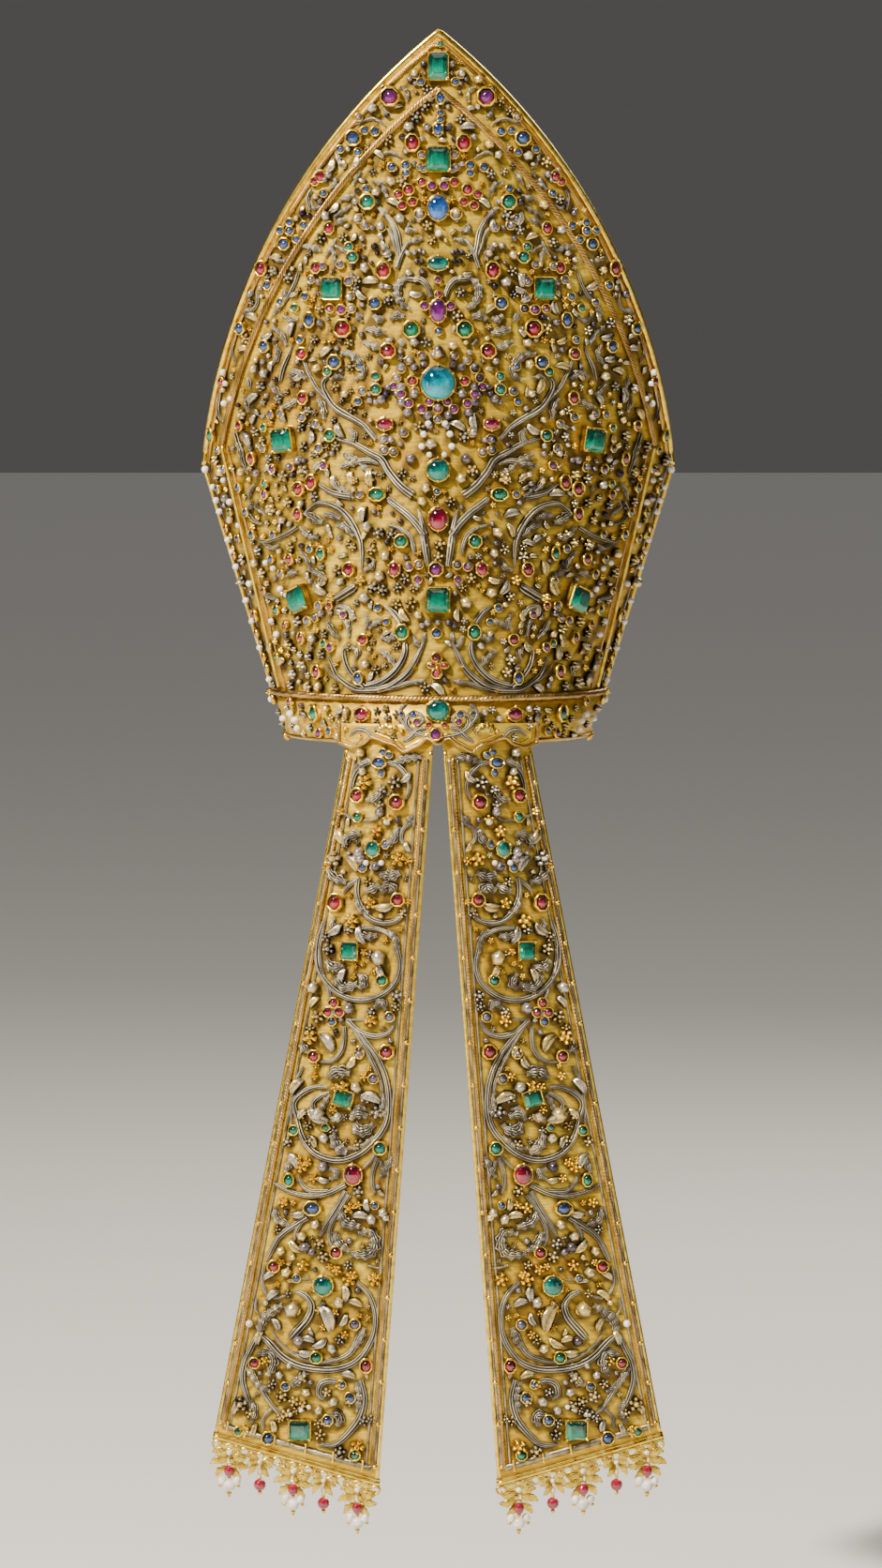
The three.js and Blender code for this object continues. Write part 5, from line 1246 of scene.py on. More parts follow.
def sew(name, ground, places, angles, sizes, lift, shape, material, slot, replaces=()):
    """Repeats a shape at places on a ground.
    Each one's own up is turned by its angle from the ground's up."""
    places, angles = np.asarray(places, float), np.asarray(angles, float)
    points, out = lifted(ground, places[:, 0], places[:, 1], lift)
    side = ground(places[:, 0] + 0.4, places[:, 1]) - ground(places[:, 0] - 0.4, places[:, 1])
    side /= np.linalg.norm(side, axis=1, keepdims=True)
    up = np.cross(out, side)
    way = up * np.cos(angles)[:, None] + side * np.sin(angles)[:, None]
    sizes = np.asarray(sizes, float)
    if sizes.ndim == 1:
        sizes = np.repeat(sizes[:, None], 3, 1)
    return grow(name, sewn_tree, points, [], {"out": out, "way": way, "size": sizes},
                {"Shape": shape, "Material": material}, slot, replaces)


pearl_lustre, tree, shader = new_material("river_pearl")
place = add_node(tree, "ShaderNodeTexCoord").outputs["Object"]
cloudy = add_node(tree, "ShaderNodeTexNoise", {}, {"Vector": place, "Scale": 180.0, "Detail": 2.0})
tone = add_node(tree, "ShaderNodeValToRGB", {}, {"Fac": cloudy.outputs["Fac"]})
tone.color_ramp.elements[0].position, tone.color_ramp.elements[0].color = 0.3, srgb("#cfc0b0")
tone.color_ramp.elements[1].position, tone.color_ramp.elements[1].color = 0.6, srgb("#f2ece2")
tree.links.new(tone.outputs["Color"], shader.inputs["Base Color"])
shader.inputs["Subsurface Weight"].default_value = 0.2
shader.inputs["Subsurface Scale"].default_value = 0.002
shader.inputs["Roughness"].default_value = 0.25
shader.inputs["Coat Weight"].default_value = 0.5
shader.inputs["Coat Roughness"].default_value = 0.12

small_finish = dict(stone_finish, pearl=pearl_lustre)
slot_of["pearl"] = "silver_gilt_thread"
gem_shape = shape_object("small_gem_shape", *dome(8, 3, small_rise))
pearl_shape = shape_object("pearl_shape", *ball(8, 5))
collet_shape = shape_object("collet_shape", *collet_ring())


def stone_rows(middle_rows, half_rows, ground):
    """Places and sizes by colour: the middle ones once, the others on both halves."""
    found = {}
    for kind in list(half_rows) + [k for k in middle_rows if k not in half_rows]:
        rows = [(x, y, w, h, 0) for x, y, w, h in middle_rows.get(kind, [])]
        rows += [(x, y, w, h, 1) for x, y, w, h in half_rows.get(kind, [])]
        rows = np.array(rows, float)
        places = under_pixel(ground, rows[:, :2])
        sizes = rows[:, 2:4] * millimetres_per_pixel
        twice = rows[:, 4] > 0
        places = np.concatenate([places, places[twice] * [-1, 1]])
        sizes = np.concatenate([sizes, sizes[twice]])
        found[kind] = (places, np.column_stack([sizes, sizes.min(1)]))
    return found


small_stones = stone_rows(middle_stones, half_stones, crown_ground)


def crown_seat(z):
    """How far over the panel something is sewn: on the rim band and its top cord it stands higher."""
    return np.where(z > above_top_cord, seat_lift, np.where(z > band_height - 1, 4.4, on_band_lift))


def sew_stones(prefix, found, ground, lift):
    pieces, all_places, all_sizes = [], [], []
    for kind, (places, sizes) in found.items():
        shape = pearl_shape if kind == "pearl" else gem_shape
        here = np.broadcast_to(lift(places[:, 1]) if callable(lift) else lift, len(places))
        pieces.append(sew(f"{prefix}_small_{kind}", ground, places, np.zeros(len(places)), sizes * 0.92,
                          here + (0.2 if kind == "pearl" else small_seat), shape, small_finish[kind],
                          slot_of[kind]))
        if kind != "pearl":
            all_places.append(places)
            all_sizes.append(sizes)
    places, sizes = np.concatenate(all_places), np.concatenate(all_sizes)
    here = np.broadcast_to(lift(places[:, 1]) if callable(lift) else lift, len(places))
    pieces.append(sew(prefix + "_small_collets", ground, places, np.zeros(len(places)),
                      sizes * [1, 1, 1.5], here, collet_shape, bright_gold, "gold_metal"))
    return pieces


for piece in sew_stones("back", small_stones, crown_ground, crown_seat):
    front_copy(piece, piece.name.replace("back", "front"))

# Buds, seed heads and balls: knots of silver-gilt purl and thread over cord, sewn along the stems, round the
# stones and over the ground between them. Those seen in the photograph stand first, as x, y and size in its
# pixels on one half. Others are strewn in the gaps at a fixed seed, in places the photograph doesn't give.
crown_buds = [
    (442, 78, 11), (425, 114, 8), (366, 175, 7), (392, 157, 9), (403, 165, 11), (397, 183, 10),
    (381, 233, 12), (406, 241, 12), (366, 253, 12), (321, 223, 7), (294, 275, 10), (291, 288, 10),
    (329, 270, 8), (358, 282, 7), (407, 261, 8), (413, 270, 10), (436, 291, 10), (444, 296, 8),
    (448, 226, 11), (291, 289, 12), (321, 285, 7), (328, 305, 8), (338, 312, 8), (380, 299, 12),
    (379, 308, 11), (386, 314, 12), (373, 317, 11), (395, 301, 14), (335, 362, 11), (340, 380, 7),
    (259, 373, 11), (289, 391, 8), (273, 384, 7), (278, 412, 12), (305, 418, 8), (296, 426, 11),
    (280, 429, 8), (328, 438, 11), (335, 440, 8), (272, 440, 8), (270, 448, 9), (303, 445, 9),
    (331, 454, 9), (331, 466, 11), (355, 448, 9), (279, 469, 9), (275, 475, 8), (286, 489, 11),
    (256, 503, 9), (247, 499, 9), (338, 484, 9), (340, 498, 12), (333, 485, 9), (235, 501, 12),
    (282, 499, 8), (291, 505, 9), (370, 506, 9), (378, 512, 9), (394, 512, 12), (407, 506, 9),
    (356, 513, 9), (389, 464, 8), (415, 361, 8), (393, 380, 8), (412, 392, 7), (447, 455, 14),
    (368, 420, 11), (373, 417, 9), (363, 427, 8), (387, 440, 8), (468, 378, 12), (317, 401, 11),
    (444, 312, 13), (236, 503, 11), (258, 503, 11), (290, 503, 10), (302, 521, 7), (307, 536, 13),
    (297, 547, 7), (295, 531, 8), (284, 558, 8), (301, 555, 10), (246, 554, 10), (313, 575, 7),
    (298, 588, 8), (301, 599, 6), (329, 570, 11), (337, 572, 8), (371, 580, 11), (353, 570, 6),
    (365, 594, 9), (376, 583, 10), (388, 549, 15), (404, 568, 14), (396, 586, 13), (397, 578, 7),
    (375, 510, 11), (396, 510, 15), (405, 505, 7), (414, 521, 7), (432, 617, 13), (456, 612, 8),
    (441, 627, 11), (438, 643, 16), (446, 656, 11), (466, 594, 13), (342, 627, 15), (326, 614, 8),
    (301, 633, 7), (285, 622, 8), (285, 640, 9), (295, 641, 6), (303, 651, 8), (290, 663, 10),
    (362, 651, 10), (376, 658, 8), (379, 643, 8), (396, 645, 8), (412, 676, 8), (422, 689, 10),
    (345, 676, 10), (371, 690, 10), (379, 695, 8), (397, 684, 8), (394, 692, 7), (410, 710, 8),
    (329, 700, 11), (321, 710, 12), (308, 687, 13), (313, 693, 8), (347, 724, 7), (287, 690, 11),
    (277, 689, 10), (274, 684, 7), (300, 707, 13), (290, 731, 10), (258, 620, 14), (263, 653, 8),
    (321, 537, 10)]
crown_balls = [
    (452, 68, 8), (437, 84, 7), (453, 78, 5), (443, 89, 6), (444, 98, 4), (413, 123, 6), (378, 125, 8),
    (404, 94, 7), (334, 181, 6), (350, 186, 9), (346, 192, 7), (358, 192, 7), (381, 203, 7), (379, 215, 9),
    (402, 215, 7), (389, 239, 9), (397, 243, 7), (322, 227, 8), (324, 240, 7), (303, 278, 6), (386, 254, 7),
    (388, 262, 4), (399, 262, 8), (442, 269, 7), (448, 267, 6), (452, 269, 6), (444, 278, 6), (450, 278, 6),
    (448, 178, 7), (442, 175, 7), (429, 146, 8), (450, 148, 7), (456, 136, 9), (422, 180, 5), (396, 280, 5),
    (447, 235, 6), (267, 313, 8), (277, 307, 7), (304, 313, 7), (340, 301, 9), (375, 294, 7), (407, 305, 8),
    (352, 330, 8), (365, 328, 7), (375, 329, 9), (321, 348, 6), (341, 344, 9), (349, 340, 6), (363, 362, 7),
    (377, 350, 6), (266, 315, 7), (451, 380, 9), (452, 389, 9), (442, 392, 10), (437, 384, 9),
    (428, 392, 11), (423, 403, 10), (428, 413, 11), (442, 420, 11), (428, 429, 11), (423, 420, 8),
    (465, 434, 10), (435, 440, 11), (456, 443, 11), (463, 378, 8), (468, 373, 11), (458, 454, 9),
    (430, 461, 11), (438, 489, 12), (387, 417, 11), (414, 413, 9), (394, 420, 6), (407, 426, 11),
    (412, 420, 8), (401, 429, 7), (401, 408, 6), (409, 469, 10), (417, 469, 8), (410, 480, 11),
    (420, 482, 10), (324, 491, 7), (344, 469, 6), (318, 491, 10), (309, 498, 10), (273, 505, 9),
    (354, 484, 7), (406, 385, 9), (240, 531, 10), (267, 541, 6), (404, 548, 5), (418, 547, 5),
    (433, 594, 7), (446, 624, 7), (336, 658, 9), (342, 654, 9), (447, 602, 9), (435, 603, 9), (456, 664, 8),
    (466, 664, 7), (450, 667, 7)]
crown_knops = [
    (303, 224, 7), (453, 213, 10), (448, 165, 8), (444, 213, 6), (418, 227, 6), (333, 319, 8),
    (354, 362, 10), (291, 433, 8), (317, 445, 8), (263, 452, 6), (345, 364, 7), (303, 333, 7),
    (326, 291, 7), (331, 326, 8), (230, 450, 5), (269, 562, 8), (280, 573, 8), (339, 581, 7), (349, 576, 7),
    (352, 586, 9), (417, 585, 8), (345, 617, 8), (352, 638, 12), (384, 619, 13), (358, 707, 8),
    (266, 661, 7), (245, 572, 7), (241, 585, 6), (253, 625, 7), (279, 700, 7), (290, 736, 8), (441, 711, 7),
    (404, 736, 7)]


def melon_bud():
    """A ribbed bud of unit length."""
    outline = round_outline(10) * np.where(np.arange(10) % 2, 0.8, 1.0)[:, None] * [0.86, 1]
    return lathed(outline, [(0.96, 0, 0.0), (1, 0, 0.28), (0.82, 0, 0.58), (0.4, 0, 0.76)],
                  np.array([0.5, 0.5]))


def berry_bud(count=5):
    """A cluster of small balls round a middle one, of unit size together."""
    parts = []
    for k in range(count):
        angle = k * 2 * math.pi / count
        points, faces = dome(5, 2, 0.9)
        parts.append((points * [0.4, 0.4, 0.5] + [0.31 * math.sin(angle), 0.31 * math.cos(angle), 0], faces,
                      0))
    points, faces = dome(6, 2, 0.9)
    parts.append((points * [0.46, 0.46, 0.78], faces, 0))
    points, faces, _ = merged(parts)
    return points, faces


def petal_bud():
    """Five long petals round a ball, of unit size together."""
    parts = []
    for k in range(5):
        angle = k * 2 * math.pi / 5
        c, s = math.cos(angle), math.sin(angle)
        points, faces = dome(5, 2, 0.8)
        points = points * [0.28, 0.42, 0.48] + [0, 0.3, 0]
        parts.append((points @ np.array([[c, -s, 0], [s, c, 0], [0, 0, 1]]), faces, 0))
    points, faces = dome(6, 2, 0.9)
    parts.append((points * [0.3, 0.3, 0.62], faces, 0))
    points, faces, _ = merged(parts)
    return points, faces


def curled_leaf():
    """A small leaf of unit length with a hollow midrib, bent to one side."""
    rows, points = 5, []
    for r in range(rows):
        t = r / (rows - 1)
        half = 0.3 * math.sin(math.pi * (0.16 + 0.74 * t)) ** 0.8
        bend = 0.16 * math.sin(t * 2.8)
        high = 0.16 + 0.26 * math.sin(math.pi * (0.15 + 0.8 * t))
        points += [(-half + bend, t - 0.5, 0), (-half * 0.5 + bend, t - 0.5, high),
                   (bend, t - 0.5, high * 0.5),
                   (half * 0.5 + bend, t - 0.5, high), (half + bend, t - 0.5, 0)]
    faces = [(r * 5 + c, r * 5 + c + 1, r * 5 + c + 6,
              r * 5 + c + 5) for r in range(rows - 1) for c in range(4)]
    faces += [(r * 5, r * 5 + 5, r * 5 + 9, r * 5 + 4) for r in range(rows - 1)]
    return np.array(points), faces + [(4, 3, 2, 1, 0), tuple(rows * 5 - 5 + k for k in range(5))]


rubbed_gilt, tree, shader = new_material("rubbed_silver_gilt_purl")
place = add_node(tree, "ShaderNodeTexCoord").outputs["Object"]
# painted shade and light: each bud is painted dark at its foot and light at its top, through its rise, with
# random patches over it
rise = add_node(tree, "ShaderNodeAttribute", {"attribute_name": "rise"}).outputs["Fac"]
patchy = add_node(tree, "ShaderNodeTexNoise", {}, {"Vector": place, "Scale": 110.0, "Detail": 3.0})
shade = add_node(tree, "ShaderNodeMath", {"operation": "MULTIPLY_ADD"},
                 {0: patchy.outputs["Fac"], 1: 1.3, 2: -0.65})
level = add_node(tree, "ShaderNodeMath", {"operation": "ADD"}, {0: rise, 1: shade.outputs[0]})
tones = []
for low, high in (("#1a140e", "#c9bda4"), ("#35260f", "#efd07e")):
    tone = add_node(tree, "ShaderNodeValToRGB", {}, {"Fac": level.outputs[0]})
    tone.color_ramp.elements[0].position, tone.color_ramp.elements[0].color = 0.1, srgb(low)
    tone.color_ramp.elements[1].position, tone.color_ramp.elements[1].color = 0.85, srgb(high)
    tones.append(tone)
worn = add_node(tree, "ShaderNodeTexNoise", {}, {"Vector": place, "Scale": 45.0, "Detail": 1.0})
still_gilt = add_node(tree, "ShaderNodeMapRange", {}, {"Value": worn.outputs["Fac"], "From Min": 0.42,
                                                       "From Max": 0.62})
both = add_node(tree, "ShaderNodeMix", {"data_type": "RGBA"}, {"Factor": still_gilt.outputs[0]})
tree.links.new(tones[0].outputs["Color"], both.inputs[6])
tree.links.new(tones[1].outputs["Color"], both.inputs[7])
tree.links.new(both.outputs[2], shader.inputs["Base Color"])
grain = add_node(tree, "ShaderNodeTexVoronoi", {}, {"Vector": place, "Scale": 1100.0})
bump = add_node(tree, "ShaderNodeBump", {"invert": True},
                {"Height": grain.outputs["Distance"], "Strength": 0.5,
                                                          "Distance": 0.3 * mm})
tree.links.new(bump.outputs[0], shader.inputs["Normal"])
shader.inputs["Metallic"].default_value = 0.75
shader.inputs["Roughness"].default_value = 0.25

# Dark silver balls, burnished bright
dark_silver, tree, shader = new_material("tarnished_silver_ball")
place = add_node(tree, "ShaderNodeTexCoord").outputs["Object"]
# random tarnish patches in the silver's own colour
tarnish = add_node(tree, "ShaderNodeTexNoise", {}, {"Vector": place, "Scale": 70.0, "Detail": 2.0})
tone = add_node(tree, "ShaderNodeValToRGB", {}, {"Fac": tarnish.outputs["Fac"]})
tone.color_ramp.elements[0].position, tone.color_ramp.elements[0].color = 0.35, srgb("#2e2634")
tone.color_ramp.elements[1].position, tone.color_ramp.elements[1].color = 0.68, srgb("#b3a6a0")
tree.links.new(tone.outputs["Color"], shader.inputs["Base Color"])
shader.inputs["Metallic"].default_value = 0.75
shader.inputs["Roughness"].default_value = 0.17

bud_shapes = [shape_object("melon_bud_shape", *melon_bud()), shape_object("berry_bud_shape", *berry_bud()),
              shape_object("petal_bud_shape", *petal_bud()),
              shape_object("curled_leaf_shape", *curled_leaf())]
bud_words = ("ribbed_buds", "berry_buds", "petal_buds", "curled_leaves")
ball_shape = shape_object("silver_ball_shape", *dome(8, 3, 0.78))
rng = np.random.default_rng(7)


def both_halves(places, sizes):
    """Places on one half and their mirror images. One close to the middle stands there once."""
    near = np.abs(places[:, 0]) < 2.2
    places[near, 0] = 0
    return (np.concatenate([places, places[~near] * [-1, 1]]), np.concatenate([sizes, sizes[~near]]))


def seen_rows(ground, table, reach=crown_reach):
    rows = np.array(table, float)
    return under_pixel(ground, rows[:, :2], reach), rows[:, 2] * millimetres_per_pixel


def taken_by(ways, widths, rows):
    """Centres and radii of what is already on a ground. A row is x, z and two half sizes."""
    rows = np.asarray(rows)
    centres = np.concatenate(list(ways) + [rows[:, :2]])
    radii = np.concatenate([w / 2 for w in widths] + [rows[:, 2:].max(1)])
    return centres, radii


def free_places(taken, inside, low, high, spacing, room, overlap=0.3):
    """Places in a box that are inside a shape and clear of what is taken, in a jittered grid."""
    xs, zs = np.meshgrid(np.arange(low[0], high[0], spacing / 2), np.arange(low[1], high[1], spacing / 2))
    candidates = np.stack([xs.ravel(), zs.ravel()], -1) + rng.uniform(-0.3, 0.3, (xs.size, 2)) * spacing
    candidates = rng.permutation(candidates[inside(candidates[:, 0], candidates[:, 1])])
    centres, radii = taken
    clear = [(np.linalg.norm(part[:, None] - centres[None], axis=2) > radii + room - overlap).all(1)
             for part in np.array_split(candidates, len(candidates) // 800 + 1)]
    keep = np.empty((0, 2))
    for place in candidates[np.concatenate(clear)]:
        if np.all(np.hypot(*(keep - place).T) > 2 * room - overlap):
            keep = np.vstack([keep, place])
    return keep, (np.concatenate([centres, keep]), np.append(radii, np.full(len(keep), room)))


def in_crown(x, z):
    border = np.where(z < cleft_height, wall_point(border_turn, z)[..., 0],
                      border_half_width(np.clip(z, cleft_height, border_apex)))
    off_border = (np.abs(np.abs(x) - border) > 3.6) | (z > border_apex + 6)
    thinned = rng.uniform(0, 1, np.shape(x)) < np.clip(np.abs(x) / 75, 0.3, 1)
    return ((np.abs(x) < crown_reach(z) - 1.0) & off_border & (z > above_top_cord + 2)
            & (z < panel_tip - 12) & thinned)


def in_band(x, z):
    return (np.abs(x) < wall_point(0.97, z)[..., 0]) & (z > 4) & (z < band_height - 3) & (np.abs(x) > 20)


def strew(prefix, ground, buds, balls, knops, taken, inside, low, high, lift, closeness=1.0):
    """The buds and balls of a ground, and finer ones in the gaps that are left."""
    (bud_places, bud_sizes), (ball_places, ball_sizes), (knop_places, knop_sizes) = buds, balls, knops

    def lifts(places):
        return np.broadcast_to(lift(places[:, 1]) if callable(lift) else lift, len(places))

    rows = [np.column_stack([p, s / 2, s / 2]) for p, s in (buds, balls, knops)]
    taken = (np.concatenate([taken[0]] + [r[:, :2] for r in rows]),
             np.concatenate([taken[1]] + [r[:, 2] for r in rows]))
    wide, taken = free_places(taken, inside, low, high, 4.8 * closeness, 3.3 * closeness)
    fine, taken = free_places(taken, inside, low, high, 7.0 * closeness, 2.0)
    places = np.concatenate([bud_places, wide, fine[::2]])
    sizes = np.concatenate([bud_sizes, rng.uniform(6.4, 8.2, len(wide)) * closeness,
                            rng.uniform(3.6, 4.8, len(fine[::2]))])
    kinds, spins = rng.integers(0, 4, len(places)), rng.uniform(0, 2 * math.pi, len(places))
    pieces = []
    for number, (shape, word) in enumerate(zip(bud_shapes, bud_words)):
        mine = kinds == number
        stretch = 1.25 if word == "curled_leaves" else 1.0
        pieces.append(sew(f"{prefix}_{word}", ground, places[mine], spins[mine], sizes[mine] * stretch,
                          lifts(places[mine]),
                          shape, rubbed_gilt, "silver_gilt_thread"))
    places = np.concatenate([ball_places, fine[1::4]])
    sizes = np.concatenate([ball_sizes, rng.uniform(3.2, 4.2, len(fine[1::4]))])
    pieces.append(sew(prefix + "_silver_balls", ground, places, np.zeros(len(places)), sizes,
                      lifts(places), ball_shape, dark_silver, "silver_gilt_thread"))
    places = np.concatenate([knop_places, fine[3::4]])
    sizes = np.concatenate([knop_sizes, rng.uniform(3.4, 4.6, len(fine[3::4]))])
    pieces.append(sew(prefix + "_gilt_buds", ground, places, rng.uniform(0, 2 * math.pi, len(places)), sizes,
                      lifts(places), bud_shapes[1], bright_gold, "gold_metal"))
    return pieces, taken


main_rows = [(a * cleft_half_width, u * crown_height, w / 2 + 1, h / 2 + 1)
             for rows in (crown_stones, paired_stones) for _, _, _, a, u, w, h, _ in rows]
main_rows += [(-x, z, w, h) for x, z, w, h in main_rows if x > 0]
small_rows = [(x, z, w / 2, h / 2) for places, sizes in small_stones.values()
              for (x, z), (w, h, _) in zip(places, sizes)]
crown_taken = taken_by(crown_ways + leaf_ways, crown_widths + crown_leaf_widths, main_rows + small_rows)
pieces, crown_covered = strew("back", crown_ground, both_halves(*seen_rows(crown_ground, crown_buds)),
                   both_halves(*seen_rows(crown_ground, crown_balls)),
                   both_halves(*seen_rows(crown_ground, crown_knops)), crown_taken, in_crown,
                   (-150, 28), (150, 415), crown_seat)
for piece in pieces:
    front_copy(piece, piece.name.replace("back", "front"))
# painted shade on both panels beside the work sewn on them
painted_shade_beside(back_panel, *crown_covered)
painted_shade_beside(front_panel, *crown_covered)

# Rim band ornament: the same buds, all of them strewn in the gaps between the band's stones
band_rows = [(side * a * cleft_half_width, u * crown_height, w / 2 + 1, h / 2 + 1)
             for _, _, _, a, u, w, h, _ in paired_band_stones for side in (-1, 1)]
none_here = (np.empty((0, 2)), np.empty(0))
band_taken = taken_by([np.empty((0, 2))], [np.empty(0)], band_rows + small_rows)
strew("band", crown_ground, none_here, none_here, none_here, band_taken, in_band, (-100, 2), (100, 26),
      crown_seat, 0.72)

# Collar: a scalloped plate of cloth of gold over the tops of the lappets, bound with a rolled cord and worked
# with gold scrolls. It is sewn to the rim band.
collar_half_width = 54.0
collar_top = 12.0
collar_drop = 17.3
collar_thickness = 1.6
lappet_thickness = 2.0
layer_gap = 0.8
lappet_lift = band_face + layer_gap
collar_lift = lappet_lift + lappet_thickness + layer_gap
collar_face = collar_lift + collar_thickness
collar_edge = [(0, 0.72), (0.11, 0.53), (0.22, 0.81), (0.34, 1), (0.45, 0.75), (0.68, 0.52), (0.76, 0.75),
               (0.87, 0.86), (1, 0.72)]
collar_columns, collar_rows = 121, 7


def collar_foot(share):
    """Height of the collar's lower edge, from points joined by soft scallops."""
    known, drops = np.array(collar_edge).T
    far = np.abs(share)
    k = np.clip(np.searchsorted(known, far, side="right") - 1, 0, len(known) - 2)
    t = (far - known[k]) / (known[k + 1] - known[k])
    soft = t * 0.35 + (3 * t ** 2 - 2 * t ** 3) * 0.65
    return collar_top - collar_drop * (drops[k] + (drops[k + 1] - drops[k]) * soft)


shares = np.linspace(-1, 1, collar_columns)
foot = collar_foot(shares)
down = np.linspace(0, 1, collar_rows)[::-1, None]
collar_x = np.repeat((shares * collar_half_width)[None], collar_rows, 0)
collar_z = collar_top + (foot[None] - collar_top) * down
faces_in_out = [lifted(crown_ground, collar_x, collar_z, lift)[0].reshape(-1, 3)
                for lift in (collar_face, collar_lift)]
collar_cloth = new_piece("lappet_collar_cloth", np.concatenate(faces_in_out),
                         shell_faces(collar_rows, collar_columns), [cloth_of_gold], slot="cloth_of_gold",
                         replaces=["lappet_collar"])
edge_x = np.concatenate([[-collar_half_width] * 2, shares[1:-1] * collar_half_width, [collar_half_width] * 2])
edge_z = np.concatenate([[collar_top, foot[0]], foot[1:-1], [foot[-1], collar_top]])
collar_way_step = 0.9
edge_cord_narrowed, edge_cord_up, edge_cord_seat = 0.985, 0.8, 0.5
inner_wire_narrowed, inner_wire_up, inner_wire_seat = 0.93, 3.4, 0.3
inner_wire_size = 1.3
edge_way = evenly(np.stack([edge_x * edge_cord_narrowed, edge_z + edge_cord_up], -1), collar_way_step)
points, out = lifted(crown_ground, edge_way[:, 0], edge_way[:, 1], collar_face + edge_cord_seat)
wound_cord("collar_edge_cord", points, out, 2.6, 2.4, 3, 5.0, gilt_wire, "gold_cord")
inner_way = evenly(np.stack([edge_x * inner_wire_narrowed, edge_z + inner_wire_up], -1), collar_way_step)
points, out = lifted(crown_ground, inner_way[:, 0], np.minimum(inner_way[:, 1], collar_top - 1),
                     collar_face + inner_wire_seat)
tube_along("collar_inner_wire", points, out, inner_wire_size, inner_wire_size, 8, [bright_gold],
           "gold_metal")

collar_scrolls = [
    [(462, 786), (448, 783), (437, 775), (437, 765), (446, 761), (453, 767), (449, 773)],
    [(437, 775), (430, 765), (430, 757), (436, 751)],
    [(455, 776), (446, 779), (440, 786), (432, 791)],
    [(402, 786), (396, 779), (387, 778), (379, 784)],
]


def to_left(z):
    return np.full_like(z, 1e4)


collar_ways = mirrored_ways(seen_ways(crown_ground, collar_scrolls, 1.6, to_left))
scroll_seat = 0.3
collar_stone_seat = 0.5
couch("collar_scroll_stems", crown_ground, collar_ways,
      [stem_widths(way, 2.6, 4.2, 2.4) for way in collar_ways],
      3, collar_face + scroll_seat, "silver_gilt_thread")
collar_stones = {"amethyst": [(465, 783, 11, 12), (445, 770, 7, 7), (489, 770, 7, 7)],
                 "blue": [(441, 762, 8, 8), (491, 762, 8, 8), (428, 762, 7, 7), (505, 762, 7, 7)],
                 "ruby": [(458, 773, 6, 6), (474, 773, 6, 6)]}
for kind, rows in collar_stones.items():
    rows = np.array(rows, float)
    places = under_pixel(crown_ground, rows[:, :2], to_left, collar_face)
    sizes = np.column_stack([rows[:, 2:], rows[:, 2:].min(1)]) * millimetres_per_pixel
    sew("collar_small_" + kind, crown_ground, places, np.zeros(len(places)), sizes,
        collar_face + collar_stone_seat, gem_shape, small_finish[kind], slot_of[kind])
    sew("collar_collets_" + kind, crown_ground, places, np.zeros(len(places)), sizes * [1, 1, 1.5],
        collar_face, collet_shape, bright_gold, "gold_metal")
fan_places = under_pixel(crown_ground, [(411, 782), (519, 782)], to_left, collar_face)
fan_reach = 3.4
fan_rows = np.array([(x, z, angle, 0.72) for x, z in fan_places
                     for angle in np.radians([-64, -32, 0, 32, 64])])
fan_rows[:, 0] += np.sin(fan_rows[:, 2]) * fan_reach
fan_rows[:, 1] += np.cos(fan_rows[:, 2]) * fan_reach
sew("collar_fans", crown_ground, fan_rows[:, :2], fan_rows[:, 2], fan_rows[:, 3] * 8.6, collar_face,
    bud_shapes[3],
    bright_gold, "gold_metal")


def in_collar(x, z):
    share = x / collar_half_width
    near_emerald = (np.abs(x) < 10) & (z > 8)
    return (np.abs(share) < 0.93) & (z > collar_foot(share) + 4.2) & (z < collar_top - 2) & ~near_emerald


taken = taken_by(collar_ways, [np.full(len(way), 4.0) for way in collar_ways],
                 [(x, z, 3, 3) for x, z in fan_places])
collar_places, taken = free_places(taken, in_collar, (-54, -8), (54, 12), 3.4, 2.0)
collar_spins = rng.uniform(0, 2 * math.pi, len(collar_places))
sew("collar_berry_buds", crown_ground, collar_places[::2], collar_spins[::2],
    np.full(len(collar_places[::2]), 4.8), collar_face, bud_shapes[1], rubbed_gilt, "silver_gilt_thread")
sew("collar_gilt_buds", crown_ground, collar_places[1::2], collar_spins[1::2],
    np.full(len(collar_places[1::2]), 3.6), collar_face, bud_shapes[0], bright_gold, "gold_metal")

# Lappets: two long strips of cloth of gold that widen downwards. They hang from the rim behind the collar,
# bend with its oval there and lie flatter lower down. The right one is the left one turned over.
lappet_gap_half = 3.0
lappet_top_width = 50.5
lappet_end_width = 97.1
lappet_splay = 32.0
lappet_top_drop = 3.0
lappet_length = 432.8
lappet_end_rise = 26.6
lappet_tuck = 11.0
lappet_end_depth_inner = 100.0
lappet_end_depth_outer = 88.0
end_bar_height = 5.0
lappet_columns, lappet_rows = 34, 140


def lappet_width(down):
    return lappet_top_width + (lappet_end_width - lappet_top_width) * np.maximum(down, 0)


def lappet_place(across, down):
    """Across and up in millimetres on the left lappet, from shares of its width and length."""
    across, down = np.asarray(across, float), np.asarray(down, float)
    x = lappet_gap_half + lappet_splay * np.maximum(down, 0) + lappet_width(down) * across
    return -x, -lappet_top_drop - down * (lappet_length - lappet_end_rise * across)


def lappet_share(x, z):
    across = np.full(np.shape(x), 0.5)
    for _ in range(12):
        down = -(z + lappet_top_drop) / (lappet_length - lappet_end_rise * across)
        across = (np.abs(x) - lappet_gap_half - lappet_splay * np.maximum(down, 0)) / lappet_width(down)
    return across, down


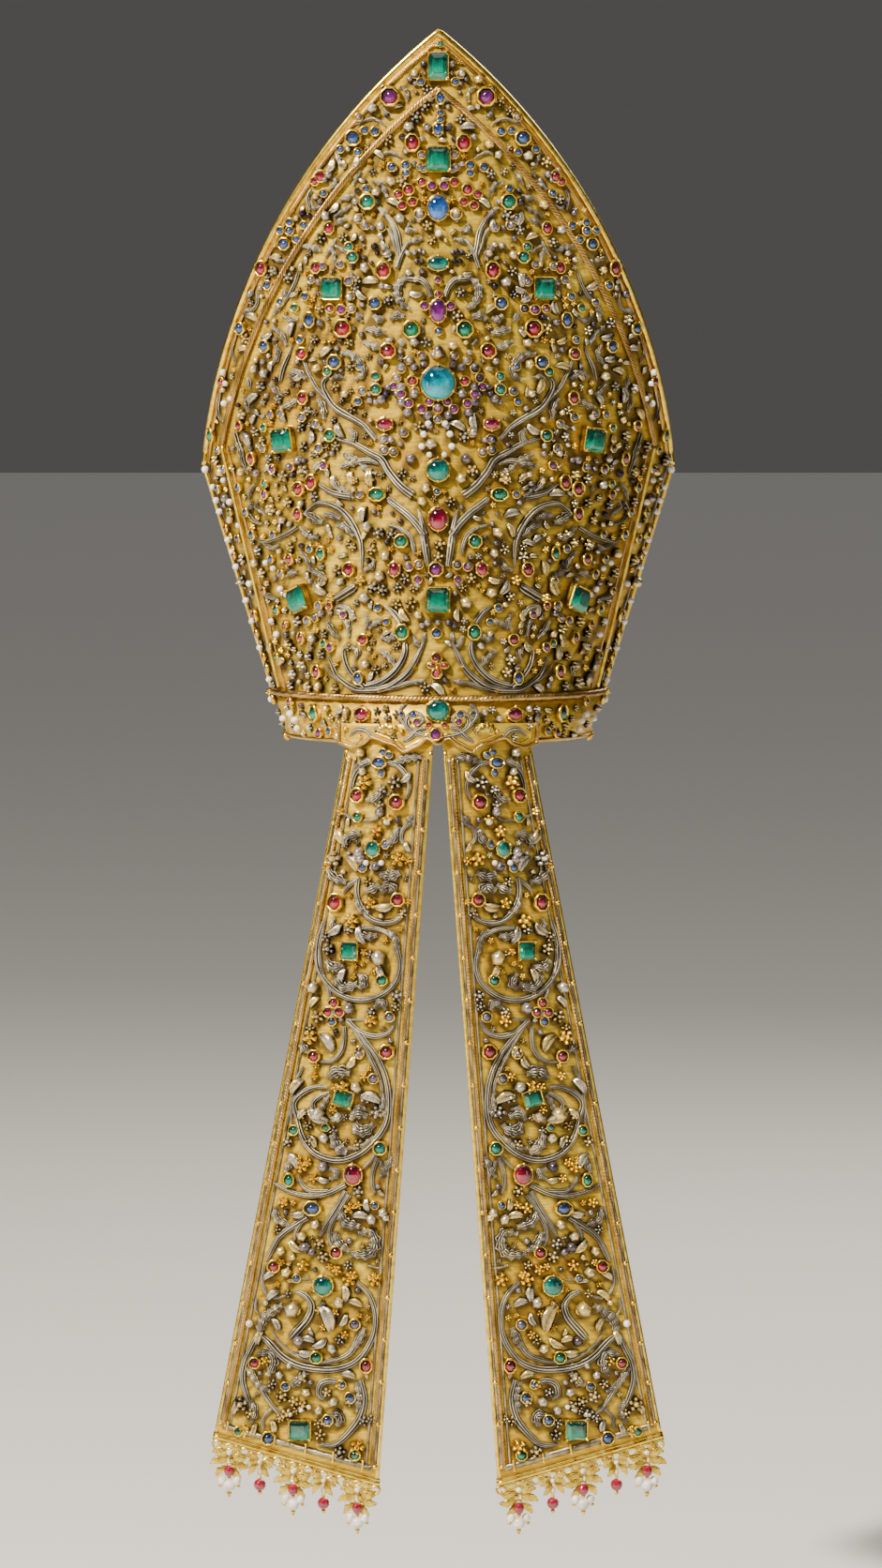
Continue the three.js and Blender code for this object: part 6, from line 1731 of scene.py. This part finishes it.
def lappet_ground(x, z):
    """Points of the lappet's inner face, over the rim's oval at its top."""
    x, z = np.broadcast_arrays(np.asarray(x, float), np.asarray(z, float))
    across, down = lappet_share(x, z)
    below = np.clip(down, 0, 1.2)
    top_x = lappet_gap_half + lappet_top_width * across
    oval = np.sqrt(np.maximum(1 - (top_x / (rim_half_width + lappet_lift)) ** 2, 0.05))
    top_y = (rim_half_depth + lappet_lift) * oval
    end_y = lappet_end_depth_inner + (lappet_end_depth_outer - lappet_end_depth_inner) * across
    return np.stack([x, -(top_y + (end_y - top_y) * below), z], -1)


lappet_foot = 1 - (end_bar_height / 2 + gap) / lappet_length
across, down = np.meshgrid(np.linspace(1, 0, lappet_columns),
                           np.concatenate([[-lappet_tuck / lappet_length],
                                           np.linspace(0, lappet_foot, lappet_rows - 1)])[::-1])
x, z = lappet_place(across, down)
sheets = [lifted(lappet_ground, x, z, lift)[0].reshape(-1, 3) for lift in (lappet_thickness, 0.0)]
left_cloth = new_piece("lappet_left_cloth", np.concatenate(sheets), shell_faces(lappet_rows, lappet_columns),
                       [cloth_of_gold], slot="cloth_of_gold", replaces=["lappet_left"])
left_pieces = []


def on_left(piece):
    """Keeps a piece of the left lappet, to be repeated on the right one."""
    left_pieces.append(piece)
    return piece


# Lappet edges: a bright gold wire on the very edge, a ropework strip inside it, and small gold knops.
frame_width = 4.6
frame_height = 2.4
frame_top = 5.0 / lappet_length
frame_foot = 1 - 8.2 / lappet_length
edge_wire = 2.2
frame_lift = lappet_thickness + seat_lift


def edge_line(side, inset, top, foot, count=400):
    """A line down the inner (0) or outer (1) edge of the left lappet."""
    down = np.linspace(top, foot, count)
    share = inset / lappet_width(down)
    return np.stack(lappet_place(np.where(side == 0, share, 1 - share), down), -1)


def foot_line(down, margin, count=220):
    across = np.linspace(margin, 1 - margin, count)
    return np.stack(lappet_place(across, np.full(count, down)), -1)


def lappet_line(name, line, step, lift, kind, size, material, slot, replaces=()):
    """A plain wire (a size) or a wound cord (width, height, strands, pitch) along a line on the lappet."""
    line = evenly(line, step)
    points, out = lifted(lappet_ground, line[:, 0], line[:, 1], lift)
    if kind == "wire":
        return on_left(tube_along(name, points, out, size, size, 10, [material], slot, replaces))
    width, height, strands, pitch = size
    return on_left(wound_cord(name, points, out, width, height, strands, pitch, material, slot, replaces))


wire_step = 3.0
rope_step = 1.0
rope_width = 3.0
rope_pitch = 6.0
rope_sunk = 0.6
for side, word in ((0, "inner"), (1, "outer")):
    lappet_line(f"lappet_left_{word}_edge_wire", edge_line(side, edge_wire / 2, 0.001, lappet_foot),
                wire_step, lappet_thickness * 0.6, "wire", edge_wire + 0.6, bright_gold, "gold_metal")
    lappet_line(f"lappet_left_{word}_edge_rope",
                edge_line(side, edge_wire + frame_width / 2, frame_top, frame_foot), rope_step,
                frame_lift + frame_height / 2 - rope_sunk, "cord",
                (rope_width, frame_height, 3, rope_pitch), gilt_wire, "gold_cord",
                ["lappet_left_frame"] if side == 0 else ())
knop_size = 3.2
knop_downs = np.arange(0.05, 0.98, 0.058)
knop_inset = 2.6 / lappet_width(knop_downs)
knop_places = np.concatenate([np.stack(lappet_place(share, knop_downs), -1)
                              for share in (knop_inset, 1 - knop_inset)])
on_left(sew("lappet_left_knops", lappet_ground, knop_places, np.zeros(len(knop_places)),
            np.full(len(knop_places), knop_size), lappet_thickness + 0.8, ball_shape, bright_gold,
            "gold_metal"))

# Foot of the lappet: a thick silver cord bound at intervals, then a gold bar of three ridges that carries
# the fringe.
silver_wrap, tree, shader = new_material("wrapped_silver_wire")
place = add_node(tree, "ShaderNodeTexCoord").outputs["Object"]
dull = add_node(tree, "ShaderNodeTexNoise", {}, {"Vector": place, "Scale": 120.0, "Detail": 3.0})
tone = add_node(tree, "ShaderNodeValToRGB", {}, {"Fac": dull.outputs["Fac"]})
tone.color_ramp.elements[0].position, tone.color_ramp.elements[0].color = 0.35, srgb("#6c6455")
tone.color_ramp.elements[1].position, tone.color_ramp.elements[1].color = 0.62, srgb("#c3b596")
tree.links.new(tone.outputs["Color"], shader.inputs["Base Color"])
shader.inputs["Metallic"].default_value = 1.0
shader.inputs["Roughness"].default_value = 0.32
for side, word in ((0, "inner"), (1, "outer")):
    for place, inset in (("in", edge_wire + frame_width + 0.9), ("out", edge_wire + 0.7)):
        lappet_line(f"lappet_left_{word}_edge_line_{place}", edge_line(side, inset, frame_top, frame_foot),
                    wire_step, lappet_thickness + 0.5, "wire", 1.7, silver_wrap, "silver_gilt_thread")
lappet_line("lappet_left_foot_cord", foot_line(frame_foot, 0.05), 0.9, frame_lift + 0.6, "cord",
            (4.4, 3.2, 5, 4.0), silver_wrap, "silver_gilt_thread")
band_shares = np.array([0.1, 0.28, 0.45, 0.64, 0.82, 0.93])
for n, share in enumerate(band_shares):
    line = np.stack(lappet_place(np.array([share, share + 0.001]),
                                 np.array([frame_foot - 0.008, frame_foot + 0.008])), -1)
    lappet_line(f"lappet_left_foot_binding_{n}", line, 1.2, frame_lift + 2.0, "wire", 1.6, bright_gold,
                "gold_metal")
for n, offset in enumerate((-1.9, 0.0, 1.9)):
    line = foot_line(1 + offset / lappet_length, -0.006)
    lappet_line(f"lappet_left_end_bar_ridge_{n}", line, wire_step,
                lappet_thickness / 2 + (0.5 if offset == 0 else 0),
                "wire", 3.0 if offset == 0 else 2.2, bright_gold, "gold_metal",
                ["lappet_left_end_bar"] if offset == 0 else ())

# Lappet scrollwork: couched stems and laid leaves as on the crown, with their own stones and buds.
lappet_stems = [
    ((5.9, 5.9, 4.7), [(408, 812), (393, 813), (381, 823), (376, 839), (378, 852)]),
    ((5.9, 5.9, 4.1), [(408, 812), (422, 815), (433, 825), (437, 840), (432, 853)]),
    ((3.5, 3.5, 2.9), [(364, 865), (376, 872), (390, 875), (403, 872), (408, 862)]),
    ((4.1, 4.7, 3.5), [(443, 875), (431, 883), (428, 894), (436, 905)]),
    ((5.9, 6.5, 5.3), [(382, 937), (381, 953), (386, 968), (396, 980), (411, 984), (425, 980), (432, 968)]),
    ((4.1, 5.3, 2.9), [(384, 936), (373, 944), (367, 953)]),
    ((4.7, 6.5, 5.9), [(387, 989), (405, 991), (420, 1000), (425, 1015), (427, 1032), (420, 1050),
                       (402, 1063), (381, 1066), (361, 1059), (346, 1044), (339, 1026), (340, 1003),
                       (346, 982)]),
    ((3.5, 4.7, 4.1), [(341, 1006), (343, 1032), (350, 1053), (354, 1069)]),
    ((2.3, 2.9, 2.3), [(370, 1087), (381, 1087), (393, 1087)]),
    ((5.9, 6.5, 4.1), [(371, 1088), (384, 1100), (402, 1105), (417, 1099), (422, 1088)]),
    ((4.7, 5.9, 4.1), [(367, 1094), (368, 1106), (365, 1120), (355, 1131), (340, 1132)]),
    ((5.3, 7.6, 7.6), [(374, 1091), (387, 1106), (402, 1126), (412, 1150), (415, 1176), (411, 1200),
                       (396, 1220), (378, 1233), (358, 1237), (337, 1230), (323, 1213), (317, 1191)]),
    ((4.1, 5.3, 4.1), [(378, 1097), (396, 1129), (406, 1153), (408, 1167)]),
    ((5.9, 7.0, 4.7), [(317, 1191), (314, 1176), (323, 1165), (337, 1159), (349, 1159)]),
    ((5.3, 5.9, 4.7), [(337, 1185), (334, 1176), (343, 1168), (352, 1165)]),
    ((3.5, 4.1, 2.9), [(324, 1137), (314, 1159), (311, 1191), (312, 1203)]),
    ((6.6, 6.1, 4.1), [(369, 1263), (350, 1272), (332, 1275), (314, 1272), (299, 1265), (292, 1261)]),
    ((5.6, 5.6, 4.1), [(350, 1270), (332, 1270), (323, 1263), (319, 1254)]),
    ((5.1, 6.6, 4.6), [(369, 1270), (359, 1288), (348, 1305), (341, 1318)]),
    ((5.1, 5.6, 5.1), [(373, 1274), (361, 1293), (353, 1308), (352, 1321), (358, 1333)]),
    ((7.1, 6.6, 5.6), [(328, 1298), (312, 1308), (299, 1318), (291, 1331), (285, 1344)]),
    ((3.6, 4.1, 3.1), [(282, 1351), (280, 1367), (285, 1379), (294, 1384), (307, 1381)]),
    ((4.1, 5.1, 4.1), [(325, 1299), (317, 1311), (314, 1323)]),
    ((5.1, 5.1, 4.1), [(403, 1234), (398, 1249), (397, 1262), (400, 1272)]),
    ((3.6, 3.6, 3.1), [(406, 1221), (396, 1237), (386, 1247)]),
    ((5.1, 7.7, 8.7), [(381, 1367), (393, 1379), (400, 1397), (400, 1418), (393, 1436), (381, 1451),
                       (363, 1459), (342, 1460), (319, 1456), (301, 1446), (286, 1430), (277, 1423)]),
    ((7.7, 4.6, 3.1), [(384, 1423), (373, 1443), (352, 1451), (332, 1451), (312, 1443), (297, 1430),
                       (291, 1418)]),
    ((5.6, 8.7, 10.2), [(317, 1377), (327, 1382), (333, 1392), (329, 1405), (318, 1418), (310, 1427)]),
    ((3.1, 3.1, 2.6), [(321, 1364), (332, 1365)]),
    ((6.6, 7.1, 6.1), [(275, 1423), (268, 1438), (261, 1453), (259, 1471), (265, 1492), (272, 1504)]),
    ((3.6, 5.6, 4.6), [(266, 1448), (271, 1466), (279, 1481), (291, 1499), (304, 1512)]),
    ((3.6, 4.1, 3.6), [(290, 1502), (281, 1512), (281, 1524)]),
    ((6.1, 8.7, 5.1), [(385, 1471), (389, 1492), (384, 1512), (373, 1527), (358, 1540), (340, 1540)]),
    ((6.1, 7.7, 6.1), [(363, 1475), (352, 1472), (342, 1476), (340, 1487), (346, 1492)]),
    ((2.6, 2.6, 2.0), [(393, 1349), (403, 1352), (412, 1352)]),
    ((3.6, 3.6, 2.6), [(406, 1237), (409, 1247), (415, 1257)]),
    ((2.6, 3.6, 2.6), [(274, 1384), (273, 1395), (277, 1402)])]
lappet_leaves = [
    (11.2, [(422, 813), (436, 808), (450, 807)]), (10.0, [(398, 812), (389, 813), (380, 818)]),
    (11.7, [(392, 853), (402, 851), (409, 840)]), (13.5, [(368, 903), (372, 893), (386, 888)]),
    (11.7, [(409, 903), (420, 895), (426, 881)]), (8.2, [(434, 878), (441, 869)]),
    (14.7, [(406, 932), (417, 934), (427, 930)]), (13.5, [(351, 927), (358, 936), (371, 941)]),
    (10.6, [(382, 956), (384, 968), (394, 974)]), (12.9, [(390, 950), (399, 947), (406, 943)]),
    (14.7, [(407, 950), (416, 945), (424, 954)]), (8.8, [(362, 992), (355, 987), (357, 979)]),
    (14.7, [(349, 1024), (357, 1032), (368, 1029)]), (11.2, [(381, 996), (393, 999), (403, 997)]),
    (9.4, [(414, 991), (423, 1003), (423, 1016)]), (13.5, [(357, 1041), (367, 1053), (382, 1049)]),
    (12.9, [(384, 1038), (389, 1047), (384, 1054)]), (11.7, [(400, 1075), (408, 1068), (412, 1077)]),
    (11.7, [(321, 1114), (329, 1122)]), (16.4, [(351, 1148), (361, 1142), (374, 1144)]),
    (10.0, [(395, 1186), (408, 1188), (415, 1181)]), (13.5, [(375, 1191), (384, 1187), (392, 1191)]),
    (16.4, [(378, 1197), (384, 1206), (394, 1203)]), (13.5, [(357, 1211), (361, 1224), (370, 1230)]),
    (10.7, [(375, 1194), (381, 1183), (391, 1182)]), (13.3, [(383, 1206), (393, 1204), (399, 1198)]),
    (12.2, [(358, 1205), (357, 1219), (371, 1227)]), (7.7, [(372, 1224), (386, 1222), (399, 1211)]),
    (7.7, [(342, 1188), (347, 1175), (353, 1167)]), (9.2, [(409, 1165), (409, 1178), (403, 1186)]),
    (10.7, [(306, 1250), (309, 1240), (317, 1235)]), (9.2, [(352, 1246), (361, 1251), (352, 1257)]),
    (10.7, [(294, 1287), (296, 1300), (310, 1306)]), (14.3, [(362, 1290), (368, 1303), (384, 1308)]),
    (12.8, [(357, 1313), (362, 1326), (373, 1334)]),
    (14.8, [(374, 1337), (393, 1337), (401, 1326), (396, 1313), (383, 1316)]),
    (10.7, [(406, 1255), (419, 1233)]), (10.7, [(389, 1415), (384, 1428), (375, 1439)]),
    (14.3, [(275, 1443), (289, 1443), (292, 1453), (286, 1467)]),
    (13.3, [(311, 1477), (319, 1472), (327, 1463)]), (11.7, [(381, 1473), (384, 1489), (381, 1505)]),
    (14.3, [(352, 1509), (363, 1509), (360, 1520)]),
    (12.8, [(276, 1423), (281, 1407), (291, 1398), (302, 1391)]),
    (9.2, [(263, 1458), (276, 1476), (289, 1484)]), (10.2, [(268, 1492), (272, 1504), (268, 1517)])]
lappet_buds = [
    (387, 803, 12), (389, 823, 11), (422, 834, 18), (433, 828, 12), (408, 842, 12), (406, 859, 12),
    (367, 892, 15), (376, 921, 16), (358, 916, 18), (393, 940, 12), (411, 965, 16), (430, 974, 12),
    (358, 990, 15), (373, 991, 12), (349, 999, 13), (352, 1012, 15), (355, 1032, 12), (387, 997, 15),
    (396, 1018, 11), (405, 1021, 19), (367, 1041, 13), (408, 1035, 13), (336, 1053, 15), (340, 1084, 16),
    (396, 1079, 12), (332, 1097, 12), (349, 1112, 18), (374, 1132, 13), (318, 1159, 16), (381, 1159, 15),
    (395, 1172, 18), (323, 1188, 13), (340, 1188, 18), (361, 1191, 13), (346, 1213, 12), (333, 1217, 12),
    (383, 1220, 13), (436, 903, 9), (391, 1170, 15), (341, 1188, 20), (324, 1189, 12), (332, 1216, 13),
    (347, 1214, 12), (360, 1191, 12), (368, 1191, 9), (403, 1186, 16), (356, 1205, 11), (312, 1237, 14),
    (346, 1257, 11), (296, 1311, 11), (319, 1293, 13), (317, 1328, 15), (323, 1318, 13), (393, 1285, 11),
    (409, 1293, 13), (412, 1298, 11), (292, 1382, 13), (307, 1379, 11), (313, 1396, 21), (379, 1390, 13),
    (363, 1428, 13), (355, 1438, 13), (329, 1429, 12), (299, 1466, 11), (309, 1456, 9), (278, 1427, 13),
    (322, 1469, 15), (301, 1489, 15), (314, 1494, 13), (317, 1504, 11), (257, 1497, 18), (253, 1502, 12),
    (268, 1507, 13), (273, 1525, 11), (307, 1508, 15), (299, 1512, 11), (340, 1517, 13), (342, 1530, 15),
    (363, 1548, 15), (388, 1515, 13), (397, 1513, 11), (347, 1405, 24), (324, 1499, 13), (373, 1494, 13),
    (350, 1516, 13)]
lappet_balls = [
    (406, 866, 11), (373, 1075, 13), (384, 909, 12), (402, 924, 12), (386, 916, 11), (380, 916, 10),
    (345, 1244, 12), (373, 1323, 8), (326, 1330, 13), (333, 1335, 10), (319, 1430, 12)]
lappet_knops = [
    (390, 834, 18), (402, 886, 15), (425, 916, 18), (436, 918, 11), (396, 963, 15), (436, 962, 9),
    (376, 982, 18), (389, 1015, 9), (400, 1035, 9), (396, 1088, 16), (332, 1106, 18), (367, 1159, 16),
    (336, 1147, 11), (358, 1159, 12), (356, 1183, 11), (349, 925, 9), (365, 865, 11), (414, 874, 13),
    (384, 1122, 13), (389, 1148, 11), (322, 1244, 15), (329, 1239, 11), (319, 1235, 8), (335, 1256, 11),
    (303, 1282, 13), (373, 1288, 15), (383, 1285, 11), (324, 1349, 15), (352, 1350, 9), (360, 1354, 13),
    (373, 1364, 18), (377, 1359, 11), (400, 1364, 17), (301, 1346, 9), (296, 1369, 8), (393, 1405, 8),
    (368, 1423, 11), (284, 1451, 13), (261, 1525, 13), (381, 1543, 18), (363, 1476, 13), (341, 1397, 10),
    (358, 1400, 10), (345, 1415, 9), (393, 1313, 10), (332, 1336, 9)]


lappet_ways = seen_ways(lappet_ground, [path for _, path in lappet_stems], stem_step, to_left)
lappet_widths = [stem_widths(way, *np.array(widths) * millimetres_per_pixel)
                 for way, (widths, _) in zip(lappet_ways, lappet_stems)]
lappet_leaf_ways = seen_ways(lappet_ground, [path for _, path in lappet_leaves], 1.4, to_left)
lappet_leaf_widths = [leaf_widths(way, width * millimetres_per_pixel)
                      for way, (width, _) in zip(lappet_leaf_ways, lappet_leaves)]
on_left(couch("lappet_left_scroll_stems", lappet_ground, lappet_ways, lappet_widths, 3,
              frame_lift + scroll_seat, "silver_gilt_thread", ["lappet_left_scrollwork"]))
on_left(couch("lappet_left_laid_leaves", lappet_ground, lappet_leaf_ways, lappet_leaf_widths, 5,
              frame_lift + scroll_seat, "silver_gilt_thread", plumpness=thread_plumpness))
lappet_stones = [
    ("teal_stone", "dome", "teal", 0.521, 0.139, 9.5, 10.6, 0),
    ("cushion_emerald", "step", "emerald", 0.609, 0.284, 11.2, 11.8, 0),
    ("middle_emerald", "step", "emerald", 0.494, 0.489, 12.3, 10.6, -15),
    ("great_ruby", "dome", "ruby", 0.352, 0.59, 11.8, 13.4, 0),
    ("circle_emerald", "dome", "teal", 0.467, 0.751, 12.9, 12.9, 0),
    ("end_emerald", "step", "emerald", 0.498, 0.957, 14, 12.9, 0),
]
stone_places = []
for name, cut, kind, share, down, width, height, turned in lappet_stones:
    x, z = (float(v) for v in lappet_place(share, down))
    stone_places.append((x, z, width / 2, height / 2))
    on_left(place_stone("left_" + name + "_in_collet", lappet_ground, x, z, frame_lift, cut, kind, width,
                        height, turned, ["left_" + name]))
lappet_small_stones = {
    "ruby": [(383, 848, 14, 14), (424, 855, 15, 15), (359, 962, 15, 17), (425, 959, 13, 13),
             (357, 1069, 10, 10),
             (351, 1079, 10, 10), (363, 1079, 10, 10), (336, 1126, 12, 12), (413, 1121, 14, 14),
             (359, 1335, 12, 12), (293, 1350, 12, 12), (272, 1453, 11, 11), (391, 1456, 12, 14)],
    "blue": [(406, 813, 15, 11), (410, 802, 8, 7), (416, 805, 8, 7), (408, 824, 7, 9), (388, 925, 9, 9),
             (355, 1089, 9, 9), (334, 1288, 17, 14), (400, 1285, 8, 8), (317, 1363, 8, 8), (305, 1478, 9, 9),
             (365, 1476, 9, 9), (374, 1490, 11, 11), (350, 1514, 11, 11), (287, 1533, 13, 13),
             (412, 900, 8, 9)],
    "emerald": [(383, 871, 10, 10), (408, 1045, 11, 11), (314, 1205, 10, 10), (348, 1202, 8, 8),
                (309, 1258, 10, 13), (338, 1447, 12, 12), (255, 1526, 9, 9), (379, 1551, 11, 11)],
    "teal": [(406, 1224, 13, 13)],
    "lilac": [(416, 1084, 10, 10), (384, 1122, 10, 12), (399, 1150, 10, 10), (314, 1396, 13, 13),
              (379, 1412, 11, 11), (357, 1079, 7, 7)],
    "pearl": [(414, 876, 8, 8), (267, 1411, 9, 9), (392, 920, 7, 7), (408, 920, 7, 7), (399, 925, 7, 7),
              (330, 1500, 6, 6), (310, 1508, 6, 6), (322, 1503, 6, 6)],
}
lappet_small = {}
for kind, rows in lappet_small_stones.items():
    rows = np.array(rows, float)
    sizes = rows[:, 2:] * millimetres_per_pixel
    lappet_small[kind] = (under_pixel(lappet_ground, rows[:, :2], to_left),
                          np.column_stack([sizes, sizes.min(1)]))
left_pieces += sew_stones("lappet_left", lappet_small, lappet_ground, frame_lift)


def in_lappet(x, z):
    across, down = lappet_share(x, z)
    margin = (edge_wire + frame_width + 3.2) / lappet_width(down)
    thinned = rng.uniform(0, 1, np.shape(x)) < 0.5
    return ((x < 0) & (across > margin) & (across < 1 - margin) & (down > 0.012)
            & (down < frame_foot - 0.012) & thinned)


lappet_stone_rows = stone_places + [(x, z, w / 2, h / 2) for places, sizes in lappet_small.values()
                              for (x, z), (w, h, _) in zip(places, sizes)]
lappet_taken = taken_by(lappet_ways + lappet_leaf_ways, lappet_widths + lappet_leaf_widths, lappet_stone_rows)
pieces, lappet_covered = strew("lappet_left", lappet_ground, seen_rows(lappet_ground, lappet_buds, to_left),
                     seen_rows(lappet_ground, lappet_balls, to_left),
                     seen_rows(lappet_ground, lappet_knops, to_left), lappet_taken, in_lappet,
                     (-140, -440), (0, 0), frame_lift)
left_pieces += pieces
# painted shade on the lappet beside the work sewn on it
painted_shade_beside(left_cloth, *lappet_covered)

# Fringe: cast gold motifs linked by loops along the foot of the bar. A large one carries a small pearl, two
# pairs of leaves, a ruby bead and three pearls. A small one is a bow with one hanging bead.
fringe_motifs = [(0.126, True), (0.333, False), (0.517, True), (0.72, False), (0.905, True)]
bead_diameter = 7.3
gold, red, white = 0, 1, 2


def leaf_plate(lobes, length, width, rise):
    """A leaf that grows from 0 along +Y with a hollow midrib and lobed sides."""
    rows, points = 8, []
    for r in range(rows):
        t = r / (rows - 1)
        spread = math.sin(math.pi * min(t * 0.92 + 0.08, 1)) ** 0.7 * (1 - 0.34 * lobes * (r % 2))
        arch = rise * (0.4 + 0.75 * math.sin(math.pi * (0.1 + 0.8 * t)))
        half = max(spread, 0.08) * width / 2
        bend = 0.3 * width * math.sin(t * 2.6)
        points += [(across * half + bend, t * length, arch * high) for across, high in
                   zip((-1, -0.8, -0.52, -0.26, 0, 0.26, 0.52, 0.8, 1),
                       (0, 0.8, 0.3, 1, 0.35, 1, 0.3, 0.8, 0))]
    faces = [(r * 9 + c, r * 9 + c + 1, r * 9 + c + 10,
              r * 9 + c + 9) for r in range(rows - 1) for c in range(8)]
    faces += [(r * 9, r * 9 + 9, r * 9 + 17, r * 9 + 8) for r in range(rows - 1)]
    return np.array(points), faces + [tuple(range(8, -1, -1)), tuple(rows * 9 - 9 + k for k in range(9))]


def flat_leaf(x, y, angle, length, width, rise=1.5):
    """A cast leaf from a foot at (x, y) that points at an angle from straight up, in degrees."""
    points, faces = leaf_plate(0.6, length, width, rise)
    turn = math.radians(angle)
    c, s = math.cos(turn), math.sin(turn)
    turned_points = points @ np.array([[c, -s, 0], [s, c, 0], [0, 0, 1]])
    return turned_points + [x, y, 0], faces, gold


def bead(x, y, z, diameter, number, stretch=1.0):
    points, faces = ball(12, 8)
    return (points - [0, 0, 0.5]) * [diameter, diameter * stretch, diameter] + [x, y, z], faces, number


def wire_loop(x, y, width, height, thickness=1.5, sides=18):
    """An upright ring of wire, wider or taller than it is round."""
    angles = np.arange(sides) * 2 * math.pi / sides
    around = np.stack([np.cos(angles) * width / 2, np.sin(angles) * height / 2, np.zeros(sides)], -1)
    outwards = np.stack([np.cos(angles), np.sin(angles), np.zeros(sides)], -1)
    ring = [around + outwards * math.cos(t) * thickness / 2 + np.array([0, 0, math.sin(t) * thickness / 2])
            for t in np.arange(6) * math.pi / 3]
    points = np.stack(ring, 1).reshape(-1, 3) + [x, y, 0.6]
    return points, [f[::-1] for f in tube_faces(sides, 6, True)], gold


def large_motif():
    parts = [wire_loop(0, -2.4, 6.5, 4.0), wire_loop(-4.6, -3.0, 4.4, 5.2), wire_loop(4.6, -3.0, 4.4, 5.2),
             bead(0, -5.6, 1.6, 3.4, white), wire_loop(0, -5.6, 4.8, 4.8, 1.3)]
    for s in (-1, 1):
        parts += [flat_leaf(s * 1.2, -8.2, s * 74, 9.8, 6.6, 2.2),
                  flat_leaf(s * 1.6, -10.4, s * 104, 10.4, 5.8, 2.2),
                  flat_leaf(s * 1.4, -13.4, s * 138, 9.2, 5.0, 2.0),
                  flat_leaf(s * 0.6, -3.6, s * 60, 8.0, 4.8, 1.8),
                  flat_leaf(s * 0.8, -6.6, s * 155, 6.0, 3.6, 1.8),
                  bead(s * 4.3, -22.2, 1.2, 5.0, white, 1.15), bead(s * 5.5, -25.2, 1.2, 2.2, gold)]
    parts += [bead(0, -16.2, 2.2, bead_diameter * 0.86, red, 1.15), wire_loop(0, -12.8, 3.6, 2.6, 1.3),
              bead(0, -20.2, 1.8, 2.6, gold), bead(0, -25.0, 1.8, bead_diameter, white),
              bead(0, -29.4, 1.8, 2.8, gold), bead(0, -31.0, 1.8, 1.6, gold)]
    return merged(parts)


def small_motif():
    parts = [wire_loop(0, -2.6, 5.0, 4.2), wire_loop(-3.4, -6.4, 5.4, 4.2), wire_loop(3.4, -6.4, 5.4, 4.2),
             bead(0, -6.0, 1.5, 2.8, white), wire_loop(0, -11.6, 2.4, 4.2, 0.9)]
    for s in (-1, 1):
        parts += [flat_leaf(s * 0.8, -6.6, s * 146, 9.2, 4.6, 1.9),
                  flat_leaf(s * 1.0, -4.4, s * 80, 8.2, 5.0, 1.9),
                  flat_leaf(s * 0.8, -5.4, s * 112, 7.6, 4.0, 1.9)]
    parts += [bead(0, -19.2, 1.4, bead_diameter, red), bead(0, -15.0, 1.4, 2.4, gold),
              bead(0, -23.8, 1.4, 2.7, gold)]
    return merged(parts)


bar_below = end_bar_height / 2 + gap
fringe_parts = []
for share, large in fringe_motifs:
    points, faces, numbers = large_motif() if large else small_motif()
    x, z = (float(v) for v in lappet_place(share, 1.0))
    middle, frame_here = frame_on(lappet_ground, x, z)
    placed = (points + [0, -bar_below + 1.2, lappet_thickness / 2]) @ frame_here.T + middle
    fringe_parts.append((placed, faces, numbers))
points = np.concatenate([part[0] for part in fringe_parts])
faces, numbers, start = [], [], 0
for part_points, part_faces, part_numbers in fringe_parts:
    faces += [tuple(i + start for i in face) for face in part_faces]
    numbers += part_numbers
    start += len(part_points)
left_fringe = new_piece("lappet_left_fringe_motifs", points, faces,
                        [bright_gold, stone_finish["ruby"], pearl_lustre], slot="gold_metal",
                        replaces=["lappet_left_fringe"])
left_fringe.data.polygons.foreach_set("material_index", numbers)
# an even painted glow for the fringe's ruby beads
left_fringe.data.attributes.new("glow", "FLOAT", "POINT").data.foreach_set("value", [0.5] * len(points))
on_left(left_fringe)
link_shares = [0.02, 0.23, 0.425, 0.62, 0.815, 0.98]
link_points, link_faces, link_start = [], [], 0
for share in link_shares:
    points, faces, _ = wire_loop(0, -1.5, 5.4, 4.6)
    x, z = (float(v) for v in lappet_place(share, 1.0))
    middle, frame_here = frame_on(lappet_ground, x, z)
    link_points.append((points + [0, -bar_below, lappet_thickness / 2]) @ frame_here.T + middle)
    link_faces += [tuple(i + link_start for i in face) for face in faces]
    link_start += len(points)
on_left(new_piece("lappet_left_fringe_links", np.concatenate(link_points), link_faces, [bright_gold],
                  slot="gold_metal"))

right_nodes = {"lappet_left_inner_edge_rope": ["lappet_right_frame"],
               "lappet_left_end_bar_ridge_1": ["lappet_right_end_bar"],
               "lappet_left_scroll_stems": ["lappet_right_scrollwork"],
               "lappet_left_fringe_motifs": ["lappet_right_fringe"]}
right_nodes.update({f"left_{row[0]}_in_collet": ["right_" + row[0]] for row in lappet_stones})
right_cloth = mirrored_copy(left_cloth, "lappet_right_cloth", 0, ["lappet_right"])
for piece in left_pieces:
    mirrored_copy(piece, piece.name.replace("left", "right"), 0, right_nodes.get(piece.name, ()))
